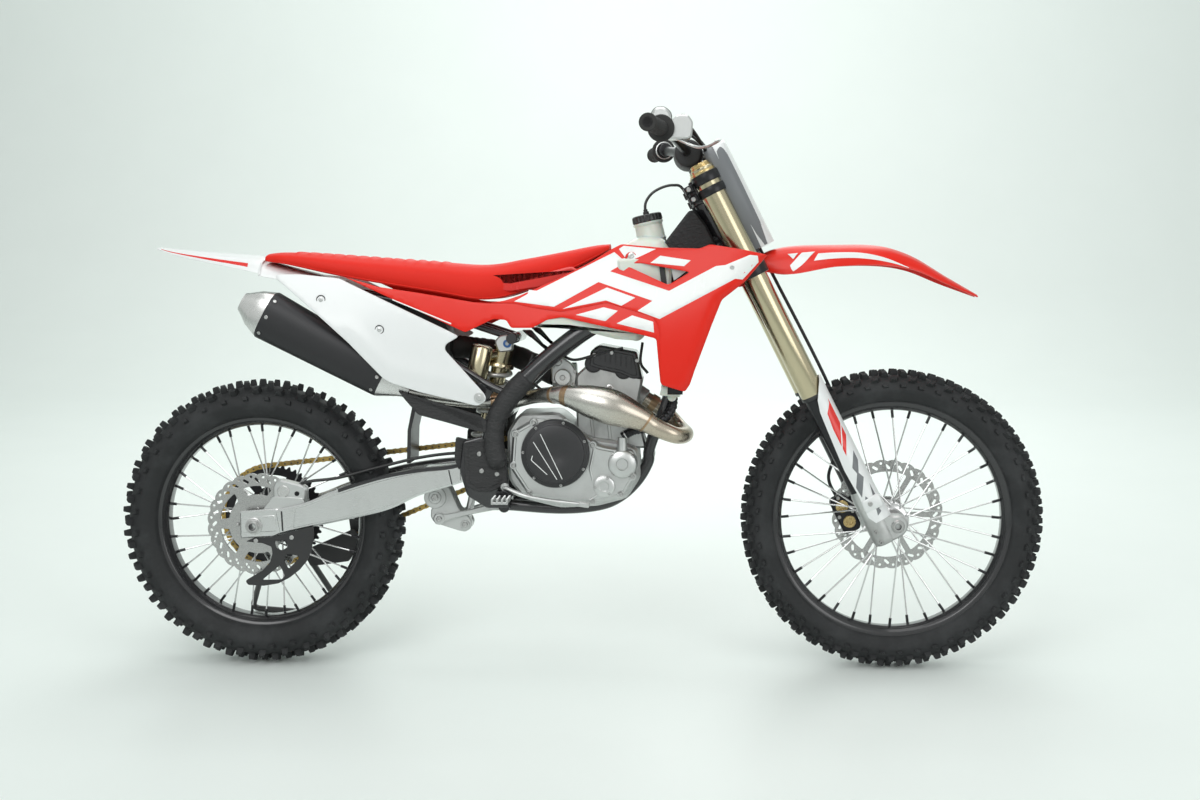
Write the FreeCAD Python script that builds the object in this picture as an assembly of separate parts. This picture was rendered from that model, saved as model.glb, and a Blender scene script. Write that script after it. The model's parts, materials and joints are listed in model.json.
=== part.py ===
import FreeCAD, Part
import math
import os

# Motocross motorcycle on its triangle stand.
# It is drawn upright: X forward from the rear axle, Y to the rider's left, Z up from the floor.
# At the end everything leans onto the stand and moves so that its footprint is centred on Z.

V = FreeCAD.Vector

# Driving dimensions, in millimetres and degrees
wheelbase = 1475.0
lean = 6.0
rake = 26.5
rear_tyre_radius = 336.0
front_tyre_radius = 348.0
clamp_offset = 22.0
axle_offset = 38.0
fork_spacing = 206.0

# Clearances shared by several pieces
seat_gap = 0.3
running_gap = 0.05
frame_gap = 0.5
slot_gap = 3.0
cut_extra = 5.0

# Tyres: half width at the lugs, lug height, pitches round the tread, half width of a centre lug
rear_tyre_half_width = 58.0
rear_lug_height = 16.0
rear_pitches = 18
rear_centre_half = 19.0
front_tyre_half_width = 42.0
front_lug_height = 13.0
front_pitches = 25
front_centre_half = 13.0
rear_bead_radius = 247.0
front_bead_radius = 272.0
rear_rim_half_width = 35.0
front_rim_half_width = 27.0
rim_flange = 8.0
rim_wall = 4.0
rim_well_depth = 15.0

# Sides of the rods and rings that are drawn with flats
spoke_sides = 4
thin_sides = 5
frame_sides = 8
round_sides = 12
ring_sides = 24
nut_sides = 6

# Hubs, spokes and discs
hub_radius = 26.0
rear_flange_radius = 48.0
front_flange_radius = 38.0
flange_wall = 6.0
rear_flange_y = 34.0
front_flange_y = 33.0
rear_hub_half = 77.0
front_hub_half = 72.0
hub_end_radius = 19.0
spoke_radius = 1.9
spokes_a_side = 18
spoke_lead = 31.0
nipple_share = 0.3
rear_disc_radius = 120.0
front_disc_radius = 130.0
disc_thickness = 4.0
disc_ring_width = 26.0
disc_arm_width = 16.0
disc_arms = 6
rear_disc_y = -60.0
front_disc_y = 54.0

# Chain drive
chain_pitch = 15.875
rear_teeth = 48
front_teeth = 13
chain_y = 73.0
chain_half_width = 9.0
chain_plate = 4.5
chain_half_height = 7.5
chain_web = 2.5
sprocket_thickness = 6.0
sprocket_tip = 3.0
sprocket_root = 5.5
countershaft_x = 612.0
countershaft_z = 497.0

# Axles
axle_radius = 12.5
rear_axle_bore = 8.5
front_axle_radius = 11.0
front_axle_bore = 7.0
rear_axle_half = 110.0
front_axle_nut = 8.0
axle_nut_radius = 17.0
axle_nut_width = 10.0

# Fork, measured up the leg from the level of the front axle
outer_tube_radius = 28.0
inner_tube_radius = 24.0
outer_tube_start = 343.0
fork_top = 915.0
fork_cap_height = 11.0
fork_cap_radius = 22.0
inner_tube_top = 450.0
lower_clamp_start = 645.0
upper_clamp_start = 850.0
clamp_height = 46.0
clamp_wall = 8.0
clamp_step = 7.0
clamp_web_half = 17.0
stem_radius = 14.0
head_tube_radius = 28.0
head_tube_bore = 19.0
lug_radius = 27.0
lug_top = 108.0
axle_boss_radius = 25.0
axle_boss_half = 22.0
guard_radius = 34.5
guard_wall = 3.0
guard_width = 50.0
guard_height = 352.0
guard_start = 31.0
guard_pad_height = 16.0

# Handlebar
bar_end_radius = 11.1
grip_radius = 17.0
grip_length = 125.0
grip_flange_radius = 29.0
grip_flange_width = 6.0
bar_half_width = 400.0
bar_centre_x = 1004.0
bar_centre_z = 1188.0
grip_x = 920.0
grip_z = 1223.5
pad_length = 140.0
pad_radius = 34.0
post_radius = 12.0
post_y = 36.0

# Frame
spar_radius = 21.0
cradle_radius = 13.0
spar_y = 108.0
cradle_y = 55.0
subframe_radius = 9.0
subframe_y = 50.0
pivot_x = 555.0
pivot_z = 481.0
pivot_boss_radius = 20.0
pivot_bolt_radius = 9.0
pivot_plate_wall = 14.0
gusset_wall = 12.0
shock_cross_radius = 12.6
peg_length = 62.0

# Swingarm
arm_inner_y = 68.0
arm_wall = 27.0
arm_tail_inner_y = 82.0

# Bodywork
seat_length = 800.0
seat_depth = 130.0
seat_half_width = 105.0
seat_x = 35.0
seat_z = 860.0
panel_wall = 4.0
fender_wall = 3.0
skin_half_width = 190.0
body_x = 200.0
body_z = 600.0
body_length = 1000.0
body_height = 400.0

# Stand
stand_rod = 7.5
stand_rear_x = -141.0
stand_front_x = 125.0
stand_rear_y = 362.0
stand_front_y = 305.0
stand_pin_depth = 30.0
stand_pin_radius = 7.5

sin_rake = math.sin(math.radians(rake))
cos_rake = math.cos(math.radians(rake))
tan_lean = math.tan(math.radians(lean))
rear_axle_z = rear_tyre_radius + rear_centre_half * tan_lean
front_axle_z = front_tyre_radius + front_centre_half * tan_lean
leg_y = fork_spacing / 2
front_axle_half = leg_y + axle_boss_half + front_axle_nut
wheel_offset = clamp_offset + axle_offset
steer_foot_x = wheelbase - wheel_offset * cos_rake
steer_foot_z = front_axle_z - wheel_offset * sin_rake


# Drawing helpers

def wire(points):
    """Closed polygon through the points."""
    return Part.makePolygon(list(points) + [points[0]])


def plate(outline, y_from, y_to):
    """Side-view outline of (x, z) points, extruded across the machine."""
    face = Part.Face(wire([V(x, y_from, z) for x, z in outline]))
    return face.extrude(V(0, y_to - y_from, 0))


def scaled(shares, x, z, length, height):
    """Side-view outline from shares of a drawing box."""
    return [(x + a * length, z + b * height) for a, b in shares]


level_share = 0.1


def ring(centre, along, radius, sides):
    """Closed polygon of as many sides, square to a direction."""
    spoke = along.cross(V(0, 1, 0))
    if spoke.Length < along.Length * level_share:
        spoke = along.cross(V(0, 0, 1))
    spoke = spoke.normalize() * radius
    turns = [FreeCAD.Rotation(along, 360.0 * n / sides) for n in range(sides)]
    return wire([centre + turn.multVec(spoke) for turn in turns])


def rod(start, end, radius, sides=0):
    """Bar between two points, round or with flat sides."""
    along = end - start
    if not sides:
        return Part.makeCylinder(radius, along.Length, start, along)
    return Part.Face(ring(start, along, radius, sides)).extrude(along)


def across(x, z, y_from, y_to, radius, sides=0):
    """Bar across the machine."""
    return rod(V(x, y_from, z), V(x, y_to, z), radius, sides)


def upright(x, y, z_from, z_to, radius, sides=round_sides):
    """Bar along the drawing's height."""
    return rod(V(x, y, z_from), V(x, y, z_to), radius, sides)


def tube(points, radius, sides):
    """Bar along straight runs mitred at each corner."""
    profile = ring(points[0], points[1] - points[0], radius, sides)
    return Part.makePolygon(points).makePipeShell([profile], True, False, 1)


def clearing(points, radius):
    """Room for a frame tube, to be cut from what it passes."""
    return tube(points, (radius + frame_gap) / math.cos(math.pi / frame_sides), frame_sides)


ring_points = 12


def oval(centre, along, half_width, half_height):
    """Points of a closed ring square to a direction, the first on top."""
    over = V(0, 0, 1).cross(along).normalize()
    up = along.cross(over).normalize()
    points = []
    for n in range(ring_points):
        a = 2 * math.pi * n / ring_points
        points.append(centre + up * (half_height * math.cos(a)) + over * (half_width * math.sin(a)))
    return points


def closed_solid(faces):
    """Solid inside faces that meet edge to edge."""
    shell = Part.makeShell(faces)
    shell.sewShape()
    solid = Part.makeSolid(shell)
    if solid.Volume < 0:
        solid.reverse()
    return solid


def skinned(sections):
    """Solid through closed sections with as many points each, in flat triangles."""
    faces = []
    for one, two in zip(sections, sections[1:]):
        for n in range(len(one)):
            m = (n + 1) % len(one)
            faces.append(Part.Face(wire([one[n], one[m], two[m]])))
            faces.append(Part.Face(wire([one[n], two[m], two[n]])))
    faces += [Part.Face(wire(sections[0])), Part.Face(wire(sections[-1]))]
    return closed_solid(faces)


def cells(rows, wall):
    """Three-cornered prisms that together make a curved wall through rows of points."""
    prisms = []
    for row, row_next in zip(rows, rows[1:]):
        for a, b, c, d in zip(row, row_next, row[1:], row_next[1:]):
            prisms.append(Part.Face(wire([a, b, d])).extrude(wall))
            prisms.append(Part.Face(wire([a, c, d])).extrude(wall))
    return prisms


def smooth(points, count):
    """Evenly spread points on a smooth curve through the given ones."""
    spline = Part.BSplineCurve()
    spline.interpolate(points)
    return spline.discretize(Number=count)


def turned(profile, centre, sides):
    """Closed (y, radius) profile turned about the cross axis in flat strips."""
    rings = []
    for n in range(sides):
        a = 2 * math.pi * n / sides
        rings.append([centre + V(r * math.sin(a), y, -r * math.cos(a)) for y, r in profile])
    faces = []
    for n in range(sides):
        one = rings[n]
        two = rings[(n + 1) % sides]
        for i in range(len(profile)):
            j = (i + 1) % len(profile)
            faces.append(Part.Face(wire([one[i], one[j], two[j], two[i]])))
    return closed_solid(faces)


def joined(shapes):
    """One solid from touching shapes."""
    return shapes[0].multiFuse(shapes[1:]).removeSplitter()


def flipped(shape):
    """Mirror image on the other side of the machine."""
    return shape.mirror(V(0, 0, 0), V(0, 1, 0))


def both(shape):
    """The shape and its mirror image."""
    return Part.makeCompound([shape, flipped(shape)])


def on_fork(shape):
    """Moves a piece drawn with the steering axis upright at the origin to the raked fork."""
    shape.rotate(V(0, 0, 0), V(0, 1, 0), -rake)
    shape.translate(V(steer_foot_x, 0, steer_foot_z))
    return shape


def fork_point(ahead, y, up):
    """A point given along the raked fork."""
    x = steer_foot_x + ahead * cos_rake - up * sin_rake
    return V(x, y, steer_foot_z + ahead * sin_rake + up * cos_rake)


def floor_point(x, y, height):
    """A point at a height over the leaned machine's floor, in the upright drawing."""
    a = math.radians(lean)
    return V(x, y * math.cos(a) - height * math.sin(a), y * math.sin(a) + height * math.cos(a))


# Wheels

rear_centre = V(0, 0, rear_axle_z)
front_centre = V(wheelbase, 0, front_axle_z)

# Tyre section shares: of the half width, and of the height from bead to crown
crown_shares = [(0.62, 0.0), (0.97, 0.42), (0.80, 0.72), (0.52, 0.97)]
lug_turn_share = 0.23


def offset_pair(p, q, height):
    """The two points raised square to the line between them."""
    length = math.hypot(q[0] - p[0], q[1] - p[1])
    up = (-(q[1] - p[1]) / length * height, (q[0] - p[0]) / length * height)
    return [(p[0] + up[0], p[1] + up[1]), (q[0] + up[0], q[1] + up[1])]


def tyre(centre, radius, half_width, lug_height, pitches, centre_half, bead_radius):
    """Lugged tyre: each pitch has a centre lug, then a pair of shoulder lugs."""
    crown = radius - lug_height
    span = crown - bead_radius
    side = [(-a * half_width, bead_radius + b * span) for a, b in crown_shares]
    middle = [(-centre_half, crown), (centre_half, crown)]
    base = side + middle + [(-y, r) for y, r in reversed(side)]
    last = len(base) - 1
    shoulder = len(side) - 2
    centre_band = len(side)
    pitch = 360.0 / pitches
    lug_turn = pitch * lug_turn_share
    gap_turn = pitch / 2 - lug_turn
    faces = []

    def place(point, angle):
        y, r = point
        a = math.radians(angle)
        return centre + V(-r * math.sin(a), y, -r * math.cos(a))

    def band(p, q, start, turn):
        end = start + turn
        faces.append(Part.Face(wire([place(p, start), place(q, start), place(q, end), place(p, end)])))

    def step(corners, angle):
        faces.append(Part.Face(wire([place(c, angle) for c in corners])))

    def sector(start, turn, raised):
        for i in range(len(base)):
            p = base[i]
            q = base[(i + 1) % len(base)]
            if i in raised:
                top = offset_pair(p, q, lug_height)
                band(p, top[0], start, turn)
                band(top[0], top[1], start, turn)
                band(top[1], q, start, turn)
                step([p, top[0], top[1], q], start)
                step([p, top[0], top[1], q], start + turn)
            else:
                band(p, q, start, turn)

    for n in range(pitches):
        start = n * pitch - lug_turn / 2
        sector(start, lug_turn, [centre_band - 1])
        sector(start + lug_turn, gap_turn, [])
        sector(start + pitch / 2, lug_turn, [shoulder, last - 1 - shoulder])
        sector(start + pitch / 2 + lug_turn, gap_turn, [])
    return closed_solid(faces)


well_share = 0.45


def rim(centre, bead_radius, half_width):
    """Rim ring with two flanges and a well."""
    top = bead_radius + rim_flange - seat_gap
    well = bead_radius - rim_well_depth
    well_half = half_width * well_share
    half = [(well_half, well), (half_width - rim_wall, top), (half_width, top),
            (half_width, bead_radius - rim_wall), (well_half, well - rim_wall)]
    return turned([(-y, r) for y, r in reversed(half)] + half, centre, ring_sides)


def flat_reach(radius, turn):
    """Distance from the centre of a ring of flats to its face at a turn from the top."""
    half = math.pi / ring_sides
    off = math.radians(turn) % (2 * half) - half
    return radius * math.cos(half) / math.cos(off)


def hub(centre, flange_radius, flange_y, half_length, seat_y, bore, rim_radius, rim_y):
    """Hub barrel with spoke flanges and the laced spokes that leave them."""
    wide = flange_y + flange_wall / 2
    narrow = flange_y - flange_wall / 2
    half = [(half_length, hub_end_radius), (seat_y, hub_end_radius), (seat_y, hub_radius),
            (wide, hub_radius),
            (wide, flange_radius), (narrow, flange_radius), (narrow, hub_radius)]
    barrel = stepped([(-y, r) for y, r in half] + list(reversed(half)), centre)
    hole = across(centre.x, centre.z, -half_length - cut_extra, half_length + cut_extra, bore)
    step = 360.0 / spokes_a_side
    spokes = []
    for n in range(2 * spokes_a_side):
        side = 1 if n % 2 else -1
        way = 1 if n % 4 > 1 else -1
        turn = n * step / 2
        beside = flange_wall / 2 + spoke_radius
        if way == side:
            beside += seat_gap
        root = V(0, side * flange_y + way * beside, flange_radius - spoke_radius)
        tip = V(0, side * rim_y, flat_reach(rim_radius, turn) - seat_gap)
        root = FreeCAD.Rotation(V(0, 1, 0), turn + way * spoke_lead).multVec(root)
        tip = FreeCAD.Rotation(V(0, 1, 0), turn).multVec(tip)
        spokes.append(rod(centre + root, centre + tip, spoke_radius, spoke_sides))
    return Part.makeCompound([barrel.cut(hole)] + spokes)


def stepped(profile, centre):
    """Solid of round steps along the cross axis, one for each pair of profile points."""
    steps = []
    for (y, r), following in zip(profile, profile[1:]):
        if following[0] > y:
            steps.append(across(centre.x, centre.z, centre.y + y, centre.y + following[0], r, round_sides))
    return joined(steps)


def turned_outline(centre, radii, copies):
    """Outline whose radii repeat round the centre."""
    points = []
    total = len(radii) * copies
    for n in range(total):
        a = 2 * math.pi * n / total
        r = radii[n % len(radii)]
        points.append((centre.x + r * math.sin(a), centre.z + r * math.cos(a)))
    return points


wave_share = 0.97


def brake_disc(centre, y, radius):
    """Wave-edged disc with a window between each pair of arms."""
    low = y - disc_thickness / 2
    high = y + disc_thickness / 2
    outer = radius - disc_ring_width
    inner = hub_radius + disc_arm_width
    disc = plate(turned_outline(centre, [radius, radius * wave_share], disc_arms * 3), low, high)
    holes = [across(centre.x, centre.z, low - cut_extra, high + cut_extra, hub_radius + seat_gap,
                    round_sides)]
    half_turn = math.pi / disc_arms
    for n in range(disc_arms):
        corners = []
        for r, way in ((outer, -1), (outer, 1), (inner, 1), (inner, -1)):
            a = 2 * half_turn * n + way * (half_turn - disc_arm_width / r)
            corners.append((centre.x + r * math.sin(a), centre.z + r * math.cos(a)))
        holes.append(plate(corners, low - cut_extra, high + cut_extra))
    return disc.cut(Part.makeCompound(holes))


def pitch_radius(teeth):
    return chain_pitch / (2 * math.sin(math.pi / teeth))


def sprocket(x, z, teeth, bore):
    """Toothed wheel with a tip and a root for each tooth."""
    middle = pitch_radius(teeth)
    outline = []
    for n in range(teeth):
        for share, radius in ((0.0, middle - sprocket_root), (0.5, middle + sprocket_tip)):
            a = 2 * math.pi * (n + share) / teeth
            outline.append((x + radius * math.sin(a), z - radius * math.cos(a)))
    half = sprocket_thickness / 2
    disc = plate(outline, chain_y - half, chain_y + half)
    return disc.cut(across(x, z, chain_y - half - cut_extra, chain_y + half + cut_extra, bore, round_sides))


def chain_loop(grow):
    """Outline of the chain run, moved outward from its pitch line."""
    r_big = pitch_radius(rear_teeth) + grow
    r_small = pitch_radius(front_teeth) + grow
    dx = countershaft_x
    dz = countershaft_z - rear_axle_z
    between = math.hypot(dx, dz)
    tilt = math.atan2(dz, dx)
    spread = math.acos((r_big - r_small) / between)
    ends = []
    for cx, cz, r, way in ((0, rear_axle_z, r_big, 1), (countershaft_x, countershaft_z, r_small, -1)):
        up = tilt + spread
        down = tilt - spread
        middle = tilt + (math.pi if way > 0 else 0)
        ends.append([V(cx + r * math.cos(t), 0, cz + r * math.sin(t)) for t in (up, middle, down)])
    big, small = ends
    edges = [Part.LineSegment(big[0], small[0]), Part.Arc(*small),
             Part.LineSegment(small[2], big[2]), Part.Arc(big[2], big[1], big[0])]
    return Part.Wire([e.toShape() for e in edges])


def loop_band(grow_in, grow_out, y_from, y_to):
    """Closed band of the chain run between two offsets."""
    solids = []
    for grow in (grow_out, grow_in):
        solid = Part.Face(chain_loop(grow)).extrude(V(0, y_to - y_from, 0))
        solid.translate(V(0, y_from, 0))
        solids.append(solid)
    return solids[0].cut(solids[1])


def chain():
    """Chain run: two rows of side plates bridged on their outer edge."""
    left = chain_y - chain_half_width
    right = chain_y + chain_half_width
    plates = [loop_band(-chain_half_height, chain_half_height, left, left + chain_plate),
              loop_band(-chain_half_height, chain_half_height, right - chain_plate, right)]
    web = loop_band(chain_half_height - chain_web, chain_half_height, left + chain_plate,
                    right - chain_plate)
    return joined(plates + [web])


# Steering and fork

def triple_clamps():
    """Upper and lower clamps on the steering stem."""
    pieces = [upright(0, 0, lower_clamp_start + clamp_step, upper_clamp_start + clamp_height, stem_radius,
                      0)]
    holes = []
    for start in (lower_clamp_start, upper_clamp_start):
        low = start + clamp_step
        high = start + clamp_height - clamp_step
        pieces.append(Part.makeBox(clamp_web_half * 2, fork_spacing, high - low,
                                   V(clamp_offset / 2 - clamp_web_half, -leg_y, low)))
        pieces.append(upright(0, 0, low, high, head_tube_radius))
        for y in (-leg_y, leg_y):
            pieces.append(upright(clamp_offset, y, start, start + clamp_height,
                                  outer_tube_radius + clamp_wall))
            holes.append(upright(clamp_offset, y, start - cut_extra, start + clamp_height + cut_extra,
                                 outer_tube_radius + running_gap))
    return on_fork(joined(pieces).cut(Part.makeCompound(holes)))


def fork_tubes():
    """Outer tubes with their caps."""
    tubes = []
    for y in (-leg_y, leg_y):
        body = upright(clamp_offset, y, outer_tube_start, fork_top, outer_tube_radius)
        cap = upright(clamp_offset, y, fork_top, fork_top + fork_cap_height, fork_cap_radius)
        hole = upright(clamp_offset, y, outer_tube_start - cut_extra, inner_tube_top,
                       inner_tube_radius + running_gap)
        tubes.append(joined([body, cap]).cut(hole))
    return on_fork(Part.makeCompound(tubes))


def axle_lug(y):
    """Casting at the foot of a leg that clamps the axle."""
    sleeve = upright(clamp_offset, y, -axle_boss_radius, lug_top, lug_radius)
    boss = rod(V(wheel_offset, y - axle_boss_half, 0), V(wheel_offset, y + axle_boss_half, 0),
               axle_boss_radius, round_sides)
    web = Part.makeBox(axle_offset, axle_boss_half * 2, axle_boss_radius * 2,
                       V(clamp_offset, y - axle_boss_half, -axle_boss_radius))
    bore = rod(V(wheel_offset, y - leg_y, 0), V(wheel_offset, y + leg_y, 0), front_axle_radius)
    return joined([sleeve, boss, web]).cut(bore)


def fork_lowers():
    """Inner tubes in their axle castings."""
    legs = []
    for y in (-leg_y, leg_y):
        slider = upright(clamp_offset, y, lug_top, inner_tube_top - cut_extra, inner_tube_radius)
        legs.append(joined([axle_lug(y), slider]))
    return on_fork(Part.makeCompound(legs))


# Guard outline shares: ahead of the leg's axis, and up the guard
guard_shares = [(0.0, 0.0), (0.45, -0.01), (1.42, 0.04), (1.0, 0.10), (1.0, 1.0), (0.34, 0.865),
                (0.2, 0.79),
                (0.02, 0.39), (0.09, 0.19)]

guard_wrap_share = 0.72


def fork_guard(side):
    """Curved shield round the front and outside of a leg."""
    y = side * leg_y
    outer = upright(clamp_offset, y, 0, guard_start + guard_height * 2, guard_radius)
    inner = upright(clamp_offset, y, 0, guard_start + guard_height * 2, guard_radius - guard_wall)
    low_x = clamp_offset + guard_radius - guard_width
    points = [(low_x + a * guard_width, guard_start + b * guard_height) for a, b in guard_shares]
    face = Part.Face(wire([V(x, y - side * guard_radius * guard_wrap_share, z) for x, z in points]))
    keep = face.extrude(V(0, side * guard_radius * 2, 0))
    pad = upright(clamp_offset, y, lug_top - guard_pad_height * 2, lug_top - guard_pad_height,
                  guard_radius - guard_wall / 2)
    casting = upright(clamp_offset, y, 0, lug_top, lug_radius + seat_gap)
    return joined([outer.cut(inner).common(keep), pad.cut(casting).common(keep)])


def fork_guards():
    return on_fork(Part.makeCompound([fork_guard(-1), fork_guard(1)]))


# Fender section shares: along the fender, top height, half width, drop of the sides
front_fender_x = 1120.0
front_fender_z = 850.0
front_fender_length = 545.0
front_fender_height = 134.0
front_fender_half_width = 78.0
front_fender_drop = 55.0
front_fender_shares = [(0.0, 0.343, 0.60, 0.15), (0.057, 0.433, 0.62, 0.25), (0.085, 0.70, 0.64, 0.6),
                       (0.115, 0.88, 0.68, 0.85), (0.22, 0.98, 0.86, 1.2), (0.40, 1.0, 1.0, 0.95),
                       (0.58, 0.98, 1.0, 0.85), (0.72, 0.80, 0.88, 0.62), (0.86, 0.46, 0.66, 0.36),
                       (1.0, 0.13, 0.25, 0.10)]
rear_fender_x = -230.0
rear_fender_z = 895.0
rear_fender_length = 430.0
rear_fender_height = 90.0
rear_fender_half_width = 104.0
rear_fender_drop = 40.0
rear_fender_shares = [(0.0, 1.0, 0.40, 0.12), (0.10, 0.95, 0.60, 0.35), (0.28, 0.88, 0.78, 0.62),
                      (0.53, 0.79, 0.92, 0.95),
                      (0.60, 0.72, 0.95, 1.0), (0.612, 0.617, 0.95, 0.9), (0.84, 0.32, 0.92, 0.6),
                      (1.0, 0.12, 0.85, 0.35)]


def arch(x, top, half_width, drop):
    """Line across a fender: an arch with turned-down sides."""
    outside = [V(x, -half_width, top - drop), V(x, -half_width * 0.8, top - drop * 0.28), V(x, 0, top),
               V(x, half_width * 0.8, top - drop * 0.28), V(x, half_width, top - drop)]
    return smooth(outside, arch_points)


arch_points = 9


def fender(shares, x, z, length, height, half_width, drop):
    """Arches along the fender."""
    rows = [arch(x + a * length, z + b * height, c * half_width, d * drop) for a, b, c, d in shares]
    return joined(cells(rows, V(0, 0, -fender_wall)))


def front_fender():
    return fender(front_fender_shares, front_fender_x, front_fender_z, front_fender_length,
                  front_fender_height, front_fender_half_width, front_fender_drop)


def rear_fender():
    return fender(rear_fender_shares, rear_fender_x, rear_fender_z, rear_fender_length,
                  rear_fender_height, rear_fender_half_width, rear_fender_drop)


# Number plate: shares of its half width at shares of its height, drawn on the fork
plate_height = 256.0
plate_half_width = 100.0
plate_start = 697.0
plate_ahead = 100.0
plate_wall = 3.0
plate_depth = 34.0
number_plate_shares = [(0.0, 0.55), (0.25, 0.80), (0.6, 1.0), (0.92, 0.95), (1.0, 0.75)]


def number_plate():
    """Curved plate ahead of the fork with its sides turned back."""
    rows = []
    for up, wide in number_plate_shares:
        z = plate_start + up * plate_height
        half = wide * plate_half_width
        front = [V(plate_ahead - plate_depth, -half, z),
                 V(plate_ahead - plate_depth * 0.25, -half * 0.8, z),
                 V(plate_ahead, 0, z), V(plate_ahead - plate_depth * 0.25, half * 0.8, z),
                 V(plate_ahead - plate_depth, half, z)]
        rows.append(smooth(front, arch_points))
    return on_fork(joined(cells(rows, V(-plate_wall, 0, 0))))


# Bar bends: shares of the way from the pad's end to the grip's root
bar_bend_shares = (0.42, 0.62)
grip_sweep_share = 0.2


def fork_place(point):
    """How far ahead and up along the raked fork a point lies."""
    x = point.x - steer_foot_x
    z = point.z - steer_foot_z
    return x * cos_rake + z * sin_rake, z * cos_rake - x * sin_rake


def bar_route():
    """Centre line of the handlebar from the right grip's end to the left one's."""
    end = V(bar_centre_x, -pad_length / 2, bar_centre_z)
    root = V(grip_x + grip_length * grip_sweep_share, grip_length - bar_half_width, grip_z)
    over, up = bar_bend_shares
    bend = V(end.x + (root.x - end.x) * over, end.y + (root.y - end.y) * over,
             end.z + (root.z - end.z) * up)
    half = [V(grip_x, seat_gap - bar_half_width, grip_z), root, bend, end]
    return half + [flipped_point(p) for p in reversed(half)]


def handlebar():
    """Bent bar with its round pad, on two posts over the upper clamp."""
    route = bar_route()
    pieces = [tube(route, bar_end_radius, frame_sides), rod(route[3], route[4], pad_radius, round_sides)]
    ahead, up = fork_place(V(bar_centre_x, 0, bar_centre_z))
    foot = upper_clamp_start + clamp_height - clamp_step + seat_gap
    for y in (-post_y, post_y):
        pieces.append(rod(fork_point(ahead, y, foot), fork_point(ahead, y, up), post_radius, round_sides))
    return joined(pieces)


def flipped_point(point):
    return V(point.x, -point.y, point.z)


# Hand controls
reservoir_size = 34.0
lever_radius = 4.0
lever_length = 165.0
master_length = 60.0


def hand_control(side):
    """Grip with its flange, clamp, lever and reservoir."""
    end = V(grip_x, side * bar_half_width, grip_z)
    root = V(grip_x + grip_length * grip_sweep_share, side * (bar_half_width - grip_length), grip_z)
    along = (root - end).normalize()
    grip = rod(end, root, grip_radius, round_sides)
    flange = rod(root, root + along * grip_flange_width, grip_flange_radius, round_sides)
    perch = root + along * (grip_flange_width * 2 + master_length * 0.3)
    ahead = V(grip_radius * 1.6, 0, -grip_radius * 0.3)
    clamp = rod(root + along * grip_flange_width, root + along * master_length, grip_radius * 0.95,
                round_sides)
    bridge = rod(perch, perch + ahead, grip_radius * 0.7, round_sides)
    lever_tip = end + along * grip_radius + V(lever_length * 0.42, 0, -lever_length * 0.1)
    lever = tube([perch + ahead, perch + ahead + V(lever_length * 0.1, side * master_length * 0.5, 0),
                  lever_tip],
                 lever_radius, thin_sides)
    pieces = [grip, flange, clamp, bridge, lever]
    if side < 0:
        pieces.append(Part.makeBox(reservoir_size * 1.2, reservoir_size * 1.5, reservoir_size,
                                   perch + ahead - V(reservoir_size * 0.5, reservoir_size * 0.75, 0)))
    return joined(pieces).cut(tube(bar_route(), bar_end_radius + running_gap, frame_sides))


def bar_controls():
    return Part.makeCompound([hand_control(-1), hand_control(1)])


# Front brake
caliper_length = 92.0
caliper_depth = 46.0
caliper_half_width = 17.0
hose_radius = 4.0
caliper_arm_share = 0.4


def front_brake():
    """Caliper over the disc behind the left leg, with its hose up to the bar."""
    back = clamp_offset - lug_radius - caliper_depth
    body = Part.makeBox(caliper_depth, caliper_half_width * 2, caliper_length,
                        V(back, front_disc_y - caliper_half_width, 0))
    arm = Part.makeBox(caliper_depth, caliper_half_width, caliper_length * caliper_arm_share,
                       V(clamp_offset - caliper_depth, front_disc_y + caliper_half_width - seat_gap,
                         caliper_length * caliper_arm_share))
    slot = rod(V(wheel_offset, front_disc_y - disc_thickness / 2 - slot_gap, 0),
               V(wheel_offset, front_disc_y + disc_thickness / 2 + slot_gap, 0),
               front_disc_radius + slot_gap, ring_sides)
    sleeve = upright(clamp_offset, leg_y, -caliper_length, caliper_length * 3, lug_radius + seat_gap)
    body = on_fork(joined([body, arm]).cut(slot).cut(sleeve))
    hose_y = leg_y - guard_radius
    front = clamp_offset + outer_tube_radius + clamp_wall + hose_radius
    ahead_of_bar = bar_centre_x + pad_radius + hose_radius * 2
    perch = V(grip_x + grip_length * 0.5, reservoir_size * 5.4 - bar_half_width,
              grip_z + reservoir_size * 0.35)
    route = [fork_point(back + caliper_depth * 0.5, front_disc_y + caliper_half_width * 0.7,
                        caliper_length * 0.93),
             fork_point(back + caliper_depth * 0.6, front_disc_y + caliper_half_width * 0.7,
                        caliper_length * 1.5),
             fork_point(clamp_offset, hose_y - hose_radius, caliper_length * 2.1),
             fork_point(front, hose_y, caliper_length * 3.2),
             fork_point(front, hose_y, plate_start - clamp_height),
             fork_point(front, hose_y * 0.75, plate_start + clamp_height),
             fork_point(front, hose_y * 0.7, upper_clamp_start),
             V(ahead_of_bar, pad_length * 0.3, bar_centre_z),
             V(ahead_of_bar, -pad_length * 0.5, bar_centre_z),
             perch + V(reservoir_size * 0.8, reservoir_size * 1.6, 0), perch + V(0, seat_gap, 0)]
    return joined([body, tube(route, hose_radius, thin_sides)])


def front_axle():
    """Hollow axle with a nut on the left."""
    bar = across(wheelbase, front_axle_z, -front_axle_half, front_axle_half,
                 front_axle_radius - running_gap, round_sides)
    nut = across(wheelbase, front_axle_z, leg_y + axle_boss_half, front_axle_half, axle_nut_radius,
                 nut_sides)
    bore = across(wheelbase, front_axle_z, -front_axle_half * 2, front_axle_half * 2, front_axle_bore)
    return joined([bar, nut]).cut(bore)


# Frame

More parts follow.
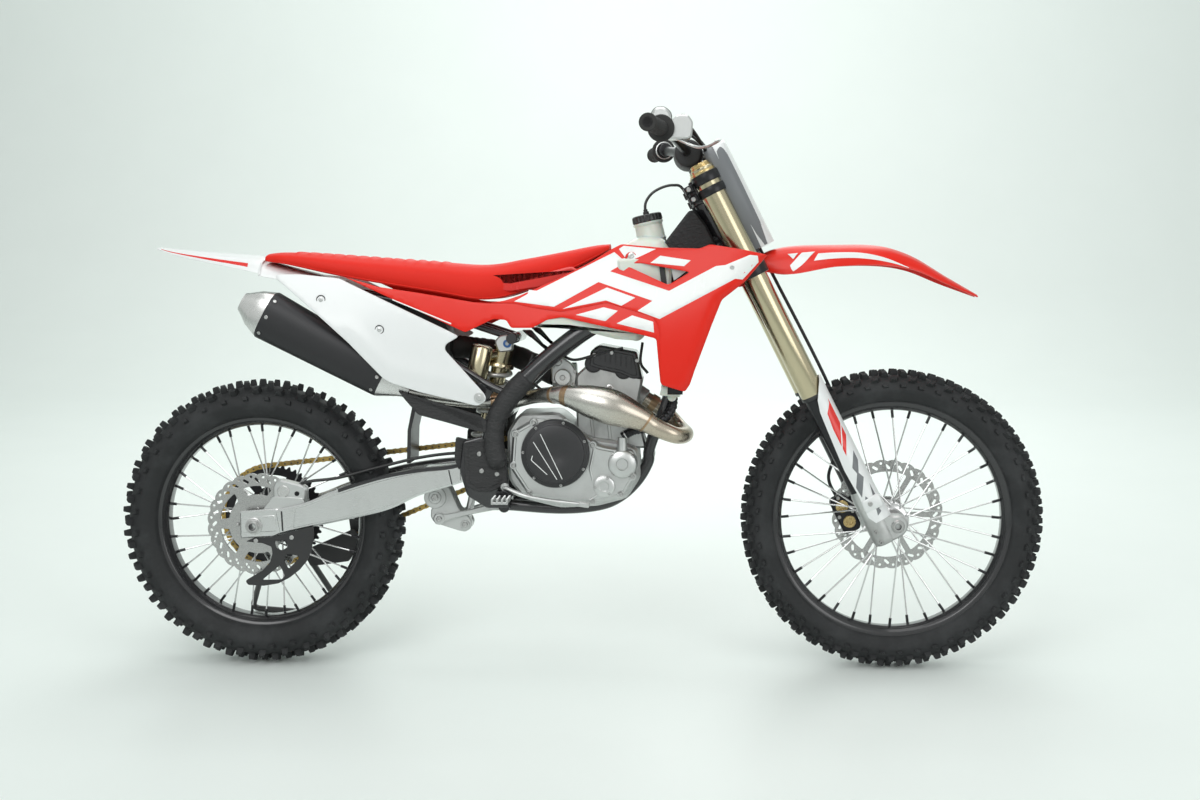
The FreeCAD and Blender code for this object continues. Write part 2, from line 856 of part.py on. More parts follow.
def head_tube():
    """Tube between the clamps, and its bore."""
    top = upper_clamp_start + clamp_step - seat_gap
    bottom = lower_clamp_start + clamp_height - clamp_step + seat_gap
    return (on_fork(upright(0, 0, bottom, top, head_tube_radius)),
            on_fork(upright(0, 0, bottom - cut_extra, top + cut_extra, head_tube_bore)))


# Frame routes in shares of the swingarm pivot's place and of each tube's distance from the middle
spar_route_shares = [(1.93, -0.15, 2.05), (1.80, -0.555, 1.923), (1.62, -0.926, 1.792), (1.35, -1.0, 1.611),
                     (1.108, -1.0, 1.372), (1.02, -1.0, 1.227), (1.004, -1.0, 1.133)]
cradle_route_shares = [(1.957, -0.15, 2.0), (1.906, -0.29, 1.897), (1.74, -1.0, 1.351), (1.655, -1.0, 1.09),
                       (1.645, -1.0, 1.01), (1.60, -1.0, 0.92), (1.53, -1.0, 0.845), (1.44, -1.0, 0.80),
                       (1.277, -1.0, 0.784), (1.05, -1.0, 0.80)]
tail_route_shares = [(1.09, -1.0, 1.605), (0.62, -1.0, 1.775), (0.16, -1.0, 1.87)]
strut_route_shares = [(1.06, -2.0, 1.347), (0.982, -1.88, 1.389), (0.847, -1.48, 1.48), (0.36, -1.0, 1.80)]
pivot_plate_shares = [(0.885, 1.12), (1.02, 1.16), (1.07, 1.03), (1.072, 0.91), (1.072, 0.80), (0.98, 0.80),
                      (0.90, 0.86), (0.87, 0.98)]
gusset_shares = [(1.261, 1.528), (1.171, 1.435), (1.063, 1.574), (1.077, 1.647), (1.171, 1.642)]
low_cross_shares = (1.063, 1.243)
panel_tab_shares = [(0.935, 1.31), (0.985, 1.305), (1.015, 1.36), (0.985, 1.40), (0.945, 1.39)]
panel_tab_bolt_shares = (0.962, 1.329)
panel_tab_y = 96.0
lower_cover_shares = [(0.625, 1.362), (0.957, 1.247), (0.99, 1.22), (0.985, 1.16), (0.948, 1.170),
                      (0.708, 1.247),
                      (0.658, 1.314)]
lower_cover_y = 122.0


def frame_route(shares, y):
    """Points given in shares of the swingarm pivot's place."""
    return [V(a * pivot_x, b * y, c * pivot_z) for a, b, c in shares]


def pivot_outline(shares):
    """Side-view outline in shares of the swingarm pivot's place."""
    return [(a * pivot_x, b * pivot_z) for a, b in shares]


def main_frame():
    """Head tube, twin spars, double cradle, tail tubes, pivot plates and cross tubes."""
    head, head_bore = head_tube()
    plate_inner = arm_inner_y + arm_wall + seat_gap
    halves = [tube(frame_route(spar_route_shares, spar_y), spar_radius, frame_sides),
              tube(frame_route(cradle_route_shares, cradle_y), cradle_radius, frame_sides),
              tube(frame_route(tail_route_shares, subframe_y), subframe_radius, frame_sides),
              tube(frame_route(strut_route_shares, subframe_y), subframe_radius, frame_sides),
              plate(pivot_outline(pivot_plate_shares), -plate_inner - pivot_plate_wall, -plate_inner),
              plate(pivot_outline(gusset_shares), -spar_y, gusset_wall - spar_y),
              plate(pivot_outline(panel_tab_shares), -panel_tab_y - panel_wall, -panel_tab_y)]
    halves.append(plate(pivot_outline(lower_cover_shares), -lower_cover_y - panel_wall, -lower_cover_y))
    tab_x, tab_z = pivot_outline([panel_tab_bolt_shares])[0]
    halves.append(panel_boss(tab_x, tab_z, -panel_tab_y))
    low = frame_route(cradle_route_shares, cradle_y)[-1]
    high = frame_route(tail_route_shares, subframe_y)[0]
    rear = frame_route(tail_route_shares, subframe_y)[-1]
    low_x, low_z = pivot_outline([low_cross_shares])[0]
    cross = [across(low.x, low.z, -plate_inner, plate_inner, cradle_radius, frame_sides),
             across(high.x, high.z, -spar_y, spar_y, shock_cross_radius, frame_sides),
             across(low_x, low_z, -spar_y, spar_y, subframe_radius, frame_sides),
             across(rear.x, rear.z, -subframe_y, subframe_y, subframe_radius, frame_sides)]
    bolt = across(pivot_x, pivot_z, -spar_y * 2, spar_y * 2, pivot_bolt_radius, round_sides)
    return joined([head] + halves + [flipped(half) for half in halves] + cross).cut(head_bore).cut(bolt)


swingarm_top_shares = [(-0.06, 0.77), (0.10, 0.79), (0.33, 0.87), (0.54, 0.945), (0.70, 0.98), (0.83, 0.99)]
swingarm_bottom_shares = [(0.83, 0.90), (0.70, 0.855), (0.57, 0.785), (0.41, 0.745), (0.20, 0.69),
                          (0.08, 0.65),
                          (-0.06, 0.645)]
swingarm_cross_shares = [(0.70, 0.87), (0.83, 0.91), (0.83, 0.98), (0.70, 0.97)]


def swingarm():
    """Tapered box arms joined ahead of the wheel, with axle blocks and pivot bosses."""
    pivot_end = [(pivot_x, pivot_z + pivot_boss_radius), (pivot_x, pivot_z - pivot_boss_radius)]
    outline = pivot_outline(swingarm_top_shares) + pivot_end + pivot_outline(swingarm_bottom_shares)
    outside = arm_inner_y + arm_wall
    arm = joined([plate(outline, -outside, -arm_inner_y),
                  across(pivot_x, pivot_z, -outside, -arm_inner_y, pivot_boss_radius, round_sides)])
    sprocket_edge = pitch_radius(rear_teeth) + sprocket_tip + cut_extra * 2
    room = Part.makeBox(sprocket_edge + rear_tyre_radius, arm_tail_inner_y, pivot_z * 2,
                        V(-rear_tyre_radius, -arm_tail_inner_y, 0))
    arm = arm.cut(room)
    cross = plate(pivot_outline(swingarm_cross_shares), -arm_inner_y, arm_inner_y)
    axle = across(0, rear_axle_z, -outside * 2, outside * 2, axle_radius, round_sides)
    bolt = across(pivot_x, pivot_z, -outside * 2, outside * 2, pivot_bolt_radius, round_sides)
    return joined([arm, flipped(arm), cross]).cut(axle).cut(bolt)


def rear_axle():
    """Hollow axle with nuts outside the arms, and the pivot bolt."""
    outside = arm_inner_y + arm_wall
    bar = across(0, rear_axle_z, -rear_axle_half, rear_axle_half, axle_radius - running_gap, round_sides)
    nuts = [across(0, rear_axle_z, side * outside, side * (outside + axle_nut_width), axle_nut_radius,
                   nut_sides)
            for side in (-1, 1)]
    bore = joined([across(0, rear_axle_z, -rear_axle_half - cut_extra,
                          rear_axle_half - stand_pin_depth - slot_gap, rear_axle_bore),
                   across(0, rear_axle_z, 0, rear_axle_half + cut_extra, stand_pin_radius + running_gap)])
    reach = outside + seat_gap + pivot_plate_wall
    bolt = across(pivot_x, pivot_z, -reach, reach, pivot_bolt_radius - running_gap, round_sides)
    return Part.makeCompound([joined([bar] + nuts).cut(bore), bolt])


rocker_shares = [(0.72, 0.8755), (0.79, 0.897), (0.90, 0.71), (0.87, 0.66), (0.74, 0.70)]
rocker_head_shares = [(0.72, 0.8755), (0.79, 0.897), (0.80, 0.86), (0.72, 0.84)]
link_root_shares = (0.765, 0.725)
rocker_half_gap = 16.0
rocker_wall = 8.0
link_radius = 7.0


def linkage():
    """Two rocker plates under the swingarm with the shock's eye between them, and the link arms."""
    inner = rocker_half_gap
    outer = rocker_half_gap + rocker_wall
    pieces = [plate(pivot_outline(rocker_shares), shock_y + inner, shock_y + outer),
              plate(pivot_outline(rocker_shares), shock_y - outer, shock_y - inner),
              plate(pivot_outline(rocker_head_shares), shock_y - inner, shock_y + inner),
              across(shock_foot_x, shock_foot_z, shock_y - outer, shock_y + outer, link_radius,
                     round_sides)]
    low = frame_route(cradle_route_shares, cradle_y)[-1]
    root_x, root_z = pivot_outline([link_root_shares])[0]
    along = V(low.x - root_x, 0, low.z - root_z).normalize()
    for y in (shock_y - outer - link_radius / 2, shock_y + outer + link_radius / 2):
        end = V(low.x, y, low.z) - along * (cradle_radius + seat_gap)
        pieces.append(rod(V(root_x, y, root_z), end, link_radius, frame_sides))
    return joined(pieces)


shock_eye_radius = 18.0
shock_top_x = 578.0
shock_top_z = 757.0
shock_foot_x = 484.0
shock_foot_z = 334.0
shock_y = -10.0
spring_radius = 33.0
spring_core_radius = 24.0
shock_rod_radius = 9.0
spring_coils = 6
canister_radius = 24.0


coil_share = 0.46
collar_share = 0.12
canister_top_share = 0.4
canister_foot_share = 4.3
canister_back_shares = (1.9, 1.55)


def shock():
    """Damper body, ribbed spring and piggyback canister on a leaning axis."""
    top = V(shock_top_x, shock_y, shock_top_z)
    foot = V(shock_foot_x, shock_y, shock_foot_z)
    along = (foot - top).normalize()
    length = (foot - top).Length
    start = length * collar_share
    pitch = length * coil_share / spring_coils
    profile = [(0, 0), (0, spring_core_radius), (start, spring_core_radius)]
    for n in range(spring_coils):
        profile += [(start + (n + 0.3) * pitch, spring_radius),
                    (start + (n + 1) * pitch, spring_core_radius)]
    end = start + spring_coils * pitch
    profile += [(end, shock_rod_radius), (length, shock_rod_radius), (length, 0)]
    sections = []
    for distance, radius in profile:
        sections.append((top + along * distance, radius))
    body = turned_along(sections, along)
    eye_half = rocker_half_gap - frame_gap
    foot_eye = across(foot.x, foot.z, shock_y - eye_half, shock_y + eye_half, shock_rod_radius * 1.6,
                      round_sides)
    foot_hole = across(foot.x, foot.z, shock_y - eye_half * 2, shock_y + eye_half * 2,
                       link_radius + seat_gap, round_sides)
    back, side = canister_back_shares
    offset = V(-canister_radius * back, -canister_radius * side, 0)
    canister = rod(top + offset + along * canister_radius * canister_top_share,
                   top + offset + along * canister_radius * canister_foot_share, canister_radius,
                   round_sides)
    neck = rod(top + along * spring_core_radius, top + offset + along * spring_core_radius * 1.2,
               shock_rod_radius * 1.4, round_sides)
    eye = across(top.x, top.z, shock_y - spring_core_radius, shock_y + spring_core_radius,
                 shock_eye_radius, round_sides)
    return joined([body, canister, neck, eye, foot_eye]).cut(foot_hole)


def turned_along(sections, along):
    """Solid of flat-sided rings given as (centre, radius), a zero radius closing each end."""
    rings = []
    for centre, radius in sections:
        if radius:
            rings.append([v.Point for v in ring(centre, along, radius, round_sides).OrderedVertexes])
    return skinned(rings)


# Engine
engine_left = 60.0
engine_right = -84.0
cover_wall = 26.0
clutch_x = 704.0
clutch_z = 512.0
clutch_radius = 78.0
clutch_wall = 34.0
boss_reach = 15.0
filter_boss_radius = 24.0
pump_boss_radius = 32.0
pump_pipe_radius = 11.0
left_cover_wall = 50.0
shaft_radius = 15.6
cylinder_half_width = 58.0
case_length = 320.0
case_height = 225.0
case_x = 590.0
case_z = 382.0
case_shares = [(0.0, 0.78), (0.09, 0.97), (0.38, 0.98), (0.52, 0.80), (0.60, 0.72), (0.80, 0.68),
               (0.94, 0.62), (0.96, 0.32),
               (0.86, 0.10), (0.65, 0.02), (0.38, 0.0), (0.12, 0.09), (0.01, 0.28)]
barrel_shares = [(0.50, 0.60), (0.49, 1.35), (0.575, 1.46), (0.975, 1.32), (0.92, 0.97), (1.0, 0.60)]
cover_shares = [(0.03, 0.42), (0.05, 0.80), (0.20, 0.92), (0.45, 0.90), (0.66, 0.66), (0.90, 0.60),
                (0.92, 0.32), (0.84, 0.13),
                (0.64, 0.06), (0.38, 0.05), (0.16, 0.14)]
left_cover_shares = [(0.30, 0.30), (0.32, 0.62), (0.45, 0.76), (0.66, 0.66), (0.85, 0.58), (0.86, 0.32),
                     (0.72, 0.12), (0.45, 0.08)]
head_cover_shares = [(0.577, 1.461), (0.60, 1.60), (0.66, 1.66), (0.93, 1.59), (0.97, 1.3235)]


def case_outline(shares):
    return scaled(shares, case_x, case_z, case_length, case_height)


def engine():
    """Crankcase and cylinder block."""
    case = plate(case_outline(case_shares), engine_right, engine_left)
    barrel = plate(case_outline(barrel_shares), -cylinder_half_width, cylinder_half_width)
    port, along = header_port()
    boss = rod(port - along * port_depth, port - along * seat_gap, port_radius, round_sides)
    cradle = clearing(frame_route(cradle_route_shares, cradle_y), cradle_radius)
    return joined([case, barrel, boss]).cut(cradle).cut(flipped(cradle))


port_depth = 40.0
port_radius = 22.0


def header_port():
    """Mouth of the exhaust port and the way it points."""
    first, second = [V(shares[0], 0, shares[2]) for shares in header_shares[:2]]
    return V(header_port_x, 0, header_port_z), (second - first).normalize()


filter_boss_shares = (0.70, 0.245)
pump_boss_shares = (0.83, 0.47)
pump_pipe_share = 0.74


def side_covers():
    """Right and left crankcase covers with their bosses, and the drive sprocket."""
    face = engine_right - seat_gap
    outer = face - cover_wall
    filter_boss, pump_boss = case_outline([filter_boss_shares, pump_boss_shares])
    pipe_top = case_z + case_height * pump_pipe_share
    pieces = [plate(case_outline(cover_shares), outer, face),
              across(filter_boss[0], filter_boss[1], outer - boss_reach, face, filter_boss_radius,
                     round_sides),
              across(pump_boss[0], pump_boss[1], outer - boss_reach, face, pump_boss_radius, round_sides),
              upright(pump_boss[0], outer, pump_boss[1], pipe_top, pump_pipe_radius)]
    seat = across(clutch_x, clutch_z, outer - clutch_wall * 2, outer - seat_gap, clutch_radius + seat_gap,
                  ring_sides)
    right = joined(pieces).cut(seat)
    left = plate(case_outline(left_cover_shares), engine_left + seat_gap, engine_left + left_cover_wall)
    shaft = across(countershaft_x, countershaft_z, engine_left + seat_gap, chain_y, shaft_radius,
                   round_sides)
    drive = sprocket(countershaft_x, countershaft_z, front_teeth, shaft_radius - cut_extra)
    fill = across(countershaft_x, countershaft_z, chain_y - sprocket_thickness / 2,
                  chain_y + sprocket_thickness / 2,
                  pitch_radius(front_teeth) + chain_half_height - chain_web - seat_gap, ring_sides)
    return Part.makeCompound([right, left, joined([shaft, drive, fill])])


clutch_step_shares = [(0.0, 1.0), (0.5, 1.0), (0.7, 0.9), (1.0, 0.86)]


def clutch_cover():
    """Round cover with a stepped edge."""
    back = engine_right - seat_gap * 2 - cover_wall
    rings = []
    for out, wide in clutch_step_shares:
        centre = V(clutch_x, back - out * clutch_wall, clutch_z)
        rings.append((centre, clutch_radius * wide))
    return turned_along(rings, V(0, -1, 0))


def head_cover():
    return plate(case_outline(head_cover_shares), -cylinder_half_width * 0.9, cylinder_half_width * 0.9)


# Intake: shares of the engine case's box, and the boot's way round the shock
throttle_share = 1.33
throttle_from_share = 0.31
throttle_to_share = 0.488
boot_shares = [(-0.42, 0.25, 0.30), (-0.37, 0.25, 0.30), (-0.28, 0.72, 0.28), (-0.14, 0.95, 0.25),
               (0.06, 0.95, 0.17), (0.34, 0.0, 0.0)]
throttle_radius = 31.0
boot_radius = 26.0
boot_y = 56.0
throttle_wheel_radius = 19.0
throttle_wheel_reach = 72.0


def intake():
    """Throttle body between the airbox boot and the cylinder head."""
    z = case_z + case_height * throttle_share
    body = rod(V(case_x + case_length * throttle_from_share, 0, z),
               V(case_x + case_length * throttle_to_share, 0, z),
               throttle_radius, round_sides)
    wheel = across(case_x + case_length * (throttle_from_share + throttle_to_share) / 2, z,
                   -throttle_wheel_reach, 0, throttle_wheel_radius, round_sides)
    boot = tube([V(case_x + a * case_length, b * boot_y, z + c * case_height) for a, b, c in boot_shares],
                boot_radius, frame_sides)
    return joined([body, wheel, boot])


# Exhaust: (x, y, z) route and pipe radius
header_port_x = 905.0
header_port_z = 628.0
header_shares = [(0.0, 0.0, 0.0, 0.5), (0.15, 0.0, -0.10, 0.5), (0.27, -0.12, -0.22, 0.52),
                 (0.31, -0.34, -0.245, 0.52), (0.23, -0.50, -0.235, 0.52), (0.07, -0.52, -0.165, 0.60),
                 (-0.02, -0.53, -0.11, 0.76), (-0.22, -0.54, -0.03, 1.1), (-0.40, -0.53, 0.02, 1.0),
                 (-0.56, -0.50, 0.055, 0.67), (-0.66, -0.44, 0.06, 0.53), (-0.77, -0.34, 0.05, 0.47),
                 (-0.87, -0.25, 0.03, 0.46), (-1.0, -0.215, 0.0, 0.46), (-1.22, -0.215, -0.01, 0.46),
                 (-1.48, -0.26, 0.02, 0.46), (-1.68, -0.31, 0.055, 0.46)]
header_scale = 300.0
pipe_radius = 36.0


def muffler_point(share):
    """A point on the muffler's axis, in shares of its length from the tail."""
    a = math.radians(muffler_slope)
    return V(muffler_tail_x + share * muffler_length * math.cos(a), muffler_y,
             muffler_tail_z - share * muffler_length * math.sin(a))


def exhaust_header():
    """Header that loops to the right, swells into a chamber and runs back to the muffler."""
    centres = [V(header_port_x + a * header_scale, b * header_scale, header_port_z + c * header_scale)
               for a, b, c, d in header_shares]
    radii = [d * pipe_radius for a, b, c, d in header_shares]
    mouth = muffler_point(muffler_shares[-1][0])
    along = (muffler_point(0) - mouth).normalize()
    centres.append(mouth - along * seat_gap)
    radii.append(radii[-1])
    spline = Part.BSplineCurve()
    spline.interpolate(centres)
    ways = [spline.tangent(spline.parameter(point))[0] for point in centres]
    ways[0] = header_port()[1]
    ways[-1] = along
    return skinned([oval(point, way, radius, radius) for point, way, radius in zip(centres, ways, radii)])


muffler_tail_x = 42.0
muffler_tail_z = 828.0
muffler_y = -98.0
muffler_length = 308.0
muffler_slope = 28.5
muffler_half_height = 58.0
muffler_half_width = 42.0
muffler_tip_bore = 17.0
muffler_tip_length = 62.0
muffler_shares = [(-0.20, 0.40, 0.54), (-0.10, 0.78, 0.84), (0.0, 1.0, 1.0), (0.02, 1.02, 1.02),
                  (0.5, 0.92, 0.98), (0.98, 0.82, 0.95), (1.0, 0.80, 0.92),
                  (1.16, 0.36, 0.48), (1.20, 0.30, 0.41)]


def muffler():
    """Oval body between two end caps, with an open outlet."""
    sections = [oval(V(along * muffler_length, 0, 0), V(1, 0, 0), wide * muffler_half_width,
                     tall * muffler_half_height)
                for along, tall, wide in muffler_shares]
    start = V(muffler_shares[0][0] * muffler_length - cut_extra, 0, 0)
    body = skinned(sections).cut(rod(start, start + V(muffler_tip_length, 0, 0), muffler_tip_bore))
    body.rotate(V(0, 0, 0), V(0, 1, 0), muffler_slope)
    body.translate(muffler_point(0))
    return body


# Bodywork skin: shares of the greatest half width, on a grid of places along and up
skin_along_shares = [-0.20, -0.15, 0.05, 0.25, 0.42, 0.60, 0.75, 0.88, 1.02]
skin_up_shares = [-0.10, 0.10, 0.40, 0.70, 1.05]
skin_shares = [[0.70, 0.72, 0.73, 0.65, 0.50], [0.72, 0.75, 0.76, 0.68, 0.50],
               [0.77, 0.80, 0.80, 0.70, 0.50],
               [0.70, 0.72, 0.74, 0.64, 0.48], [0.70, 0.71, 0.72, 0.60, 0.40],
               [0.76, 0.80, 0.84, 0.66, 0.38],
               [0.88, 0.92, 0.96, 0.86, 0.62], [0.92, 0.96, 1.0, 0.96, 0.82],
               [0.88, 0.90, 0.94, 0.93, 0.86]]


def skin_rows(inward):
    """Points of the right-hand bodywork's outer face, moved towards the middle."""
    rows = []
    for along, shares in zip(skin_along_shares, skin_shares):
        x = body_x + along * body_length
        rows.append([V(x, inward - wide * skin_half_width, body_z + up * body_height)
                     for up, wide in zip(skin_up_shares, shares)])
    return rows


def panel(cutter):
    """The part of the right-hand bodywork's curved wall inside a solid."""
    pieces = [cell.common(cutter) for cell in cells(skin_rows(0), V(0, panel_wall, 0))]
    return joined([piece for piece in pieces if piece.Solids])


def panel_boss(x, z, y_from):
    """Round boss from the frame or the tank to just behind the right-hand panels."""
    boss = across(x, z, y_from, -skin_half_width, panel_boss_radius, round_sides)
    outside = cells(skin_rows(panel_wall + seat_gap), V(0, -skin_half_width, 0))
    near = [cell for cell in outside if cell.BoundBox.intersect(boss.BoundBox)]
    return boss.cut(Part.makeCompound(near))


panel_boss_radius = 8.0


shroud_outline_shares = [(0.026, 0.785), (0.106, 0.728), (0.197, 0.693), (0.266, 0.662), (0.323, 0.638),
                         (0.357, 0.636),
                         (0.391, 0.646), (0.425, 0.673), (0.471, 0.723), (0.516, 0.773), (0.584, 0.858),
                         (0.629, 0.927),
                         (0.655, 0.96), (0.742, 0.937), (0.83, 0.93), (0.852, 0.952), (0.928, 0.92),
                         (0.978, 0.892),
                         (0.944, 0.792), (0.928, 0.745), (0.878, 0.647), (0.856, 0.51), (0.819, 0.262),
                         (0.808, 0.18),
                         (0.797, 0.14), (0.742, 0.185), (0.733, 0.432), (0.698, 0.455), (0.521, 0.55),
                         (0.488, 0.535),
                         (0.455, 0.49), (0.398, 0.49), (0.385, 0.535), (0.356, 0.54), (0.303, 0.466),
                         (0.277, 0.496)]
shroud_window_shares = [(0.661, 0.845), (0.698, 0.852), (0.808, 0.80), (0.760, 0.73)]
side_panel_shares = [(-0.13, 0.80), (-0.075, 0.80), (0.0175, 0.775), (0.2675, 0.475), (0.29, 0.445),
                     (0.259, 0.40), (0.257, 0.37), (0.335, 0.155), (0.35, 0.10), (0.349, 0.075),
                     (0.33, 0.05), (0.2, 0.13), (0.135, 0.183), (0.117, 0.21), (0.04, 0.41),
                     (-0.005, 0.512), (-0.072, 0.658), (-0.129, 0.772)]


def body_block(shares):
    """Block through the right-hand bodywork with an outline given in shares of its box."""
    return plate(scaled(shares, body_x, body_z, body_length, body_height), -skin_half_width * 2, 0)


def shroud():
    return panel(body_block(shroud_outline_shares).cut(body_block(shroud_window_shares)))


def side_panel():
    return panel(body_block(side_panel_shares))


body_points = 13

# Seat sections: along, bottom, top, half width
seat_shares = [(0.0, 0.70, 0.80, 0.78), (0.075, 0.62, 0.85, 0.92), (0.25, 0.39, 0.78, 1.0),
               (0.5, 0.13, 0.67, 0.97),
               (0.64, 0.0, 0.62, 0.90), (0.75, 0.15, 0.72, 0.76), (0.85, 0.42, 0.83, 0.64),
               (0.95, 0.715, 0.945, 0.54),
               (0.995, 0.88, 0.97, 0.45)]


def seat():
    """Long saddle lofted through rounded sections."""
    sections = []
    for along, low, high, wide in seat_shares:
        x = seat_x + along * seat_length
        half = wide * seat_half_width
        bottom = seat_z + low * seat_depth
        top = seat_z + high * seat_depth
        tall = top - bottom
        sections.append(smooth([V(x, half, bottom), V(x, half * 0.98, bottom + tall * 0.55),
                                V(x, half * 0.62, top - tall * 0.05), V(x, 0, top),
                                V(x, -half * 0.62, top - tall * 0.05),
                                V(x, -half * 0.98, bottom + tall * 0.55), V(x, -half, bottom)],
                                body_points))
    return skinned(sections).cut(tank_body())


# Tank sections: along, bottom, top, half width
tank_x = 650.0
tank_z = 765.0
tank_length = 320.0
tank_height = 240.0
tank_half_width = 112.0
tank_shares = [(0.0, 0.16, 0.24, 0.80), (0.16, 0.20, 0.38, 0.90), (0.45, 0.12, 0.78, 0.95),
               (0.62, 0.06, 0.90, 0.90),
               (0.78, 0.02, 1.0, 0.86), (0.92, 0.40, 0.98, 0.80), (1.0, 0.55, 0.86, 0.60)]
shroud_boss_shares = (0.71, 0.78)
neck_x = 912.0
neck_radius = 33.0
neck_height = 32.0
neck_tilt = 12.0
cap_radius = 36.0
cap_height = 17.0


def tank_body():
    """Body of the tank, lofted through its sections."""
    sections = []
    for along, low, high, wide in tank_shares:
        x = tank_x + along * tank_length
        half = wide * tank_half_width
        bottom = tank_z + low * tank_height
        top = tank_z + high * tank_height
        tall = top - bottom
        sections.append(smooth([V(x, half * 0.8, bottom), V(x, half, bottom + tall * 0.35),
                                V(x, half * 0.7, top - tall * 0.12),
                                V(x, 0, top), V(x, -half * 0.7, top - tall * 0.12),
                                V(x, -half, bottom + tall * 0.35),
                                V(x, -half * 0.8, bottom)], body_points))
    return skinned(sections)


def tank():
    """Plastic fuel tank with a filler neck and bosses for the shrouds."""
    neck = tilted_neck(upright(0, 0, -neck_height * 2, 0, neck_radius))
    spar = clearing(frame_route(spar_route_shares, spar_y), spar_radius)
    boss_x, boss_z = shroud_boss_shares
    boss = panel_boss(tank_x + boss_x * tank_length, tank_z + boss_z * tank_height, -tank_half_width * 0.7)
    return joined([tank_body(), neck, boss, flipped(boss)]).cut(spar).cut(flipped(spar))


def tilted_neck(shape):
    """Moves a piece drawn at the filler's mouth to its tilted place."""
    shape.rotate(V(0, 0, 0), V(0, 1, 0), -neck_tilt)
    shape.translate(V(neck_x, 0, tank_z + tank_height + neck_height))
    return shape


def tank_cap():
    """Filler cap with its breather hose to the steering head."""
    cap = tilted_neck(upright(0, 0, seat_gap, cap_height, cap_radius))
    top = V(neck_x, 0, tank_z + tank_height + neck_height + cap_height - seat_gap)
    head = fork_point(-head_tube_radius - hose_radius, 0, upper_clamp_start - clamp_height * 0.3)
    route = [top, top + V(0, 0, neck_height), top + V(neck_radius * 1.1, 0, neck_height * 1.7),
             top + V(neck_radius * 2.1, 0, neck_height * 1.35), head]
    return joined([cap, tube(route, hose_radius * 0.8, thin_sides)])


radiator_low_x = 958.0
radiator_low_z = 648.0
radiator_high_x = 972.0
radiator_high_z = 866.0
radiator_wall = 34.0
radiator_outer_y = 152.0


def cooling():
    """Two radiators with their lower hoses to the pump and the cylinder."""
    inner = cradle_y + cradle_radius + frame_gap
    outline = [(radiator_low_x, radiator_low_z), (radiator_low_x + radiator_wall, radiator_low_z),
               (radiator_high_x + radiator_wall, radiator_high_z), (radiator_high_x, radiator_high_z)]
    core = plate(outline, -radiator_outer_y, -inner)
    start = V(radiator_low_x + radiator_wall / 2, -inner - radiator_wall / 2,
              radiator_low_z + radiator_wall / 2)
    pump_x = case_outline([pump_boss_shares])[0][0]
    pump_z = case_z + case_height * pump_pipe_share + seat_gap
    pump_y = engine_right - seat_gap - cover_wall
    right_hose = tube([start, start - V(0, 0, radiator_wall * 2),
                       V(pump_x + radiator_wall, pump_y, pump_z + radiator_wall / 2),
                       V(pump_x, pump_y, pump_z + radiator_wall / 2), V(pump_x, pump_y, pump_z)],
                      coolant_radius, frame_sides)
    left_start = flipped_point(start)
    side_y = cylinder_half_width + coolant_radius * 2
    left_hose = tube([left_start, left_start - V(0, 0, radiator_wall * 2),
                      V(pump_x + radiator_wall, side_y, pump_z + radiator_wall),
                      V(pump_x, side_y, pump_z + radiator_wall),
                      V(pump_x, cylinder_half_width + seat_gap, pump_z + radiator_wall)],
                     coolant_radius, frame_sides)
    return Part.makeCompound([joined([core, right_hose]), joined([flipped(core), left_hose])])


coolant_radius = 10.5
airbox_shares = [(0.42, 1.40), (0.80, 1.36), (0.82, 1.62), (0.78, 1.72), (0.42, 1.80)]
flap_shares = [(0.68, 1.38), (0.70, 1.38), (0.655, 1.16), (0.65, 1.0), (0.635, 1.0), (0.64, 1.16)]
flap_half_width = 58.0


def airbox():
    """Box under the seat with the mud flap ahead of the wheel."""
    half = subframe_y - subframe_radius - frame_gap
    box = plate(pivot_outline(airbox_shares), -half, half)
    flap = plate(pivot_outline(flap_shares), -flap_half_width, flap_half_width)
    return joined([box, flap])


# Rear caliper and its bracket: shares of the disc's radius round the axle
rear_caliper_shares = [(0.33, 0.42), (0.98, 0.42), (0.98, 0.77), (0.42, 0.89)]
bracket_shares = [(-0.18, -0.14), (0.10, -0.18), (0.98, 0.42), (0.33, 0.60), (-0.16, 0.16)]


def rear_caliper():
    """Caliper over the top of the rear disc, on its bracket round the axle."""
    body = plate(scaled(rear_caliper_shares, 0, rear_axle_z, rear_disc_radius, rear_disc_radius),
                 rear_disc_y - caliper_half_width, rear_disc_y + caliper_half_width)
    bracket = plate(scaled(bracket_shares, 0, rear_axle_z, rear_disc_radius, rear_disc_radius),
                    seat_gap - arm_tail_inner_y, rear_disc_y - caliper_half_width + seat_gap)
    slot = across(0, rear_axle_z, rear_disc_y - disc_thickness / 2 - slot_gap,
                  rear_disc_y + disc_thickness / 2 + slot_gap,
                  rear_disc_radius + slot_gap, ring_sides)
    hub_room = across(0, rear_axle_z, -rear_hub_half - frame_gap, rear_disc_y, rear_disc_radius * 0.3,
                      round_sides)
    axle = across(0, rear_axle_z, -arm_tail_inner_y * 2, 0, axle_radius, round_sides)
    return joined([body, bracket]).cut(slot).cut(hub_room).cut(axle)


def stand():
    """Triangle of bent rod: a bar on the floor, two legs and a pin in the hollow axle."""
    rear_foot = floor_point(stand_rear_x, stand_rear_y, stand_rod)
    front_foot = floor_point(stand_front_x, stand_front_y, stand_rod)
    apex = V(0, rear_axle_half + stand_rod * 1.5, rear_axle_z)
    middle = (rear_foot + front_foot) / 2
    legs = [tube([apex, rear_foot, middle], stand_rod, frame_sides),
            tube([apex, front_foot, middle], stand_rod, frame_sides)]
    pin = across(0, rear_axle_z, rear_axle_half - stand_pin_depth, rear_axle_half + stand_rod,
                 stand_pin_radius)
    head = across(0, rear_axle_z, rear_axle_half + seat_gap, rear_axle_half + stand_rod * 4,
                  rear_axle_bore * 2, round_sides)
    return joined(legs + [pin, head])


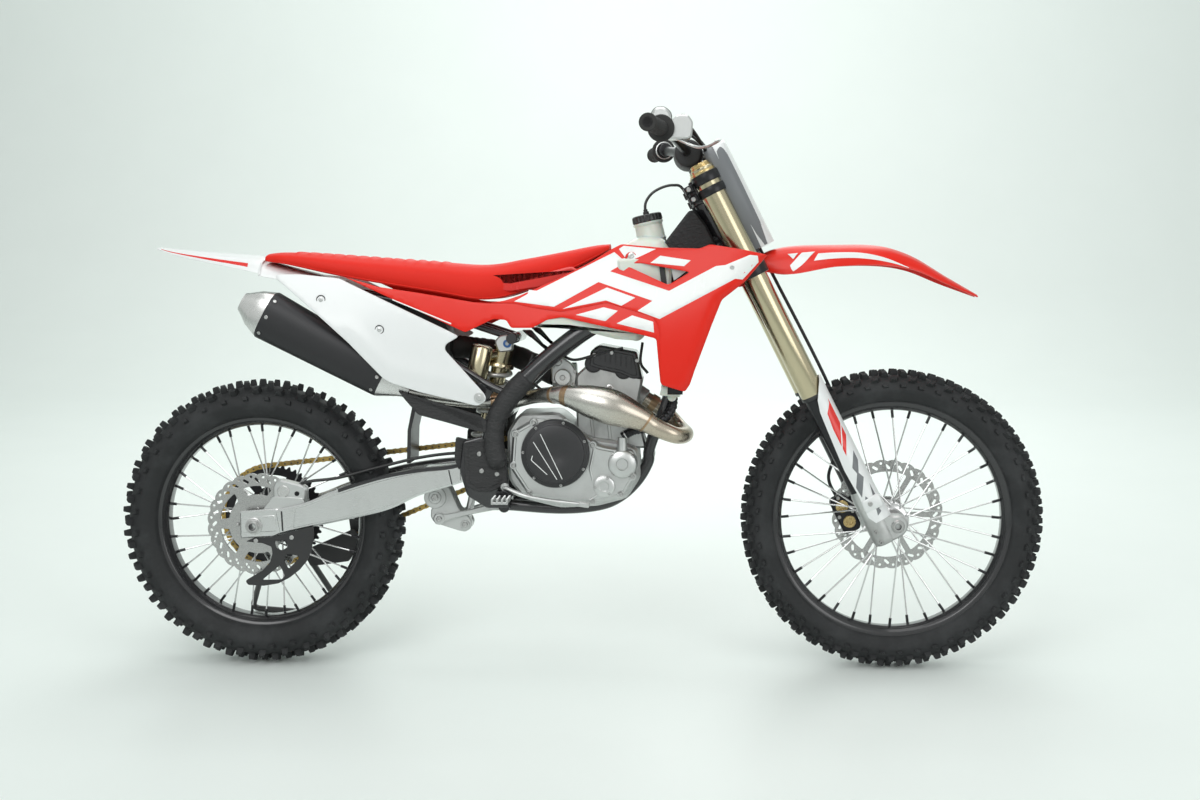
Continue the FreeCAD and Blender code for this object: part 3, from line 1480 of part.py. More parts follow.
peg_shares = (1.054, 0.858)
peg_bracket_radius = 7.0
pedal_radius = 7.0
pedal_shares = [(1.055, 0.905), (1.18, 0.86), (1.40, 0.83)]
pedal_y = 146.0


def foot_controls():
    """Pegs on their brackets, brake pedal on the right and shift lever on the left."""
    face = arm_inner_y + arm_wall + pivot_plate_wall + seat_gap * 2
    outer = face + peg_length * 1.5
    peg_x, peg_z = pivot_outline([peg_shares])[0]
    peg = Part.makeBox(peg_width, peg_length, peg_height,
                       V(peg_x - peg_width / 2, -outer, peg_z - peg_height / 2))
    bracket = across(peg_x, peg_z, -outer + peg_length * 0.9, -face, peg_bracket_radius, frame_sides)
    right = joined([peg, bracket])
    (root_x, root_z), (knee_x, knee_z), (toe_x, toe_z) = pivot_outline(pedal_shares)
    pedal = tube([V(root_x, -face, root_z), V(root_x, -face - pedal_radius * 2, root_z),
                  V(knee_x, -pedal_y, knee_z), V(toe_x, -pedal_y, toe_z)], pedal_radius, thin_sides)
    return Part.makeCompound([right, flipped(right), pedal, flipped(pedal)])


peg_width = 38.0
peg_height = 13.0
frame_guard_shares = [(0.89, 1.11), (0.975, 1.12), (0.99, 1.10), (1.045, 1.03), (1.05, 0.945),
                      (0.94, 0.88), (0.895, 0.93)]
disc_guard_shares = [(0.0, 0.6465), (0.08, 0.6493), (0.20, 0.6893), (0.25, 0.7024), (0.24, 0.58),
                     (0.19, 0.49), (0.10, 0.425), (-0.03, 0.415),
                     (-0.04, 0.44), (0.08, 0.57)]
disc_guard_wall = 4.0
guide_wall = 4.0
guide_gap = 2.0
guide_plate_shares = [(0.135, 0.524), (0.166, 0.447), (0.333, 0.474), (0.402, 0.576), (0.395, 0.7398),
                      (0.325, 0.7218),
                      (0.335, 0.62)]
guide_cheek_shares = [(0.135, 0.524), (0.166, 0.447), (0.333, 0.474), (0.402, 0.576), (0.36, 0.64)]
guide_foot_shares = [(0.166, 0.447), (0.333, 0.474), (0.402, 0.576), (0.385, 0.574), (0.325, 0.49),
                     (0.168, 0.465)]


def frame_guards():
    """Textured guards over the pivot plates."""
    face = arm_inner_y + arm_wall + pivot_plate_wall + seat_gap * 2
    guard = plate(pivot_outline(frame_guard_shares), -face - panel_wall, -face)
    return both(guard)


def swingarm_guards():
    """Disc guard under the right arm and chain guide under the left one."""
    outside = arm_inner_y + arm_wall
    disc_guard = plate(pivot_outline(disc_guard_shares), -outside, disc_guard_wall - outside)
    inner = chain_y - chain_half_width - guide_gap
    outer = chain_y + chain_half_width + guide_gap
    guide = joined([plate(pivot_outline(guide_plate_shares), outer, outer + guide_wall),
                    plate(pivot_outline(guide_cheek_shares), inner - guide_wall, inner),
                    plate(pivot_outline(guide_foot_shares), inner - guide_wall, outer + guide_wall)])
    return Part.makeCompound([disc_guard, guide])


def build():
    """Every node by name, drawn upright."""
    rear_hub = hub(rear_centre, rear_flange_radius, rear_flange_y, rear_hub_half,
                   chain_y + sprocket_thickness / 2,
                   axle_radius + running_gap, rear_bead_radius - rim_well_depth - rim_wall,
                   rear_rim_half_width * nipple_share)
    front_hub = hub(front_centre, front_flange_radius, front_flange_y, front_hub_half,
                    front_disc_y + disc_thickness,
                    front_axle_radius + running_gap, front_bead_radius - rim_well_depth - rim_wall,
                    front_rim_half_width * nipple_share)
    right_shroud = shroud()
    right_panel = side_panel()
    return {
        "main_frame": main_frame(),
        "frame_guards": frame_guards(),
        "engine": engine(),
        "clutch_cover": clutch_cover(),
        "side_covers": side_covers(),
        "head_cover": head_cover(),
        "intake": intake(),
        "exhaust_header": exhaust_header(),
        "muffler": muffler(),
        "tank": tank(),
        "tank_cap": tank_cap(),
        "seat": seat(),
        "shroud_right": right_shroud,
        "shroud_left": flipped(right_shroud),
        "cooling": cooling(),
        "side_panel_right": right_panel,
        "side_panel_left": flipped(right_panel),
        "rear_fender": rear_fender(),
        "airbox": airbox(),
        "swingarm": swingarm(),
        "swingarm_guards": swingarm_guards(),
        "shock": shock(),
        "linkage": linkage(),
        "rear_caliper": rear_caliper(),
        "chain": chain(),
        "foot_controls": foot_controls(),
        "rear_axle": rear_axle(),
        "stand": stand(),
        "triple_clamps": triple_clamps(),
        "fork_tubes": fork_tubes(),
        "fork_lowers": fork_lowers(),
        "fork_guards": fork_guards(),
        "front_fender": front_fender(),
        "number_plate": number_plate(),
        "handlebar": handlebar(),
        "bar_controls": bar_controls(),
        "front_brake": front_brake(),
        "front_axle": front_axle(),
        "rear_tyre": tyre(rear_centre, rear_tyre_radius, rear_tyre_half_width, rear_lug_height,
                          rear_pitches,
                          rear_centre_half, rear_bead_radius + rim_flange),
        "rear_rim": rim(rear_centre, rear_bead_radius, rear_rim_half_width),
        "rear_hub": rear_hub,
        "rear_brake_disc": brake_disc(rear_centre, rear_disc_y, rear_disc_radius),
        "rear_sprocket": sprocket(0, rear_axle_z, rear_teeth, hub_radius + seat_gap),
        "front_tyre": tyre(front_centre, front_tyre_radius, front_tyre_half_width, front_lug_height,
                           front_pitches,
                           front_centre_half, front_bead_radius + rim_flange),
        "front_rim": rim(front_centre, front_bead_radius, front_rim_half_width),
        "front_hub": front_hub,
        "front_brake_disc": brake_disc(front_centre, front_disc_y, front_disc_radius),
    }


def lean_over(shape):
    shape.rotate(V(0, 0, 0), V(1, 0, 0), -lean)
    return shape


def main():
    os.makedirs("parts", exist_ok=True)
    nodes = {name: lean_over(shape) for name, shape in build().items()}
    box = Part.makeCompound(list(nodes.values())).optimalBoundingBox(False, False)
    shift = V(-box.Center.x, -box.Center.y, 0)
    for name, shape in nodes.items():
        shape.translate(shift)
        shape.exportStep("parts/" + name + ".step")
        print(name, "solids", len(shape.Solids), "valid", shape.isValid(), "volume", round(shape.Volume))
    print("shift", shift, "box", box)


main()
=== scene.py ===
import json
import math
import bmesh
import bpy
import numpy as np
from mathutils import Matrix, Vector
from mathutils.geometry import delaunay_2d_cdt

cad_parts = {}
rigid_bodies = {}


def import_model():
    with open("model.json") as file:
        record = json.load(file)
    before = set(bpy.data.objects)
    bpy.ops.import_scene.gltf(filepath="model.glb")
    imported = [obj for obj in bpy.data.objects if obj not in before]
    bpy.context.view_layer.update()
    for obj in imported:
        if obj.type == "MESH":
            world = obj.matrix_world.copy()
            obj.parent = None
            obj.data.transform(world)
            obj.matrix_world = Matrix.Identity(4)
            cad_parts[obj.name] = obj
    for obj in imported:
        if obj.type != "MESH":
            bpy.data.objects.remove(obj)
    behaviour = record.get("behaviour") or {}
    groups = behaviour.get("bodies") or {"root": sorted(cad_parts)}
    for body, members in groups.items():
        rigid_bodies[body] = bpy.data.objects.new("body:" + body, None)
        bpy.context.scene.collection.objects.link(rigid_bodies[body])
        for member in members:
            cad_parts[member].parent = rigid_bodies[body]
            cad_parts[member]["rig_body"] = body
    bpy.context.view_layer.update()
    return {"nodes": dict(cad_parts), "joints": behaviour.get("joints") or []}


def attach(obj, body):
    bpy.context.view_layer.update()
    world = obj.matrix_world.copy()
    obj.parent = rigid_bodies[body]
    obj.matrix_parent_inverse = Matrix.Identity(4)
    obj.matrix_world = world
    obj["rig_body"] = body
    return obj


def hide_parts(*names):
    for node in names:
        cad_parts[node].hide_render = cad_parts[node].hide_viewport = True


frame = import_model()
joints = {j["name"]: j for j in frame["joints"]}
print("frame loaded:", len(frame["nodes"]), "nodes")

# Places are drawn upright in mm, x forward from the rear axle, y to the left, z up, and then leaned
mm = 0.001
tau = 2 * math.pi
toRight, toLeft = (0, -1, 0), (0, 1, 0)
rearWorld = np.array(joints["rear_wheel_spin"]["pos_m"])
leanCos, leanSin = joints["rear_wheel_spin"]["axis"][1], -joints["rear_wheel_spin"]["axis"][2]
rearAxle = np.array([0.0, 0.0, 337.997])
leanRows = np.array([[1, 0, 0], [0, leanCos, leanSin], [0, -leanSin, leanCos]])


def toWorld(points):  # leaned place = rear axle + lean matrix times (point - drawn rear axle)
    return rearWorld + (np.asarray(points, float) - rearAxle) @ leanRows.T * mm


def toDrawn(points):  # the way back, from world metres to upright mm
    return (np.asarray(points, float) - rearWorld) @ leanRows / mm + rearAxle


frontAxle = toDrawn(joints["front_wheel_spin"]["pos_m"])
forkUp = leanRows.T @ np.array(joints["steering"]["axis"])
forkAhead = np.array([forkUp[2], 0.0, -forkUp[0]])
axleAhead = 60.0
forkFoot = frontAxle - axleAhead * forkAhead


def forkPoint(ahead, y, up):  # steering axis foot + ahead * forward + up * axis
    ahead, y, up = np.broadcast_arrays(np.asarray(ahead, float), y, up)
    return forkFoot + ahead[..., None] * forkAhead + y[..., None] * np.array([0, 1.0, 0]) + up[..., None] * forkUp


# Shapes: a patch is (points, faces), with the faces as arrays of point numbers

def grid(points, closeU=False, closeV=False, caps=False):  # quads between the rows U and columns V
    rows, cols = points.shape[:2]
    number = np.arange(rows * cols).reshape(rows, cols)
    if closeU:
        number = np.vstack([number, number[:1]])
    if closeV:
        number = np.hstack([number, number[:, :1]])
    quads = np.stack([number[:-1, :-1], number[1:, :-1], number[1:, 1:], number[:-1, 1:]], -1).reshape(-1, 4)
    faces = [quads]
    if caps:
        faces += [number[:1, :cols], number[-1:, :cols][:, ::-1]]
    return points.reshape(-1, 3), faces


def smoothPath(points, count):  # Catmull-Rom: cubic through the points, slopes half the neighbours' difference
    p = np.asarray(points, float)
    if len(p) == 2:
        return p[0] + np.linspace(0, 1, count)[:, None] * (p[1] - p[0])
    p = np.vstack([2 * p[0] - p[1], p, 2 * p[-1] - p[-2]])
    t = np.linspace(0, len(p) - 3, count)
    i = np.minimum(t.astype(int), len(p) - 4)
    f = (t - i)[:, None]
    a, b, c, d = p[i], p[i + 1], p[i + 2], p[i + 3]
    return b + 0.5 * f * (c - a + f * (2 * a - 5 * b + 4 * c - d + f * (3 * (b - c) + d - a)))


def angles(count, start=0.0):  # equal steps once round
    return start + np.linspace(0, tau, count, endpoint=False)


def tube(path, radius, sides=16, flat=1.0, closed=False):  # circle of radius carried along the path
    path = np.asarray(path, float)
    along = np.roll(path, -1, 0) - np.roll(path, 1, 0) if closed else np.gradient(path, axis=0)
    along /= np.linalg.norm(along, axis=1)[:, None]
    axes = np.eye(3)
    up = axes[np.argmin(np.abs(along @ axes).max(0))]
    side = np.cross(along, up)
    side /= np.linalg.norm(side, axis=1)[:, None]
    high = np.cross(side, along)
    turn = angles(sides)
    r = np.broadcast_to(np.asarray(radius, float), len(path))[:, None, None]
    ring = side[:, None] * np.cos(turn)[:, None] + high[:, None] * np.sin(turn)[:, None] * flat
    return grid(path[:, None] + r * ring, closeU=closed, closeV=True, caps=not closed)


def lathe(profile, centre, turns=96, axis=None, ring=False):
    # profile (along, radius) turned round an axis through the centre
    profile = np.asarray(profile, float)
    axis = np.array([0, 1.0, 0]) if axis is None else np.asarray(axis, float) / np.linalg.norm(axis)
    side = np.cross(axis, [0, 0, 1.0] if abs(axis[2]) < 0.9 else [1.0, 0, 0])
    side /= np.linalg.norm(side)
    high = np.cross(side, axis)
    turn = angles(turns)
    spoke = side * np.cos(turn)[:, None] + high * np.sin(turn)[:, None]
    points = np.asarray(centre, float) + profile[:, None, :1] * axis + profile[:, None, 1:] * spoke
    return grid(points, closeU=ring, closeV=True, caps=not ring)


def rounded(profile, bite):  # each corner of the outline cut by a short chord
    p = np.asarray(profile, float)
    before, after = np.roll(p, 1, 0) - p, np.roll(p, -1, 0) - p
    near, far = np.linalg.norm(before, axis=1)[:, None], np.linalg.norm(after, axis=1)[:, None]
    a = p + before * np.minimum(bite / near, 0.4)
    b = p + after * np.minimum(bite / far, 0.4)
    return np.stack([a, (a + b) / 4 + p / 2, b], 1).reshape(-1, 2)


def inset(outline, amount):  # every edge of a loop of (x, z) moved inwards by the amount
    p = np.asarray(outline, float)
    q = np.roll(p, -1, 0)
    area = np.sum(p[:, 0] * q[:, 1] - q[:, 0] * p[:, 1])
    edge = (q - p) / np.maximum(np.linalg.norm(q - p, axis=1), 1e-9)[:, None]
    normal = np.stack([-edge[:, 1], edge[:, 0]], 1) * np.sign(area)
    lean = normal + np.roll(normal, 1, 0)
    lean /= np.maximum(np.sum(lean * lean, axis=1), 0.5)[:, None] / 2
    return p + lean * amount


def smoothFlat(points, count):  # the same cubic through points of (x, z)
    points = np.asarray(points, float)
    return smoothPath(np.c_[points, np.zeros(len(points))], count)[:, :2]


def slab(outline, yFrom, yTo, edge=2.0):  # outline (x, z) carried along y, smaller by the edge at both ends
    low, high = min(yFrom, yTo), max(yFrom, yTo)
    small = inset(outline, edge)
    outline = np.asarray(outline, float)
    rows = [(small, low), (outline, low + edge), (outline, high - edge), (small, high)]
    points = np.stack([np.stack([o[:, 0], np.full(len(o), y), o[:, 1]], 1) for o, y in rows])
    return grid(points, closeV=True, caps=True)


def roundSlab(outline, bite, yFrom, yTo, edge=2.0):  # slab with rounded corners
    return slab(rounded(outline, bite), yFrom, yTo, edge)


def bolt(centre, axis, radius=6.0, height=4.0, sides=24):  # round head with a chamfer and a socket
    r, h = radius, height
    return lathe([(-1.0, r), (h * 0.7, r), (h, r * 0.8), (h, r * 0.45), (h * 0.4, r * 0.4)], centre, sides, axis)


def screws(places, y, radius, height, sides=24):  # bolts at each (x, z), facing away from the middle
    return [bolt((x, y, z), toRight if y < 0 else toLeft, radius, height, sides) for x, z in places]


def flatLoops(loops, yFrom, yTo, edge=0.6):  # a filled flat curve with holes, given a thickness along y
    curve = bpy.data.curves.new("outline", "CURVE")
    curve.dimensions = "2D"
    curve.fill_mode = "BOTH"
    curve.extrude = (abs(yTo - yFrom) / 2 - edge) * mm
    curve.bevel_depth = edge * mm
    curve.bevel_resolution = 0
    curve.offset = -edge * mm
    for loop in loops:
        spline = curve.splines.new("POLY")
        loop = np.asarray(loop, float)
        spline.points.add(len(loop) - 1)
        spline.points.foreach_set("co", np.c_[loop * mm, np.zeros(len(loop)), np.ones(len(loop))].ravel())
        spline.use_cyclic_u = True
    holder = bpy.data.objects.new("outline", curve)
    bpy.context.scene.collection.objects.link(holder)
    bpy.context.view_layer.update()
    mesh = bpy.data.meshes.new_from_object(holder.evaluated_get(bpy.context.evaluated_depsgraph_get()))
    bm = bmesh.new()
    bm.from_mesh(mesh)
    bmesh.ops.remove_doubles(bm, verts=bm.verts, dist=0.02 * mm)
    bmesh.ops.recalc_face_normals(bm, faces=bm.faces)
    points = np.array([v.co for v in bm.verts]) / mm
    faces = [np.array([[v.index for v in f.verts] for f in bm.faces if len(f.verts) == n]) for n in (3, 4)]
    bm.free()
    bpy.data.objects.remove(holder)
    bpy.data.curves.remove(curve)
    bpy.data.meshes.remove(mesh)
    return np.c_[points[:, 0], (yFrom + yTo) / 2 - points[:, 2], points[:, 1]], [f for f in faces if len(f)]


def circle(x, z, radius, count=24, start=0.0):  # points once round, counted from above
    a = angles(count, start)
    return np.c_[x + radius * np.sin(a), z + radius * np.cos(a)]


def ringOf(centre, radius, turns):  # places round a centre, the turn counted from above
    return [(centre[0] + radius * math.sin(t), centre[1] + radius * math.cos(t)) for t in turns]


def outward(patch):  # turned over where the volume sum of its faces is below zero
    points, faces = patch
    middle = points.mean(0)
    total = 0.0
    for f in faces:
        p = points[f] - middle
        for k in range(1, f.shape[1] - 1):
            total += np.einsum("ij,ij->i", p[:, 0], np.cross(p[:, k], p[:, k + 1])).sum()
    return points, [f if total >= 0 else f[:, ::-1] for f in faces]


def mirrored(patch):  # the same patch on the left side
    return patch[0] * np.array([1, -1.0, 1]), [f[:, ::-1] for f in patch[1]]


rightLeft = (("right", mirrored), ("left", lambda patch: patch))


def bothSides(patches):  # the right-hand patches with their mirror images
    return list(patches) + [mirrored(p) for p in patches]


def within(points, loops):  # even-odd rule: how many outline edges lie to the right of each point
    inside = np.zeros(len(points), bool)
    x, z = points[:, :1], points[:, 1:]
    for loop in loops:
        p, q = loop, np.roll(loop, -1, 0)
        rise = np.where(q[:, 1] == p[:, 1], 1e-9, q[:, 1] - p[:, 1])
        at = p[:, 0] + (z - p[:, 1]) * (q[:, 0] - p[:, 0]) / rise
        inside ^= (((p[:, 1] > z) != (q[:, 1] > z)) & (x < at)).sum(1) % 2 == 1
    return inside


def dense(loop, step):  # the outline with its points no further apart than the step
    p = np.asarray(loop, float)
    q = np.roll(p, -1, 0)
    n = np.maximum(1, np.ceil(np.linalg.norm(q - p, axis=1) / step).astype(int))
    i = np.repeat(np.arange(len(p)), n)
    f = (np.arange(n.sum()) - np.repeat(np.cumsum(n) - n, n)) / np.repeat(n, n)
    return p[i] + (q - p)[i] * f[:, None]


def nearest(points, others):  # distance from each point to the closest of the others
    return np.sqrt(((points[:, None] - others[None]) ** 2).sum(2).min(1))


def skin(loops, height, wall=3.0, step=9.0, edge=2.2, lift=0.0):
    # an outline with holes, filled with points, lifted to y = height(x, z), its rim rounded off by the edge
    loops = [dense(loop, step * 0.6) for loop in loops]
    fixed = np.vstack(loops)
    links = [(i + start, (i + 1) % len(loop) + start)
             for loop, start in zip(loops, np.cumsum([0] + [len(l) for l in loops])) for i in range(len(loop))]
    shares = (0.12, 0.4, 1.0)
    free = [inset(loop, edge * share * (1 if k == 0 else -1)) for k, loop in enumerate(loops) for share in shares]
    low, high = fixed.min(0), fixed.max(0)
    gx, gz = np.meshgrid(np.arange(low[0], high[0], step), np.arange(low[1], high[1], step))
    gx[::2] += step / 2
    middle = np.c_[gx.ravel(), gz.ravel()]
    middle = middle[nearest(middle, fixed) > edge + step * 0.4]
    ringed = [r[nearest(r, fixed) > edge * share * 0.8] for r, share in zip(free, shares * len(loops))]
    extra = np.vstack(ringed + [middle])
    extra = extra[within(extra, loops)]
    points = [Vector(q) for q in np.vstack([fixed, extra]).tolist()]
    out = delaunay_2d_cdt(points, links, [], 0, 1e-4)
    flat, tris = np.array([tuple(v) for v in out[0]]), np.array(out[2])
    tris = tris[within(flat[tris].mean(1), loops)]
    fine = np.vstack([dense(loop, 1.5) for loop in loops])
    near = np.clip(nearest(flat, fine) / max(edge, 1e-6), 0, 1)
    y = height(flat[:, 0], flat[:, 1]) + lift
    outer = y - edge * (1 - np.sqrt(1 - (1 - near) ** 2))
    count = len(flat)
    sides = tris[:, [0, 1, 1, 2, 2, 0]].reshape(-1, 2)
    key = np.sort(sides, 1) @ [count, 1]
    _, first, times = np.unique(key, return_index=True, return_counts=True)
    rim = sides[first[times == 1]]
    quads = np.c_[rim[:, 1], rim[:, 0], rim[:, 0] + count, rim[:, 1] + count]
    front = np.c_[flat[:, 0], outer, flat[:, 1]]
    back = np.c_[flat[:, 0], y - wall, flat[:, 1]]
    return np.vstack([front, back]), [tris, tris[:, ::-1] + count, quads]


def loft(sections, count):  # closed rings of points, joined by smooth lines from ring to ring
    return grid(sheet(sections, count)[0], closeV=True, caps=True)


def across(x, z, yFrom, yTo, radius, sides=48, bite=1.0):  # rounded bar across the machine
    low, high = min(yFrom, yTo), max(yFrom, yTo)
    return lathe([(low, radius - bite), (low + bite, radius), (high - bite, radius), (high, radius - bite)],
                 (x, 0, z), sides)


def piece(name, patches, finish, replaces=(), body="frame", slot=None, smooth=35.0, turn=True):
    # one mesh of the upright patches, faces turned outwards, then leaned; the slot argument is not used
    patches = [outward(p) for p in patches] if turn else patches
    count = np.cumsum([0] + [len(p[0]) for p in patches])
    points = toWorld(np.vstack([p[0] for p in patches]))
    faces = [f + start for (_, group), start in zip(patches, count) for f in group]
    loops = np.concatenate([f.ravel() for f in faces]).astype(np.int32)
    sizes = np.concatenate([np.full(len(f), f.shape[1]) for f in faces]).astype(np.int32)
    mesh = bpy.data.meshes.new(name)
    mesh.vertices.add(len(points))
    mesh.vertices.foreach_set("co", points.astype(np.float32).ravel())
    mesh.loops.add(len(loops))
    mesh.loops.foreach_set("vertex_index", loops)
    mesh.polygons.add(len(sizes))
    mesh.polygons.foreach_set("loop_start", np.concatenate([[0], np.cumsum(sizes)[:-1]]).astype(np.int32))
    mesh.update(calc_edges=True)
    mesh.validate()
    return dress(bpy.data.objects.new(name, mesh), finish, body, replaces, 0.0, smooth)


def steered(name, patches, finish, replaces=(), **more):  # a piece that turns with the steering
    return piece(name, patches, finish, replaces, "steering", **more)


def dress(thing, finish, body, replaces, bevel, smooth):  # finish, body and edges of one object
    if not thing.users_collection:
        bpy.context.scene.collection.objects.link(thing)
    thing.data.shade_smooth()
    thing.data.set_sharp_from_angle(angle=math.radians(smooth))
    thing.data.materials.clear()
    thing.data.materials.append(finish)
    if bevel:
        cut = thing.modifiers.new("bevel", "BEVEL")
        cut.width, cut.segments, cut.limit_method = bevel * mm, 2, "ANGLE"
        cut.angle_limit = math.radians(38)
        cut.harden_normals = True
    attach(thing, body)
    if replaces:
        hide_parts(*replaces)
    return thing


def softened(node, finish, bevel=1.2, smooth=38.0):  # merged copy of a CAD node with rounded edges
    source = frame["nodes"][node]
    mesh = source.data.copy()
    bm = bmesh.new()
    bm.from_mesh(mesh)
    bmesh.ops.remove_doubles(bm, verts=bm.verts, dist=0.02 * mm)
    bmesh.ops.dissolve_limit(bm, angle_limit=math.radians(1.0), verts=bm.verts, edges=bm.edges)
    bm.to_mesh(mesh)
    bm.free()
    mesh.name = node + "_look"
    thing = bpy.data.objects.new(node + "_look", mesh)
    body = source["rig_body"]
    return dress(thing, finish, body, [node], bevel, smooth)


# Finishes: a wire is one socket, and sums on wires add Math nodes

class Wire:
    def __init__(self, finish, socket):
        self.finish, self.socket = finish, socket

    def math(self, kind, other, swap=False):
        return self.finish.node("ShaderNodeMath", {"operation": kind}, [other, self] if swap else [self, other])

    def __add__(self, other):
        return self.math("ADD", other)

    def __rsub__(self, other):
        return self.math("SUBTRACT", other, True)

    def __mul__(self, other):
        return self.math("MULTIPLY", other)

    __radd__ = __add__
    __rmul__ = __mul__

    def over(self, edge, soft):  # 0 below the edge, 1 above it, a smooth step between
        return self.finish.node("ShaderNodeMapRange", {"interpolation_type": "SMOOTHSTEP"},
                                {"Value": self, "From Min": edge - soft, "From Max": edge + soft})


class Finish:
    def __init__(self, name, **constants):
        self.material = bpy.data.materials.new(name)
        self.material.use_nodes = True
        self.tree = self.material.node_tree
        self.shader = self.tree.nodes["Principled BSDF"]
        self.give(**constants)
        self.place = Wire(self, self.tree.nodes.new("ShaderNodeTexCoord").outputs["Object"])

    def give(self, **values):  # sets or links the shader's own sockets
        for key, value in values.items():
            socket = self.shader.inputs[key.replace("_", " ")]
            self.join(socket, value)

    def join(self, socket, value):  # links a wire, or sets a number or colour
        if isinstance(value, Wire):
            self.tree.links.new(value.socket, socket)
        elif hasattr(value, "__len__") and len(value) == 3 and len(socket.default_value) == 4:
            socket.default_value = (*value, 1.0)
        else:
            socket.default_value = value

    def node(self, kind, settings=None, values=(), out=0):  # a node with its settings and inputs; gives one output
        made = self.tree.nodes.new(kind)
        for key, value in (settings or {}).items():
            setattr(made, key, value)
        for key, value in values.items() if isinstance(values, dict) else enumerate(values):
            self.join(made.inputs[key], value)
        return Wire(self, made.outputs[out])

    def mix(self, share, first, second):  # colour = first + share * (second - first)
        made = self.tree.nodes.new("ShaderNodeMix")
        made.data_type = "RGBA"
        for socket, value in ((made.inputs[0], share), (made.inputs[6], first), (made.inputs[7], second)):
            self.join(socket, value)
        return Wire(self, made.outputs[2])

    def noise(self, scale, detail=3.0, rough=0.55, stretch=(1, 1, 1)):
        # noise over the object's own metres, its axes stretched
        at = self.node("ShaderNodeMapping", {"vector_type": "POINT"}, {"Vector": self.place, "Scale": stretch})
        values = {"Vector": at, "Scale": scale, "Detail": detail, "Roughness": rough}
        return self.node("ShaderNodeTexNoise", {}, values)

    def part(self, axis):  # one coordinate of the object, in metres
        return self.node("ShaderNodeSeparateXYZ", {}, [self.place], "XYZ".index(axis))

    def bump(self, height, strength=0.3, depth=0.001):  # tilts the normals by the slope of the height
        self.give(Normal=self.node("ShaderNodeBump", {}, {"Height": height, "Strength": strength, "Distance": depth}))


def plastic(name, colour, dust, roughness=0.28, grain=0.0, coat=0.35, **more):
    # moulded colour with faint swirls and scuffs
    f = Finish(name, Coat_Weight=coat, Coat_Roughness=0.12, **more)
    blotch = f.noise(9.0, 2.0)
    scuff = f.noise(70.0, 4.0, 0.7, (1, 1, 0.35)).over(0.64, 0.06)
    f.give(Base_Color=f.mix(blotch.over(0.55, 0.3) * 0.10 + scuff * 0.08, colour, dust))
    f.give(Roughness=roughness + scuff * 0.14 + blotch * 0.06)
    f.bump(f.noise(420.0 if grain else 60.0, 2.0) * (grain or 0.08) + blotch * 0.2, 0.25, 0.0006)
    return f.material


def metal(name, colour, shade, roughness=0.3, grain=0.3, stretch=(1, 1, 1), scale=260.0, metallic=1.0, dirt=0.0,
          **more):
    # grain drawn out along the brushing, darker in the grime
    f = Finish(name, **more)
    cloud = f.noise(14.0, 3.0)
    line = f.noise(scale, 3.0, 0.6, stretch)
    grime = cloud.over(0.58, 0.12) * dirt
    f.give(Base_Color=f.mix(line * 0.35 + cloud * 0.25, colour, shade) if not dirt else
           f.mix(grime, f.mix(line * 0.35 + cloud * 0.25, colour, shade), (0.09, 0.08, 0.07)))
    f.give(Roughness=roughness - 0.06 + line * 0.14 + grime * 0.3, Metallic=metallic - grime * 0.5)
    f.bump(line * grain + cloud * 0.15, 0.22, 0.0005)
    return f.material


def rubberFinish(name, colour=(0.012, 0.013, 0.014), dust=(0.042, 0.044, 0.046)):
    # dull black with patches of dust
    f = Finish(name, Specular_IOR_Level=0.4)
    cloud = f.noise(11.0, 4.0, 0.65)
    fine = f.noise(240.0, 3.0)
    f.give(Base_Color=f.mix(cloud.over(0.56, 0.14) * 0.55 + fine * 0.15, colour, dust))
    f.give(Roughness=0.52 + cloud * 0.25 + fine * 0.1)
    f.bump(fine * 0.5 + f.noise(900.0, 1.0) * 0.3, 0.35, 0.0006)
    return f.material


red = plastic("red_plastic", (0.74, 0.018, 0.008), (0.70, 0.05, 0.03), 0.26, 0.0, 0.06, Specular_IOR_Level=0.25)
seatRed = plastic("seat_cover", (0.72, 0.022, 0.012), (0.66, 0.045, 0.03), 0.48, 0.9, 0.0, Specular_IOR_Level=0.18)
stripeWhite = plastic("stripe_white", (0.80, 0.82, 0.81), (0.74, 0.76, 0.75), 0.22, 0.0, 0.3)
stripeRed = plastic("stripe_red", (0.70, 0.016, 0.010), (0.66, 0.04, 0.03), 0.22, 0.0, 0.3)
white = plastic("white_plastic", (0.78, 0.80, 0.80), (0.66, 0.68, 0.68), 0.26)
# black plastic, also lining the hollow axles as painted shade in their bores
blackPlastic = plastic("black_plastic", (0.018, 0.018, 0.019), (0.05, 0.05, 0.05), 0.42, 0.8, 0.1)
tankPlastic = plastic("tank_plastic", (0.70, 0.73, 0.66), (0.55, 0.56, 0.48), 0.32, 0.0, 0.2, Subsurface_Weight=0.25)
# grey plastic for the fork guard marks, and painted shade on the number plate's flanks
greyPlasticAndPaintedShade = plastic("grey_plastic_and_painted_shade", (0.16, 0.17, 0.18), (0.24, 0.25, 0.26), 0.4, 0.5, 0.1)
castAlloy = metal("cast_alloy", (0.60, 0.61, 0.60), (0.40, 0.41, 0.41), 0.42, 0.9, scale=520.0, dirt=0.25)
paleAlloy = metal("pale_alloy", (0.66, 0.67, 0.66), (0.46, 0.47, 0.47), 0.34, 0.6, scale=420.0, dirt=0.1)
brushed = metal("brushed_alloy", (0.74, 0.75, 0.74), (0.55, 0.56, 0.56), 0.24, 0.35, (1, 14, 14), 60.0, dirt=0.05)
blackAlloy = metal("black_alloy", (0.022, 0.022, 0.024), (0.045, 0.045, 0.048), 0.3, 0.3, metallic=0.7)
blackPaint = metal("black_paint", (0.016, 0.016, 0.018), (0.03, 0.03, 0.032), 0.22, 0.2, metallic=0.1,
                   Coat_Weight=0.5)
blackCoat = metal("black_coat", (0.03, 0.03, 0.032), (0.06, 0.06, 0.062), 0.45, 0.9, scale=500.0, metallic=0.4)
gold = metal("gold_anodised", (0.54, 0.48, 0.33), (0.48, 0.425, 0.285), 0.20, 0.04, (1, 1, 8), 260.0)
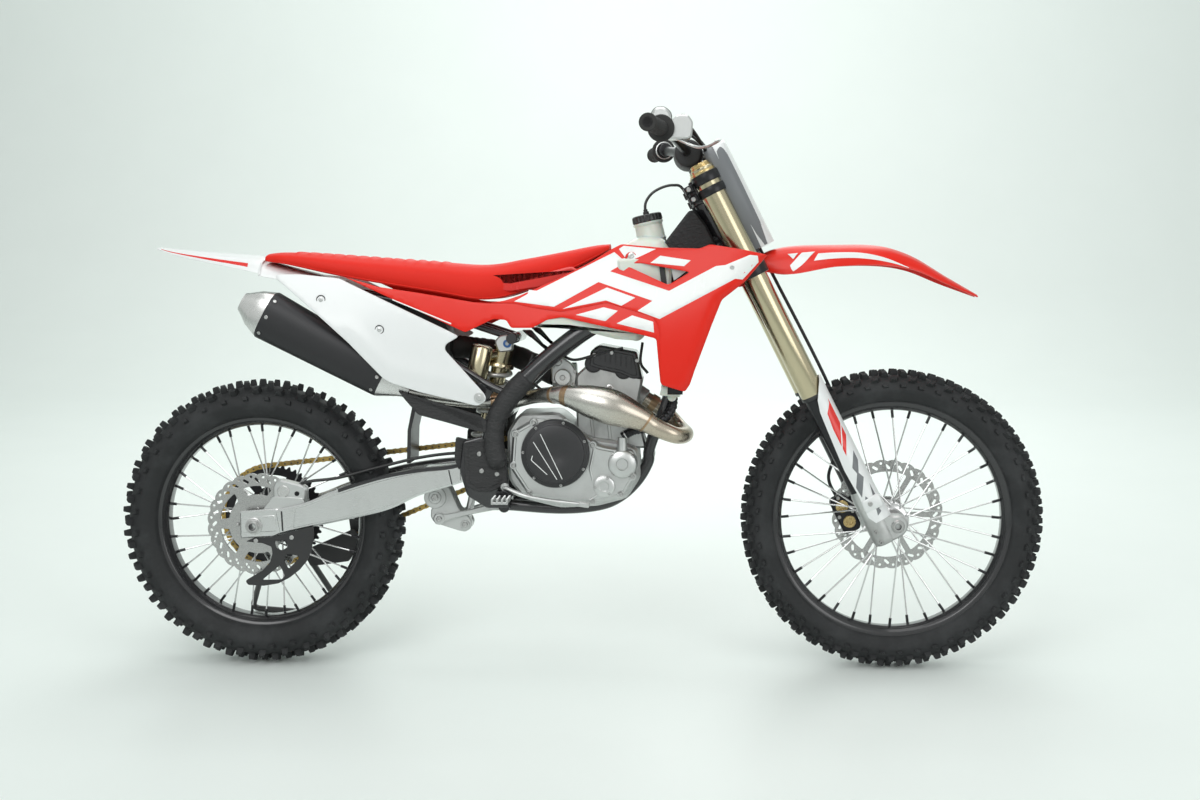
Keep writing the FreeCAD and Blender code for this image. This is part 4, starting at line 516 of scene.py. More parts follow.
brightGold = metal("bright_gold", (0.66, 0.50, 0.24), (0.54, 0.40, 0.18), 0.26, 0.2)
steel = metal("steel", (0.56, 0.56, 0.55), (0.40, 0.40, 0.40), 0.28, 0.3, scale=300.0, dirt=0.1)
spokeSteel = metal("spoke_steel", (0.66, 0.66, 0.66), (0.50, 0.50, 0.50), 0.22, 0.2)
discSteel = metal("disc_steel", (0.52, 0.52, 0.51), (0.36, 0.36, 0.36), 0.26, 0.5, scale=340.0)
chainGold = metal("chain_gold", (0.55, 0.38, 0.12), (0.32, 0.22, 0.08), 0.32, 0.3, dirt=0.4)
tyreRubber = rubberFinish("tyre_rubber")
gripRubber = rubberFinish("grip_rubber", (0.018, 0.018, 0.018), (0.035, 0.034, 0.032))
standSteel = plastic("stand_coat", (0.02, 0.02, 0.021), (0.06, 0.055, 0.05), 0.35, 0.3, 0.2)


def heatTinted(name):  # steel with a straw tint near the port
    f = Finish(name, Metallic=1.0)
    x = f.part("X")
    port = x.over(0.10, 0.10)
    line = f.noise(120.0, 3.0, 0.6, (1, 6, 6))
    warm = f.mix(port * 0.7, (0.58, 0.57, 0.54), (0.48, 0.38, 0.26))
    f.give(Base_Color=f.mix(line * 0.3 + f.noise(7.0).over(0.55, 0.2) * 0.3, warm, (0.40, 0.39, 0.36)))
    f.give(Roughness=0.20 + line * 0.16)
    f.bump(line * 0.3, 0.15, 0.0004)
    return f.material


def ribbedLeather(name):  # black moulded plastic with a coarse crackle, ridged like leather
    f = Finish(name, Specular_IOR_Level=0.4)
    coarse = f.noise(95.0, 2.0, 0.5, (1, 1, 2.2))
    fine = f.noise(600.0, 2.0)
    f.give(Base_Color=f.mix(coarse * 0.6, (0.020, 0.020, 0.021), (0.040, 0.040, 0.041)), Roughness=0.5 + fine * 0.15)
    f.bump(coarse.over(0.5, 0.10) + fine * 0.2, 0.6, 0.0012)
    return f.material


headerSteel = heatTinted("header_steel")
leather = ribbedLeather("ribbed_leather")
padCover = plastic("pad_cover", (0.020, 0.020, 0.021), (0.045, 0.045, 0.045), 0.55, 0.9, 0.0)
weldSteel = metal("weld_steel", (0.40, 0.27, 0.16), (0.26, 0.20, 0.15), 0.35, 0.6)
brushedCone = metal("brushed_cone", (0.70, 0.70, 0.69), (0.50, 0.50, 0.49), 0.27, 0.4, (1, 12, 1), 90.0)
mufflerBlack = metal("muffler_black", (0.020, 0.020, 0.022), (0.034, 0.034, 0.036), 0.42, 0.5, scale=420.0,
                     metallic=0.35)
chainDark = metal("chain_dark", (0.20, 0.17, 0.11), (0.08, 0.07, 0.05), 0.4, 0.3, dirt=0.3)
springSteel = metal("spring_steel", (0.60, 0.60, 0.58), (0.44, 0.44, 0.43), 0.34, 0.2, metallic=0.6)
blueRing = plastic("blue_ring", (0.02, 0.11, 0.34), (0.05, 0.16, 0.38), 0.3, 0.0, 0.3)
print("finishes made")

# Camera: the photograph's viewing place and turn, upright mm before the lean's shift
cameraSizes = {"place": (984.9, -3352.8, 1253.4), "yaw": -3.105, "pitch": 10.471, "roll": -0.548,
               "focal": 1489.0 / 1200}


def makeCamera(sizes):  # axes turned by yaw, pitch and roll; focal length as a share of the sensor's width
    yaw, pitch, roll = (math.radians(sizes[k]) for k in ("yaw", "pitch", "roll"))
    look = np.array([math.sin(yaw) * math.cos(pitch), math.cos(yaw) * math.cos(pitch), -math.sin(pitch)])
    right = np.array([math.cos(yaw), -math.sin(yaw), 0.0])
    up = np.cross(right, look)
    right, up = right * math.cos(roll) + up * math.sin(roll), up * math.cos(roll) - right * math.sin(roll)
    unleaned = leanRows @ rearAxle
    place = rearWorld + (np.array(sizes["place"]) - unleaned) * mm
    camera = bpy.data.objects.new("camera", bpy.data.cameras.new("camera"))
    bpy.context.scene.collection.objects.link(camera)
    turn = Matrix(np.stack([right, up, -look], 1).tolist()).to_4x4()
    camera.matrix_world = Matrix.Translation(Vector(place)) @ turn
    camera.data.sensor_width = 36.0
    camera.data.lens = 36.0 * sizes["focal"]
    camera.data.clip_end = 60.0
    bpy.context.scene.camera = camera


def makeStudio():  # pale floor bent up into a wall behind, sky light and five square lamps
    sizes = {"floor": 40.0, "pale": (0.84, 0.90, 0.87), "cloud": (0.81, 0.87, 0.84), "sky": (0.93, 0.97, 0.95, 1),
             "world": 0.46, "mirrored": 0.74, "wall": 3.2, "bend": 2.4, "high": 7.0}
    mesh = bpy.data.meshes.new("floor")
    h, r = sizes["floor"] / 2, sizes["bend"]
    turn = np.linspace(0, math.pi / 2, 33)
    line = np.vstack([[(-h, 0.0)], np.c_[sizes["wall"] + r * np.sin(turn), r - r * np.cos(turn)],
                      [(sizes["wall"] + r, sizes["high"])]])
    points = np.array([[x, y, z - 0.0005] for y, z in line for x in (-h, h)])
    quads = [(2 * k, 2 * k + 1, 2 * k + 3, 2 * k + 2) for k in range(len(line) - 1)]
    mesh.from_pydata(points.tolist(), [], quads)
    mesh.shade_smooth()
    floor = bpy.data.objects.new("floor", mesh)
    bpy.context.scene.collection.objects.link(floor)
    f = Finish("floor_paint")
    f.give(Base_Color=f.mix(f.noise(3.0, 3.0), sizes["pale"], sizes["cloud"]), Roughness=0.45)
    mesh.materials.append(f.material)
    world = bpy.data.worlds.new("studio")
    bpy.context.scene.world = world
    world.use_nodes = True
    tree = world.node_tree
    back = tree.nodes["Background"]
    rays = tree.nodes.new("ShaderNodeLightPath")
    seen = tree.nodes.new("ShaderNodeMath")
    seen.operation = "MAXIMUM"
    tree.links.new(rays.outputs["Is Camera Ray"], seen.inputs[0])
    tree.links.new(rays.outputs["Is Glossy Ray"], seen.inputs[1])
    level = tree.nodes.new("ShaderNodeMapRange")
    tree.links.new(seen.outputs[0], level.inputs["Value"])
    level.inputs["To Min"].default_value = sizes["world"]
    level.inputs["To Max"].default_value = sizes["mirrored"]
    back.inputs["Color"].default_value = sizes["sky"]
    tree.links.new(level.outputs[0], back.inputs["Strength"])
    lamps = [("key", (-1.2, -3.2, 3.2), 2.4, 62.0), ("fill", (2.6, -2.6, 1.8), 2.0, 24.0),
             ("back", (0.3, 3.0, 2.8), 2.4, 26.0), ("top", (0.0, -0.2, 3.6), 2.6, 34.0),
             ("wash", (0.0, 2.0, 4.6), 3.5, 120.0)]
    for name, place, size, power in lamps:
        lamp = bpy.data.lights.new(name, "AREA")
        lamp.size, lamp.energy = size, power
        thing = bpy.data.objects.new(name, lamp)
        bpy.context.scene.collection.objects.link(thing)
        thing.location = place
        thing.rotation_euler = (Vector((0, 0, 0.6) if name != "wash" else (0, 6.0, 1.8))
                                - Vector(place)).to_track_quat("-Z", "Y").to_euler()


makeCamera(cameraSizes)
makeStudio()
bpy.context.scene.view_settings.view_transform = "Standard"
print("camera and studio placed")

# Wheels

wheels = {"rear": {"radius": 336.0, "crown": 320.0, "half": 58.0, "bead": 247.0, "rimHalf": 35.0, "lug": 16.0,
                   "body": "rear_wheel", "centre": rearAxle, "flange": 48.0, "flangeY": 34.0, "hubHalf": 77.0,
                   "seatY": 60.0, "bore": 12.6, "rows": 36, "disc": 120.0, "discY": -60.0},
          "front": {"radius": 348.0, "crown": 335.0, "half": 42.0, "bead": 272.0, "rimHalf": 27.0, "lug": 13.0,
                    "body": "front_wheel", "centre": frontAxle, "flange": 38.0, "flangeY": 33.0, "hubHalf": 72.0,
                    "seatY": 56.0, "bore": 11.1, "rows": 48, "disc": 130.0, "discY": 54.0}, }
crownLine = [(0.62, 0.0), (0.80, 0.12), (0.97, 0.42), (0.93, 0.62), (0.80, 0.80), (0.52, 0.955), (0.25, 0.995),
             (0.0, 1.0)]


def carcassLine(w, count=60):  # half section from the bead to the crown, as (y, radius)
    share = np.array(crownLine)
    p = np.c_[share[:, 0] * w["half"] * 0.985, w["bead"] + share[:, 1] * (w["crown"] - w["bead"])]
    return smoothFlat(p, count)


def wheelPlace(centre, y, radius, turn):
    # place on a wheel: radius times sine and cosine of the turn, counted from the floor
    return np.stack([centre[0] - radius * np.sin(turn), centre[1] + y, centre[2] - radius * np.cos(turn)], -1)


def knobs(w, line, at, across, along, height, count, phase, skew=0.0, taper=0.78):
    # at = share along the half line; corners at +-across mm and +-along mm, top smaller by the taper
    step = np.r_[0, np.cumsum(np.linalg.norm(np.diff(line, axis=0), axis=1))]
    s = at * step[-1]
    corners = np.array([(-1, -1), (1, -1), (1, 1), (-1, 1)], float)
    turn0 = (np.arange(count) + phase) * tau / count
    rings = []
    for lift, size in ((-2.5, 1.06), (height * 0.72, taper * 1.06), (height, taper * 0.86)):
        sa = s + corners[:, 0] * across * size
        y, r = np.interp(sa, step, line[:, 0]), np.interp(sa, step, line[:, 1])
        y2, r2 = np.interp(sa + 2, step, line[:, 0]), np.interp(sa + 2, step, line[:, 1])
        ty, tr = y2 - y, r2 - r
        size2 = np.maximum(np.hypot(ty, tr), 1e-6)
        ny, nr = -tr / size2, ty / size2
        flip = np.where(nr * 1.0 + ny * np.sign(y) * 0.3 < 0, -1, 1)
        y, r = y + ny * flip * lift, r + nr * flip * lift
        r = np.minimum(r, w["radius"] - 0.3)
        turn = turn0[:, None] + (corners[:, 1] * along * size + corners[:, 0] * skew) / r
        rings.append(wheelPlace(w["centre"], np.broadcast_to(y, turn.shape), np.broadcast_to(r, turn.shape), turn))
    points = np.stack(rings, 1)  # count, 3 rings, 4 corners, xyz
    base = np.arange(count)[:, None] * 12
    sides = []
    for ring in (0, 4):
        for k in range(4):
            sides.append([ring + k, ring + (k + 1) % 4, ring + 4 + (k + 1) % 4, ring + 4 + k])
    sides += [[8, 9, 10, 11], [3, 2, 1, 0]]
    faces = [base + np.array(f) for f in sides]
    return points.reshape(-1, 3), faces


def tyre(name, w):  # carcass section turned round the axle, with four rows of knobs a side
    line = carcassLine(w)
    half = line[::-1]
    ring = np.vstack([line, (half * [-1, 1])[1:]])
    inner = [(-w["half"] * 0.55, w["bead"] - 2), (w["half"] * 0.55, w["bead"] - 2)]
    profile = np.vstack([ring, inner])
    patches = [lathe(profile, w["centre"], 160, ring=True)]
    n, h = w["rows"], w["lug"]
    wide = w["half"] / 58.0
    for side in (1, -1):
        def both(at, across, along, height, phase, skew=0.0):
            p, f = knobs(w, line, at, across * wide, along, height, n, phase, skew * side)
            p = p.copy()
            p[:, 1] *= side
            patches.append((p, f if side > 0 else [g[:, ::-1] for g in f]))
        both(0.935, 5.8, 8.2, h, 0.0 if side > 0 else 0.08)
        both(0.775, 7.0, 8.4, h * 0.98, 0.5, 1.6)
        both(0.605, 6.0, 8.0, h * 0.86, 0.02, -2.0)
        both(0.455, 5.2, 6.6, h * 0.48, 0.5, 1.0)
    piece(name, patches, tyreRubber, [name.replace("_look", "")], body=w["body"], smooth=30.0)


def rimProfile(w):  # closed section of the rim, (y, radius)
    h, b = w["rimHalf"], w["bead"]
    half = [(h * 0.40, b - 19.0), (h * 0.72, b - 13.0), (h * 0.93, b - 7.0), (h, b - 1.0), (h, b + 5.0),
            (h - 2.2, b + 7.6), (h - 4.2, b + 5.5), (h - 5.0, b - 0.5), (h * 0.50, b - 9.0)]
    half = np.array(half)
    return np.vstack([half, half[::-1] * [-1, 1]])


def spokeSet(w, radius, inner=0.0, outer=1.0):  # tips every 20 degrees a side, roots 31 degrees on, in pairs
    tubes = []
    for n in range(36):
        side, way = (1 if n % 2 else -1), (1 if n % 4 > 1 else -1)
        turn = math.radians(n * 10.0)
        root = wheelPlace(w["centre"], side * w["flangeY"] + way * 5.0, -(w["flange"] - 2.0),
                          -(turn + way * math.radians(31.0)))
        tip = wheelPlace(w["centre"], side * w["rimHalf"] * 0.3, -(w["bead"] - 19.4), -turn)
        root, tip = np.array(root), np.array(tip)
        tubes.append(tube([root + (tip - root) * inner, root + (tip - root) * outer], radius, 8))
    return tubes


def rimAndSpokes(which, w):  # rim and hub sections turned round the axle, with spokes, nipples and spoke heads
    piece(which + "_rim_look", [lathe(rounded(rimProfile(w), 1.2), w["centre"], 144, ring=True)], blackPaint,
          [which + "_rim"], body=w["body"], slot="black_aluminium")
    piece(which + "_nipples", spokeSet(w, 3.3, 0.92, 1.0), blackAlloy, body=w["body"])
    f, fy, half = w["flange"], w["flangeY"], w["hubHalf"]
    half = [(-half, 19.0), (-w["seatY"] + 1, 19.0), (-w["seatY"] + 1, 27.5), (-fy - 6, 27.5), (-fy - 3.5, f - 6),
            (-fy - 3, f), (-fy + 3, f), (-fy + 3.5, f - 5), (-fy + 7, 27.0), (-fy + 16, 24.5), (0, 23.5)]
    half = np.array(half)
    profile = np.vstack([half, (half[:-1] * [-1, 1])[::-1], [(w["hubHalf"], w["bore"]), (-w["hubHalf"], w["bore"])]])
    heads = []
    for n in range(36):
        side, way = (1 if n % 2 else -1), (1 if n % 4 > 1 else -1)
        at = wheelPlace(w["centre"], side * fy + way * 3.0, -(f - 4.5), -math.radians(n * 10.0 + way * 31.0))
        heads.append(bolt(at, (0, way, 0), 2.6, 3.4, 10))
    piece(which + "_hub_look", [lathe(profile, w["centre"], 72, ring=True)] + heads + spokeSet(w, 1.9, 0.0, 0.93),
          spokeSteel, [which + "_hub"], body=w["body"])


def petalDisc(which, w):  # round lobes at the edge, leaning slots, and kidney windows (rear) or arms (front) inside
    r, y = w["disc"], w["discY"]
    cx, cz = w["centre"][0], w["centre"][2]
    a = angles(360)
    edge = r - 4.5 * (1 - np.abs(np.sin(a * 12)) ** 0.7)
    loops = [np.c_[cx + edge * np.sin(a), cz + edge * np.cos(a)], circle(cx, cz, 26.5, 48)]

    def slot(middle, angle, length, width, lean):  # rounded slot, length along the turned direction
        t = angles(18)
        u = np.cos(t) * width / 2 + np.sign(np.cos(t)) * (length - width) / 2
        v = np.sin(t) * width / 2
        d = angle + lean
        px = cx + middle * math.sin(angle) + u * math.cos(d) + v * math.sin(d)
        pz = cz + middle * math.cos(angle) - u * math.sin(d) + v * math.cos(d)
        return np.c_[px, pz]

    for k in range(24):
        angle = tau * k / 24
        lobe = angle + tau / 48
        loops.append(circle(*ringOf((cx, cz), r - 8.5, [lobe])[0], 3.4, 12))
        loops.append(slot(r - 17.0, angle, 15.0, 6.6, 0.75))
    for k in range(6):
        angle = tau * k / 6
        rin, rout = (r * 0.58, r * 0.745) if which == "rear" else (43.0, r - 28.0)
        span = 0.40 if which == "rear" else 0.46
        t = np.linspace(-span, span, 9)
        outer = np.c_[cx + rout * np.sin(angle + t), cz + rout * np.cos(angle + t)]
        inner = np.c_[cx + rin * np.sin(angle + t[::-1] * 0.85), cz + rin * np.cos(angle + t[::-1] * 0.85)]
        loops.append(rounded(np.vstack([outer, inner]), 4.0))
    bolts = screws(ringOf((cx, cz), 34, [tau * k / 6 for k in range(6)]), y + (2.2 if y > 0 else -2.2), 5.0, 3.0, 16)
    piece(which + "_disc_look", [flatLoops(loops, y - 2, y + 2, 0.5)] + bolts, discSteel, [which + "_brake_disc"],
          body=w["body"], smooth=30.0)


for which, w in wheels.items():
    tyre(which + "_tyre_look", w)
    rimAndSpokes(which, w)
    petalDisc(which, w)
print("wheels made")

# Bodywork

bodySizes = {"x": 200.0, "z": 600.0, "length": 1000.0, "height": 400.0, "half": 190.0, "wall": 4.0, "raise": 1.6}
skinAlong = np.array([-0.20, -0.15, 0.05, 0.25, 0.42, 0.60, 0.75, 0.88, 1.02])
skinUp = np.array([-0.10, 0.10, 0.40, 0.70, 1.05])
skinShares = np.array([
    [0.70, 0.72, 0.73, 0.65, 0.50], [0.72, 0.75, 0.76, 0.68, 0.50], [0.77, 0.80, 0.80, 0.70, 0.50],
    [0.70, 0.72, 0.74, 0.64, 0.48], [0.70, 0.71, 0.72, 0.60, 0.40], [0.76, 0.80, 0.84, 0.66, 0.38],
    [0.88, 0.92, 0.96, 0.86, 0.62], [0.92, 0.96, 1.0, 0.96, 0.82], [0.88, 0.90, 0.94, 0.93, 0.86]])


def skinTerms(x, z):  # powers of the shares along and up, to the fifth and the second
    u, v = (x - bodySizes["x"]) / bodySizes["length"], (z - bodySizes["z"]) / bodySizes["height"]
    return np.stack([u ** i * v ** j for i in range(6) for j in range(3)], -1)


gridX, gridZ = np.meshgrid(bodySizes["x"] + skinAlong * bodySizes["length"],
                           bodySizes["z"] + skinUp * bodySizes["height"], indexing="ij")
skinWeights = np.linalg.lstsq(skinTerms(gridX, gridZ).reshape(-1, 18), skinShares.ravel(), rcond=None)[0]


def skinHeight(x, z):  # least-squares polynomial through the drawn half widths
    return bodySizes["half"] * (skinTerms(x, z) @ skinWeights)


def shroudHeight(x, z):  # the skin, folded inwards over the last stretch before the front edge and under the seat
    front = np.interp(z, [657, 672, 705, 804, 859, 898, 957], [997, 1008, 1019, 1056, 1078, 1128, 1178])
    fold = np.clip(x - front + 26.0, 0, None)
    dent = np.exp(-((x - 905) / 60) ** 2 - ((z - 905) / 26) ** 2)
    return skinHeight(x, z) - fold ** 2 * 0.014 - dent * 5.0


shroudOutline = [(226, 914), (306, 891), (397, 877), (466, 865), (523, 855), (557, 854), (591, 858), (625, 869),
                 (671, 889), (716, 909), (784, 943), (829, 971), (855, 984), (942, 975), (1030, 972), (1052, 981),
                 (1128, 968), (1178, 957), (1144, 917), (1128, 898), (1078, 859), (1056, 804), (1019, 705),
                 (1008, 672), (997, 656), (942, 674), (933, 773), (898, 782), (721, 820), (688, 814), (655, 796),
                 (606, 796), (595, 814), (566, 816), (503, 786), (477, 798)]
overOutline = [(530, 853), (557, 853), *shroudOutline[6:25], (944, 672), (941, 720), (941, 784), (936, 806),
               (925, 822), (823, 853), (721, 833), (655, 842), (613, 852)]
windowOutline = [(861, 938), (898, 941), (1008, 920), (960, 892)]
onShroud = {"band": [(613, 856), (644, 873), (646, 882), (664, 880), (839, 966), (865, 943), (830, 923), (962, 879),
                     (1065, 933), (1085, 935), (1139, 957), (1156, 955), (1158, 941), (1123, 903), (1107, 905),
                     (941, 817), (892, 835), (925, 857), (804, 899), (704, 844)],
            "topPatch": [(849, 973), (860, 980), (933, 972), (887, 951), (874, 946), (863, 954)],
            "upperPatch": [(942, 957), (1010, 946), (995, 933), (920, 941)],
            "middlePatch": [(723, 839), (823, 887), (887, 864), (856, 846), (821, 858)], }
onStrip = {"lowPatch": [(753, 826), (816, 843), (848, 835), (820, 812)],
           "lastPatch": [(845, 807), (880, 825), (927, 811), (929, 787)]}


def shrouds():  # two skins on the body box, with stripes and screws
    up = bodySizes["raise"]
    base = skin([rounded(inset(shroudOutline, 0.8), 5), rounded(inset(windowOutline, -1.5), 6)], shroudHeight,
                bodySizes["wall"] - 0.6, 9, 1.6, -0.4)
    over = skin([rounded(overOutline, 5), rounded(windowOutline, 6)], shroudHeight, 2.2, 9, 1.5, up)
    for side, turn in rightLeft:
        heads = []
        for x, z in ((878, 957), (1100, 930)):
            y = float(shroudHeight(np.array(x), np.array(z))) + up
            heads.append(bolt((x, y - 0.5, z), toLeft, 8.0 if x < 900 else 5.0, 3.4, 24))
        piece("shroud_%s_look" % side, [turn(base), turn(over)], red, ["shroud_" + side], smooth=40)
        decals = [skin([rounded(o, 1.0)], shroudHeight, 0.7, 8, 0.3, up + 0.35) for o in onShroud.values()]
        decals += [skin([rounded(o, 1.0)], shroudHeight, 0.7, 8, 0.3, 0.0) for o in onStrip.values()]
        piece("shroud_stripes_" + side, [turn(d) for d in decals], stripeWhite)
        piece("shroud_screws_" + side, [turn(b) for b in heads], paleAlloy)


sidePanelOutline = [(70, 920), (125, 920), (217, 910), (467, 790), (490, 778), (459, 760), (457, 748), (535, 662),
                    (549, 645), (549, 632), (530, 620), (400, 652), (335, 673), (317, 684), (240, 764), (195, 805),
                    (128, 863), (71, 909)]


def panelHeight(x, z):  # the skin with a shallow raised shoulder along the lower edge
    line = np.interp(x, [240, 335, 530], [800, 710, 665])
    return skinHeight(x, z) + 2.2 * np.exp(-((z - line) / 22) ** 2) - 1.5


def sidePanels():  # one skin on the body box, with a line, wells and bolts
    plate = skin([rounded(inset(sidePanelOutline, 0.5), 7)], panelHeight, bodySizes["wall"] - 0.5, 9, 2.0)
    line = skin([[(338, 863), (339, 860), (471, 805), (472, 808)]], skinHeight, 0.7, 6, 0.2, 0.2)
    for side, turn in rightLeft:
        piece("side_panel_%s_look" % side, [turn(plate)], white, ["side_panel_" + side], smooth=40)
        wells, heads = [], []
        for x, z in ((177, 862), (310, 794)):
            y = float(panelHeight(np.array(x), np.array(z)))
            wells.append(lathe([(-2, 10.5), (0.3, 10.5), (0.8, 9.6), (0.4, 8.8), (-1.6, 8.0)], (x, y, z), 40))
            heads.append(bolt((x, y - 0.4, z), toLeft, 5.2, 2.4))
        y = float(panelHeight(np.array(534.0), np.array(640.0)))
        heads.append(lathe([(-1, 12), (1.2, 12), (2.0, 11), (2.0, 8)], (534, y, 640), 40))
        heads.append(bolt((534, y + 1, 640), toLeft, 6.5, 4.0))
        piece("panel_wells_" + side, [turn(w) for w in wells], blackPlastic)
        piece("panel_bolts_" + side, [turn(h) for h in heads], paleAlloy)
        piece("panel_line_" + side, [turn(line)], stripeWhite)


def sheet(rows, count):  # smooth lines from row to row, and the normals: cross product of both slopes
    rows = np.asarray(rows, float)
    fine = np.stack([smoothPath(rows[:, k], count) for k in range(rows.shape[1])], 1)
    normal = np.cross(np.gradient(fine, axis=0), np.gradient(fine, axis=1))
    return fine, normal / np.maximum(np.linalg.norm(normal, axis=2), 1e-9)[:, :, None]


def shell(rows, wall, count):  # smooth sheet through rows of points, given a wall along its own normals
    fine, normal = sheet(rows, count)
    return grid(np.concatenate([fine, (fine - normal * wall)[:, ::-1]], 1), closeV=True, caps=True)


def archRow(x, top, half, drop, count=31):  # half an arch: the height falls by the drop towards the turned-down sides
    y = np.array([-1, -0.96, -0.8, -0.45, 0, 0.45, 0.8, 0.96, 1]) * half
    z = top - drop * np.array([1, 0.72, 0.28, 0.07, 0, 0.07, 0.28, 0.72, 1])
    return smoothPath(np.c_[np.full(9, x), y, z], count)


frontFender = {"x": 1120.0, "z": 850.0, "length": 545.0, "height": 134.0, "half": 78.0, "drop": 55.0, "shares": [
    (0.0, 0.343, 0.60, 0.15), (0.057, 0.433, 0.62, 0.25), (0.085, 0.70, 0.64, 0.6), (0.115, 0.88, 0.68, 0.85),
    (0.22, 0.98, 0.86, 1.2), (0.40, 1.0, 1.0, 0.95), (0.58, 0.98, 1.0, 0.85), (0.72, 0.80, 0.88, 0.62),
    (0.86, 0.46, 0.66, 0.36), (1.0, 0.13, 0.25, 0.10)]}
rearFender = {"x": -230.0, "z": 895.0, "length": 430.0, "height": 90.0, "half": 104.0, "drop": 40.0, "shares": [
    (0.0, 1.0, 0.40, 0.12), (0.10, 0.95, 0.60, 0.35), (0.28, 0.88, 0.78, 0.62), (0.53, 0.79, 0.92, 0.95),
    (0.60, 0.72, 0.95, 1.0), (0.612, 0.617, 0.95, 0.9), (0.84, 0.32, 0.92, 0.6), (1.0, 0.12, 0.85, 0.35)]}


def fenderRows(f, ridge=0.0, count=31):  # arches at the drawn shares, both flanks sunk by the ridge
    rows = np.array([archRow(f["x"] + a * f["length"], f["z"] + b * f["height"], c * f["half"], d * f["drop"], count)
                     for a, b, c, d in f["shares"]])
    share = rows[:, :, 1] / (np.abs(rows[:, :, 1]).max(1)[:, None])
    rows[:, :, 2] -= ridge * (1 - np.exp(-((np.abs(share) - 0.42) / 0.10) ** 2)) * (np.abs(share) < 0.9)
    return rows


def fenders():  # both arched sheets, and the wedges of the tail between two of its lines
    steered("front_fender_look", [shell(fenderRows(frontFender, 1.6), 3.0, 90)], red, ["front_fender"], smooth=50)
    piece("rear_fender_look", [shell(fenderRows(rearFender, 1.2), 3.0, 80)], white, ["rear_fender"], smooth=50)
    rows = fenderRows(rearFender)
    fine = sheet(rows[:4], 40)[0]
    wedge = []
    for part in (slice(3, 6), slice(-6, -3)):
        strip = fine[4:, part] + np.array([0, 0, 1.0])
        middle = strip.mean(1, keepdims=True)
        share = np.linspace(0.15, 1.0, len(strip))[:, None, None]
        strip = middle + (strip - middle) * share
        wedge.append(grid(np.concatenate([strip, strip[:, ::-1] - np.array([0, 0, 1.6])], 1), closeV=True, caps=True))
    piece("tail_stripe", wedge, stripeRed)


fenderMarks = {
    "stripe": [[(1298, 26), (1370, 25), (1415, 22), (1459, 16), (1500, 4)],
               [(1288, 18), (1370, 17), (1415, 14), (1459, 9), (1500, 2)]],
    "bar": [[(1262, 29), (1276, 29), (1291, 29)], [(1235, 16), (1238, 10), (1242, 5)]],
    "corner": [[(1230, 29), (1242, 29), (1253, 29)], [(1241, 23), (1242, 23), (1243, 23)]]}


def fenderStripes(lift=0.8, wall=0.9):
    # flat marks between two lines of (x, sample round the arch), laid on the fender
    fine, normal = sheet(fenderRows(frontFender, 0.0, 121)[:, :40], 160)
    normal *= np.sign(normal[80, 30, 2])
    marks = []
    for top, low in fenderMarks.values():
        top, low = (smoothFlat(line, 50) for line in (top, low))
        place = top[:, None] + (low - top)[:, None] * np.linspace(0, 1, 8)[None, :, None]
        i = np.interp(place[..., 0], fine[:, 20, 0], np.arange(160))
        j = np.clip(place[..., 1], 0, 38.9)
        i0, j0 = np.minimum(i.astype(int), 158), j.astype(int)
        di, dj = (i - i0)[..., None], (j - j0)[..., None]
        at = []
        for part in (fine, normal):
            near = part[i0, j0] * (1 - di) * (1 - dj) + part[i0 + 1, j0] * di * (1 - dj)
            at.append(near + part[i0, j0 + 1] * (1 - di) * dj + part[i0 + 1, j0 + 1] * di * dj)
        outer = at[0] + at[1] * lift
        both = np.concatenate([outer, (outer - at[1] * wall)[:, ::-1]], 1)
        marks.append(outward(grid(both, closeV=True, caps=True)))
    steered("fender_stripes", bothSides(marks), stripeWhite)


seatSizes = {"x": 35.0, "z": 860.0, "length": 794.0, "depth": 130.0, "half": 105.0, "ribFrom": 108.0, "ribTo": 452.0,
             "ribStep": 28.0, "ribHigh": 2.6,
             "shares": [(0.0, 0.70, 0.80, 0.74), (0.012, 0.68, 0.835, 0.80), (0.075, 0.62, 0.85, 0.92),
                        (0.25, 0.39, 0.78, 1.0), (0.5, 0.13, 0.67, 0.97), (0.64, 0.0, 0.62, 0.90),
                        (0.75, 0.15, 0.72, 0.76), (0.85, 0.42, 0.83, 0.64), (0.95, 0.715, 0.945, 0.54),
                        (0.995, 0.88, 0.97, 0.45)]}


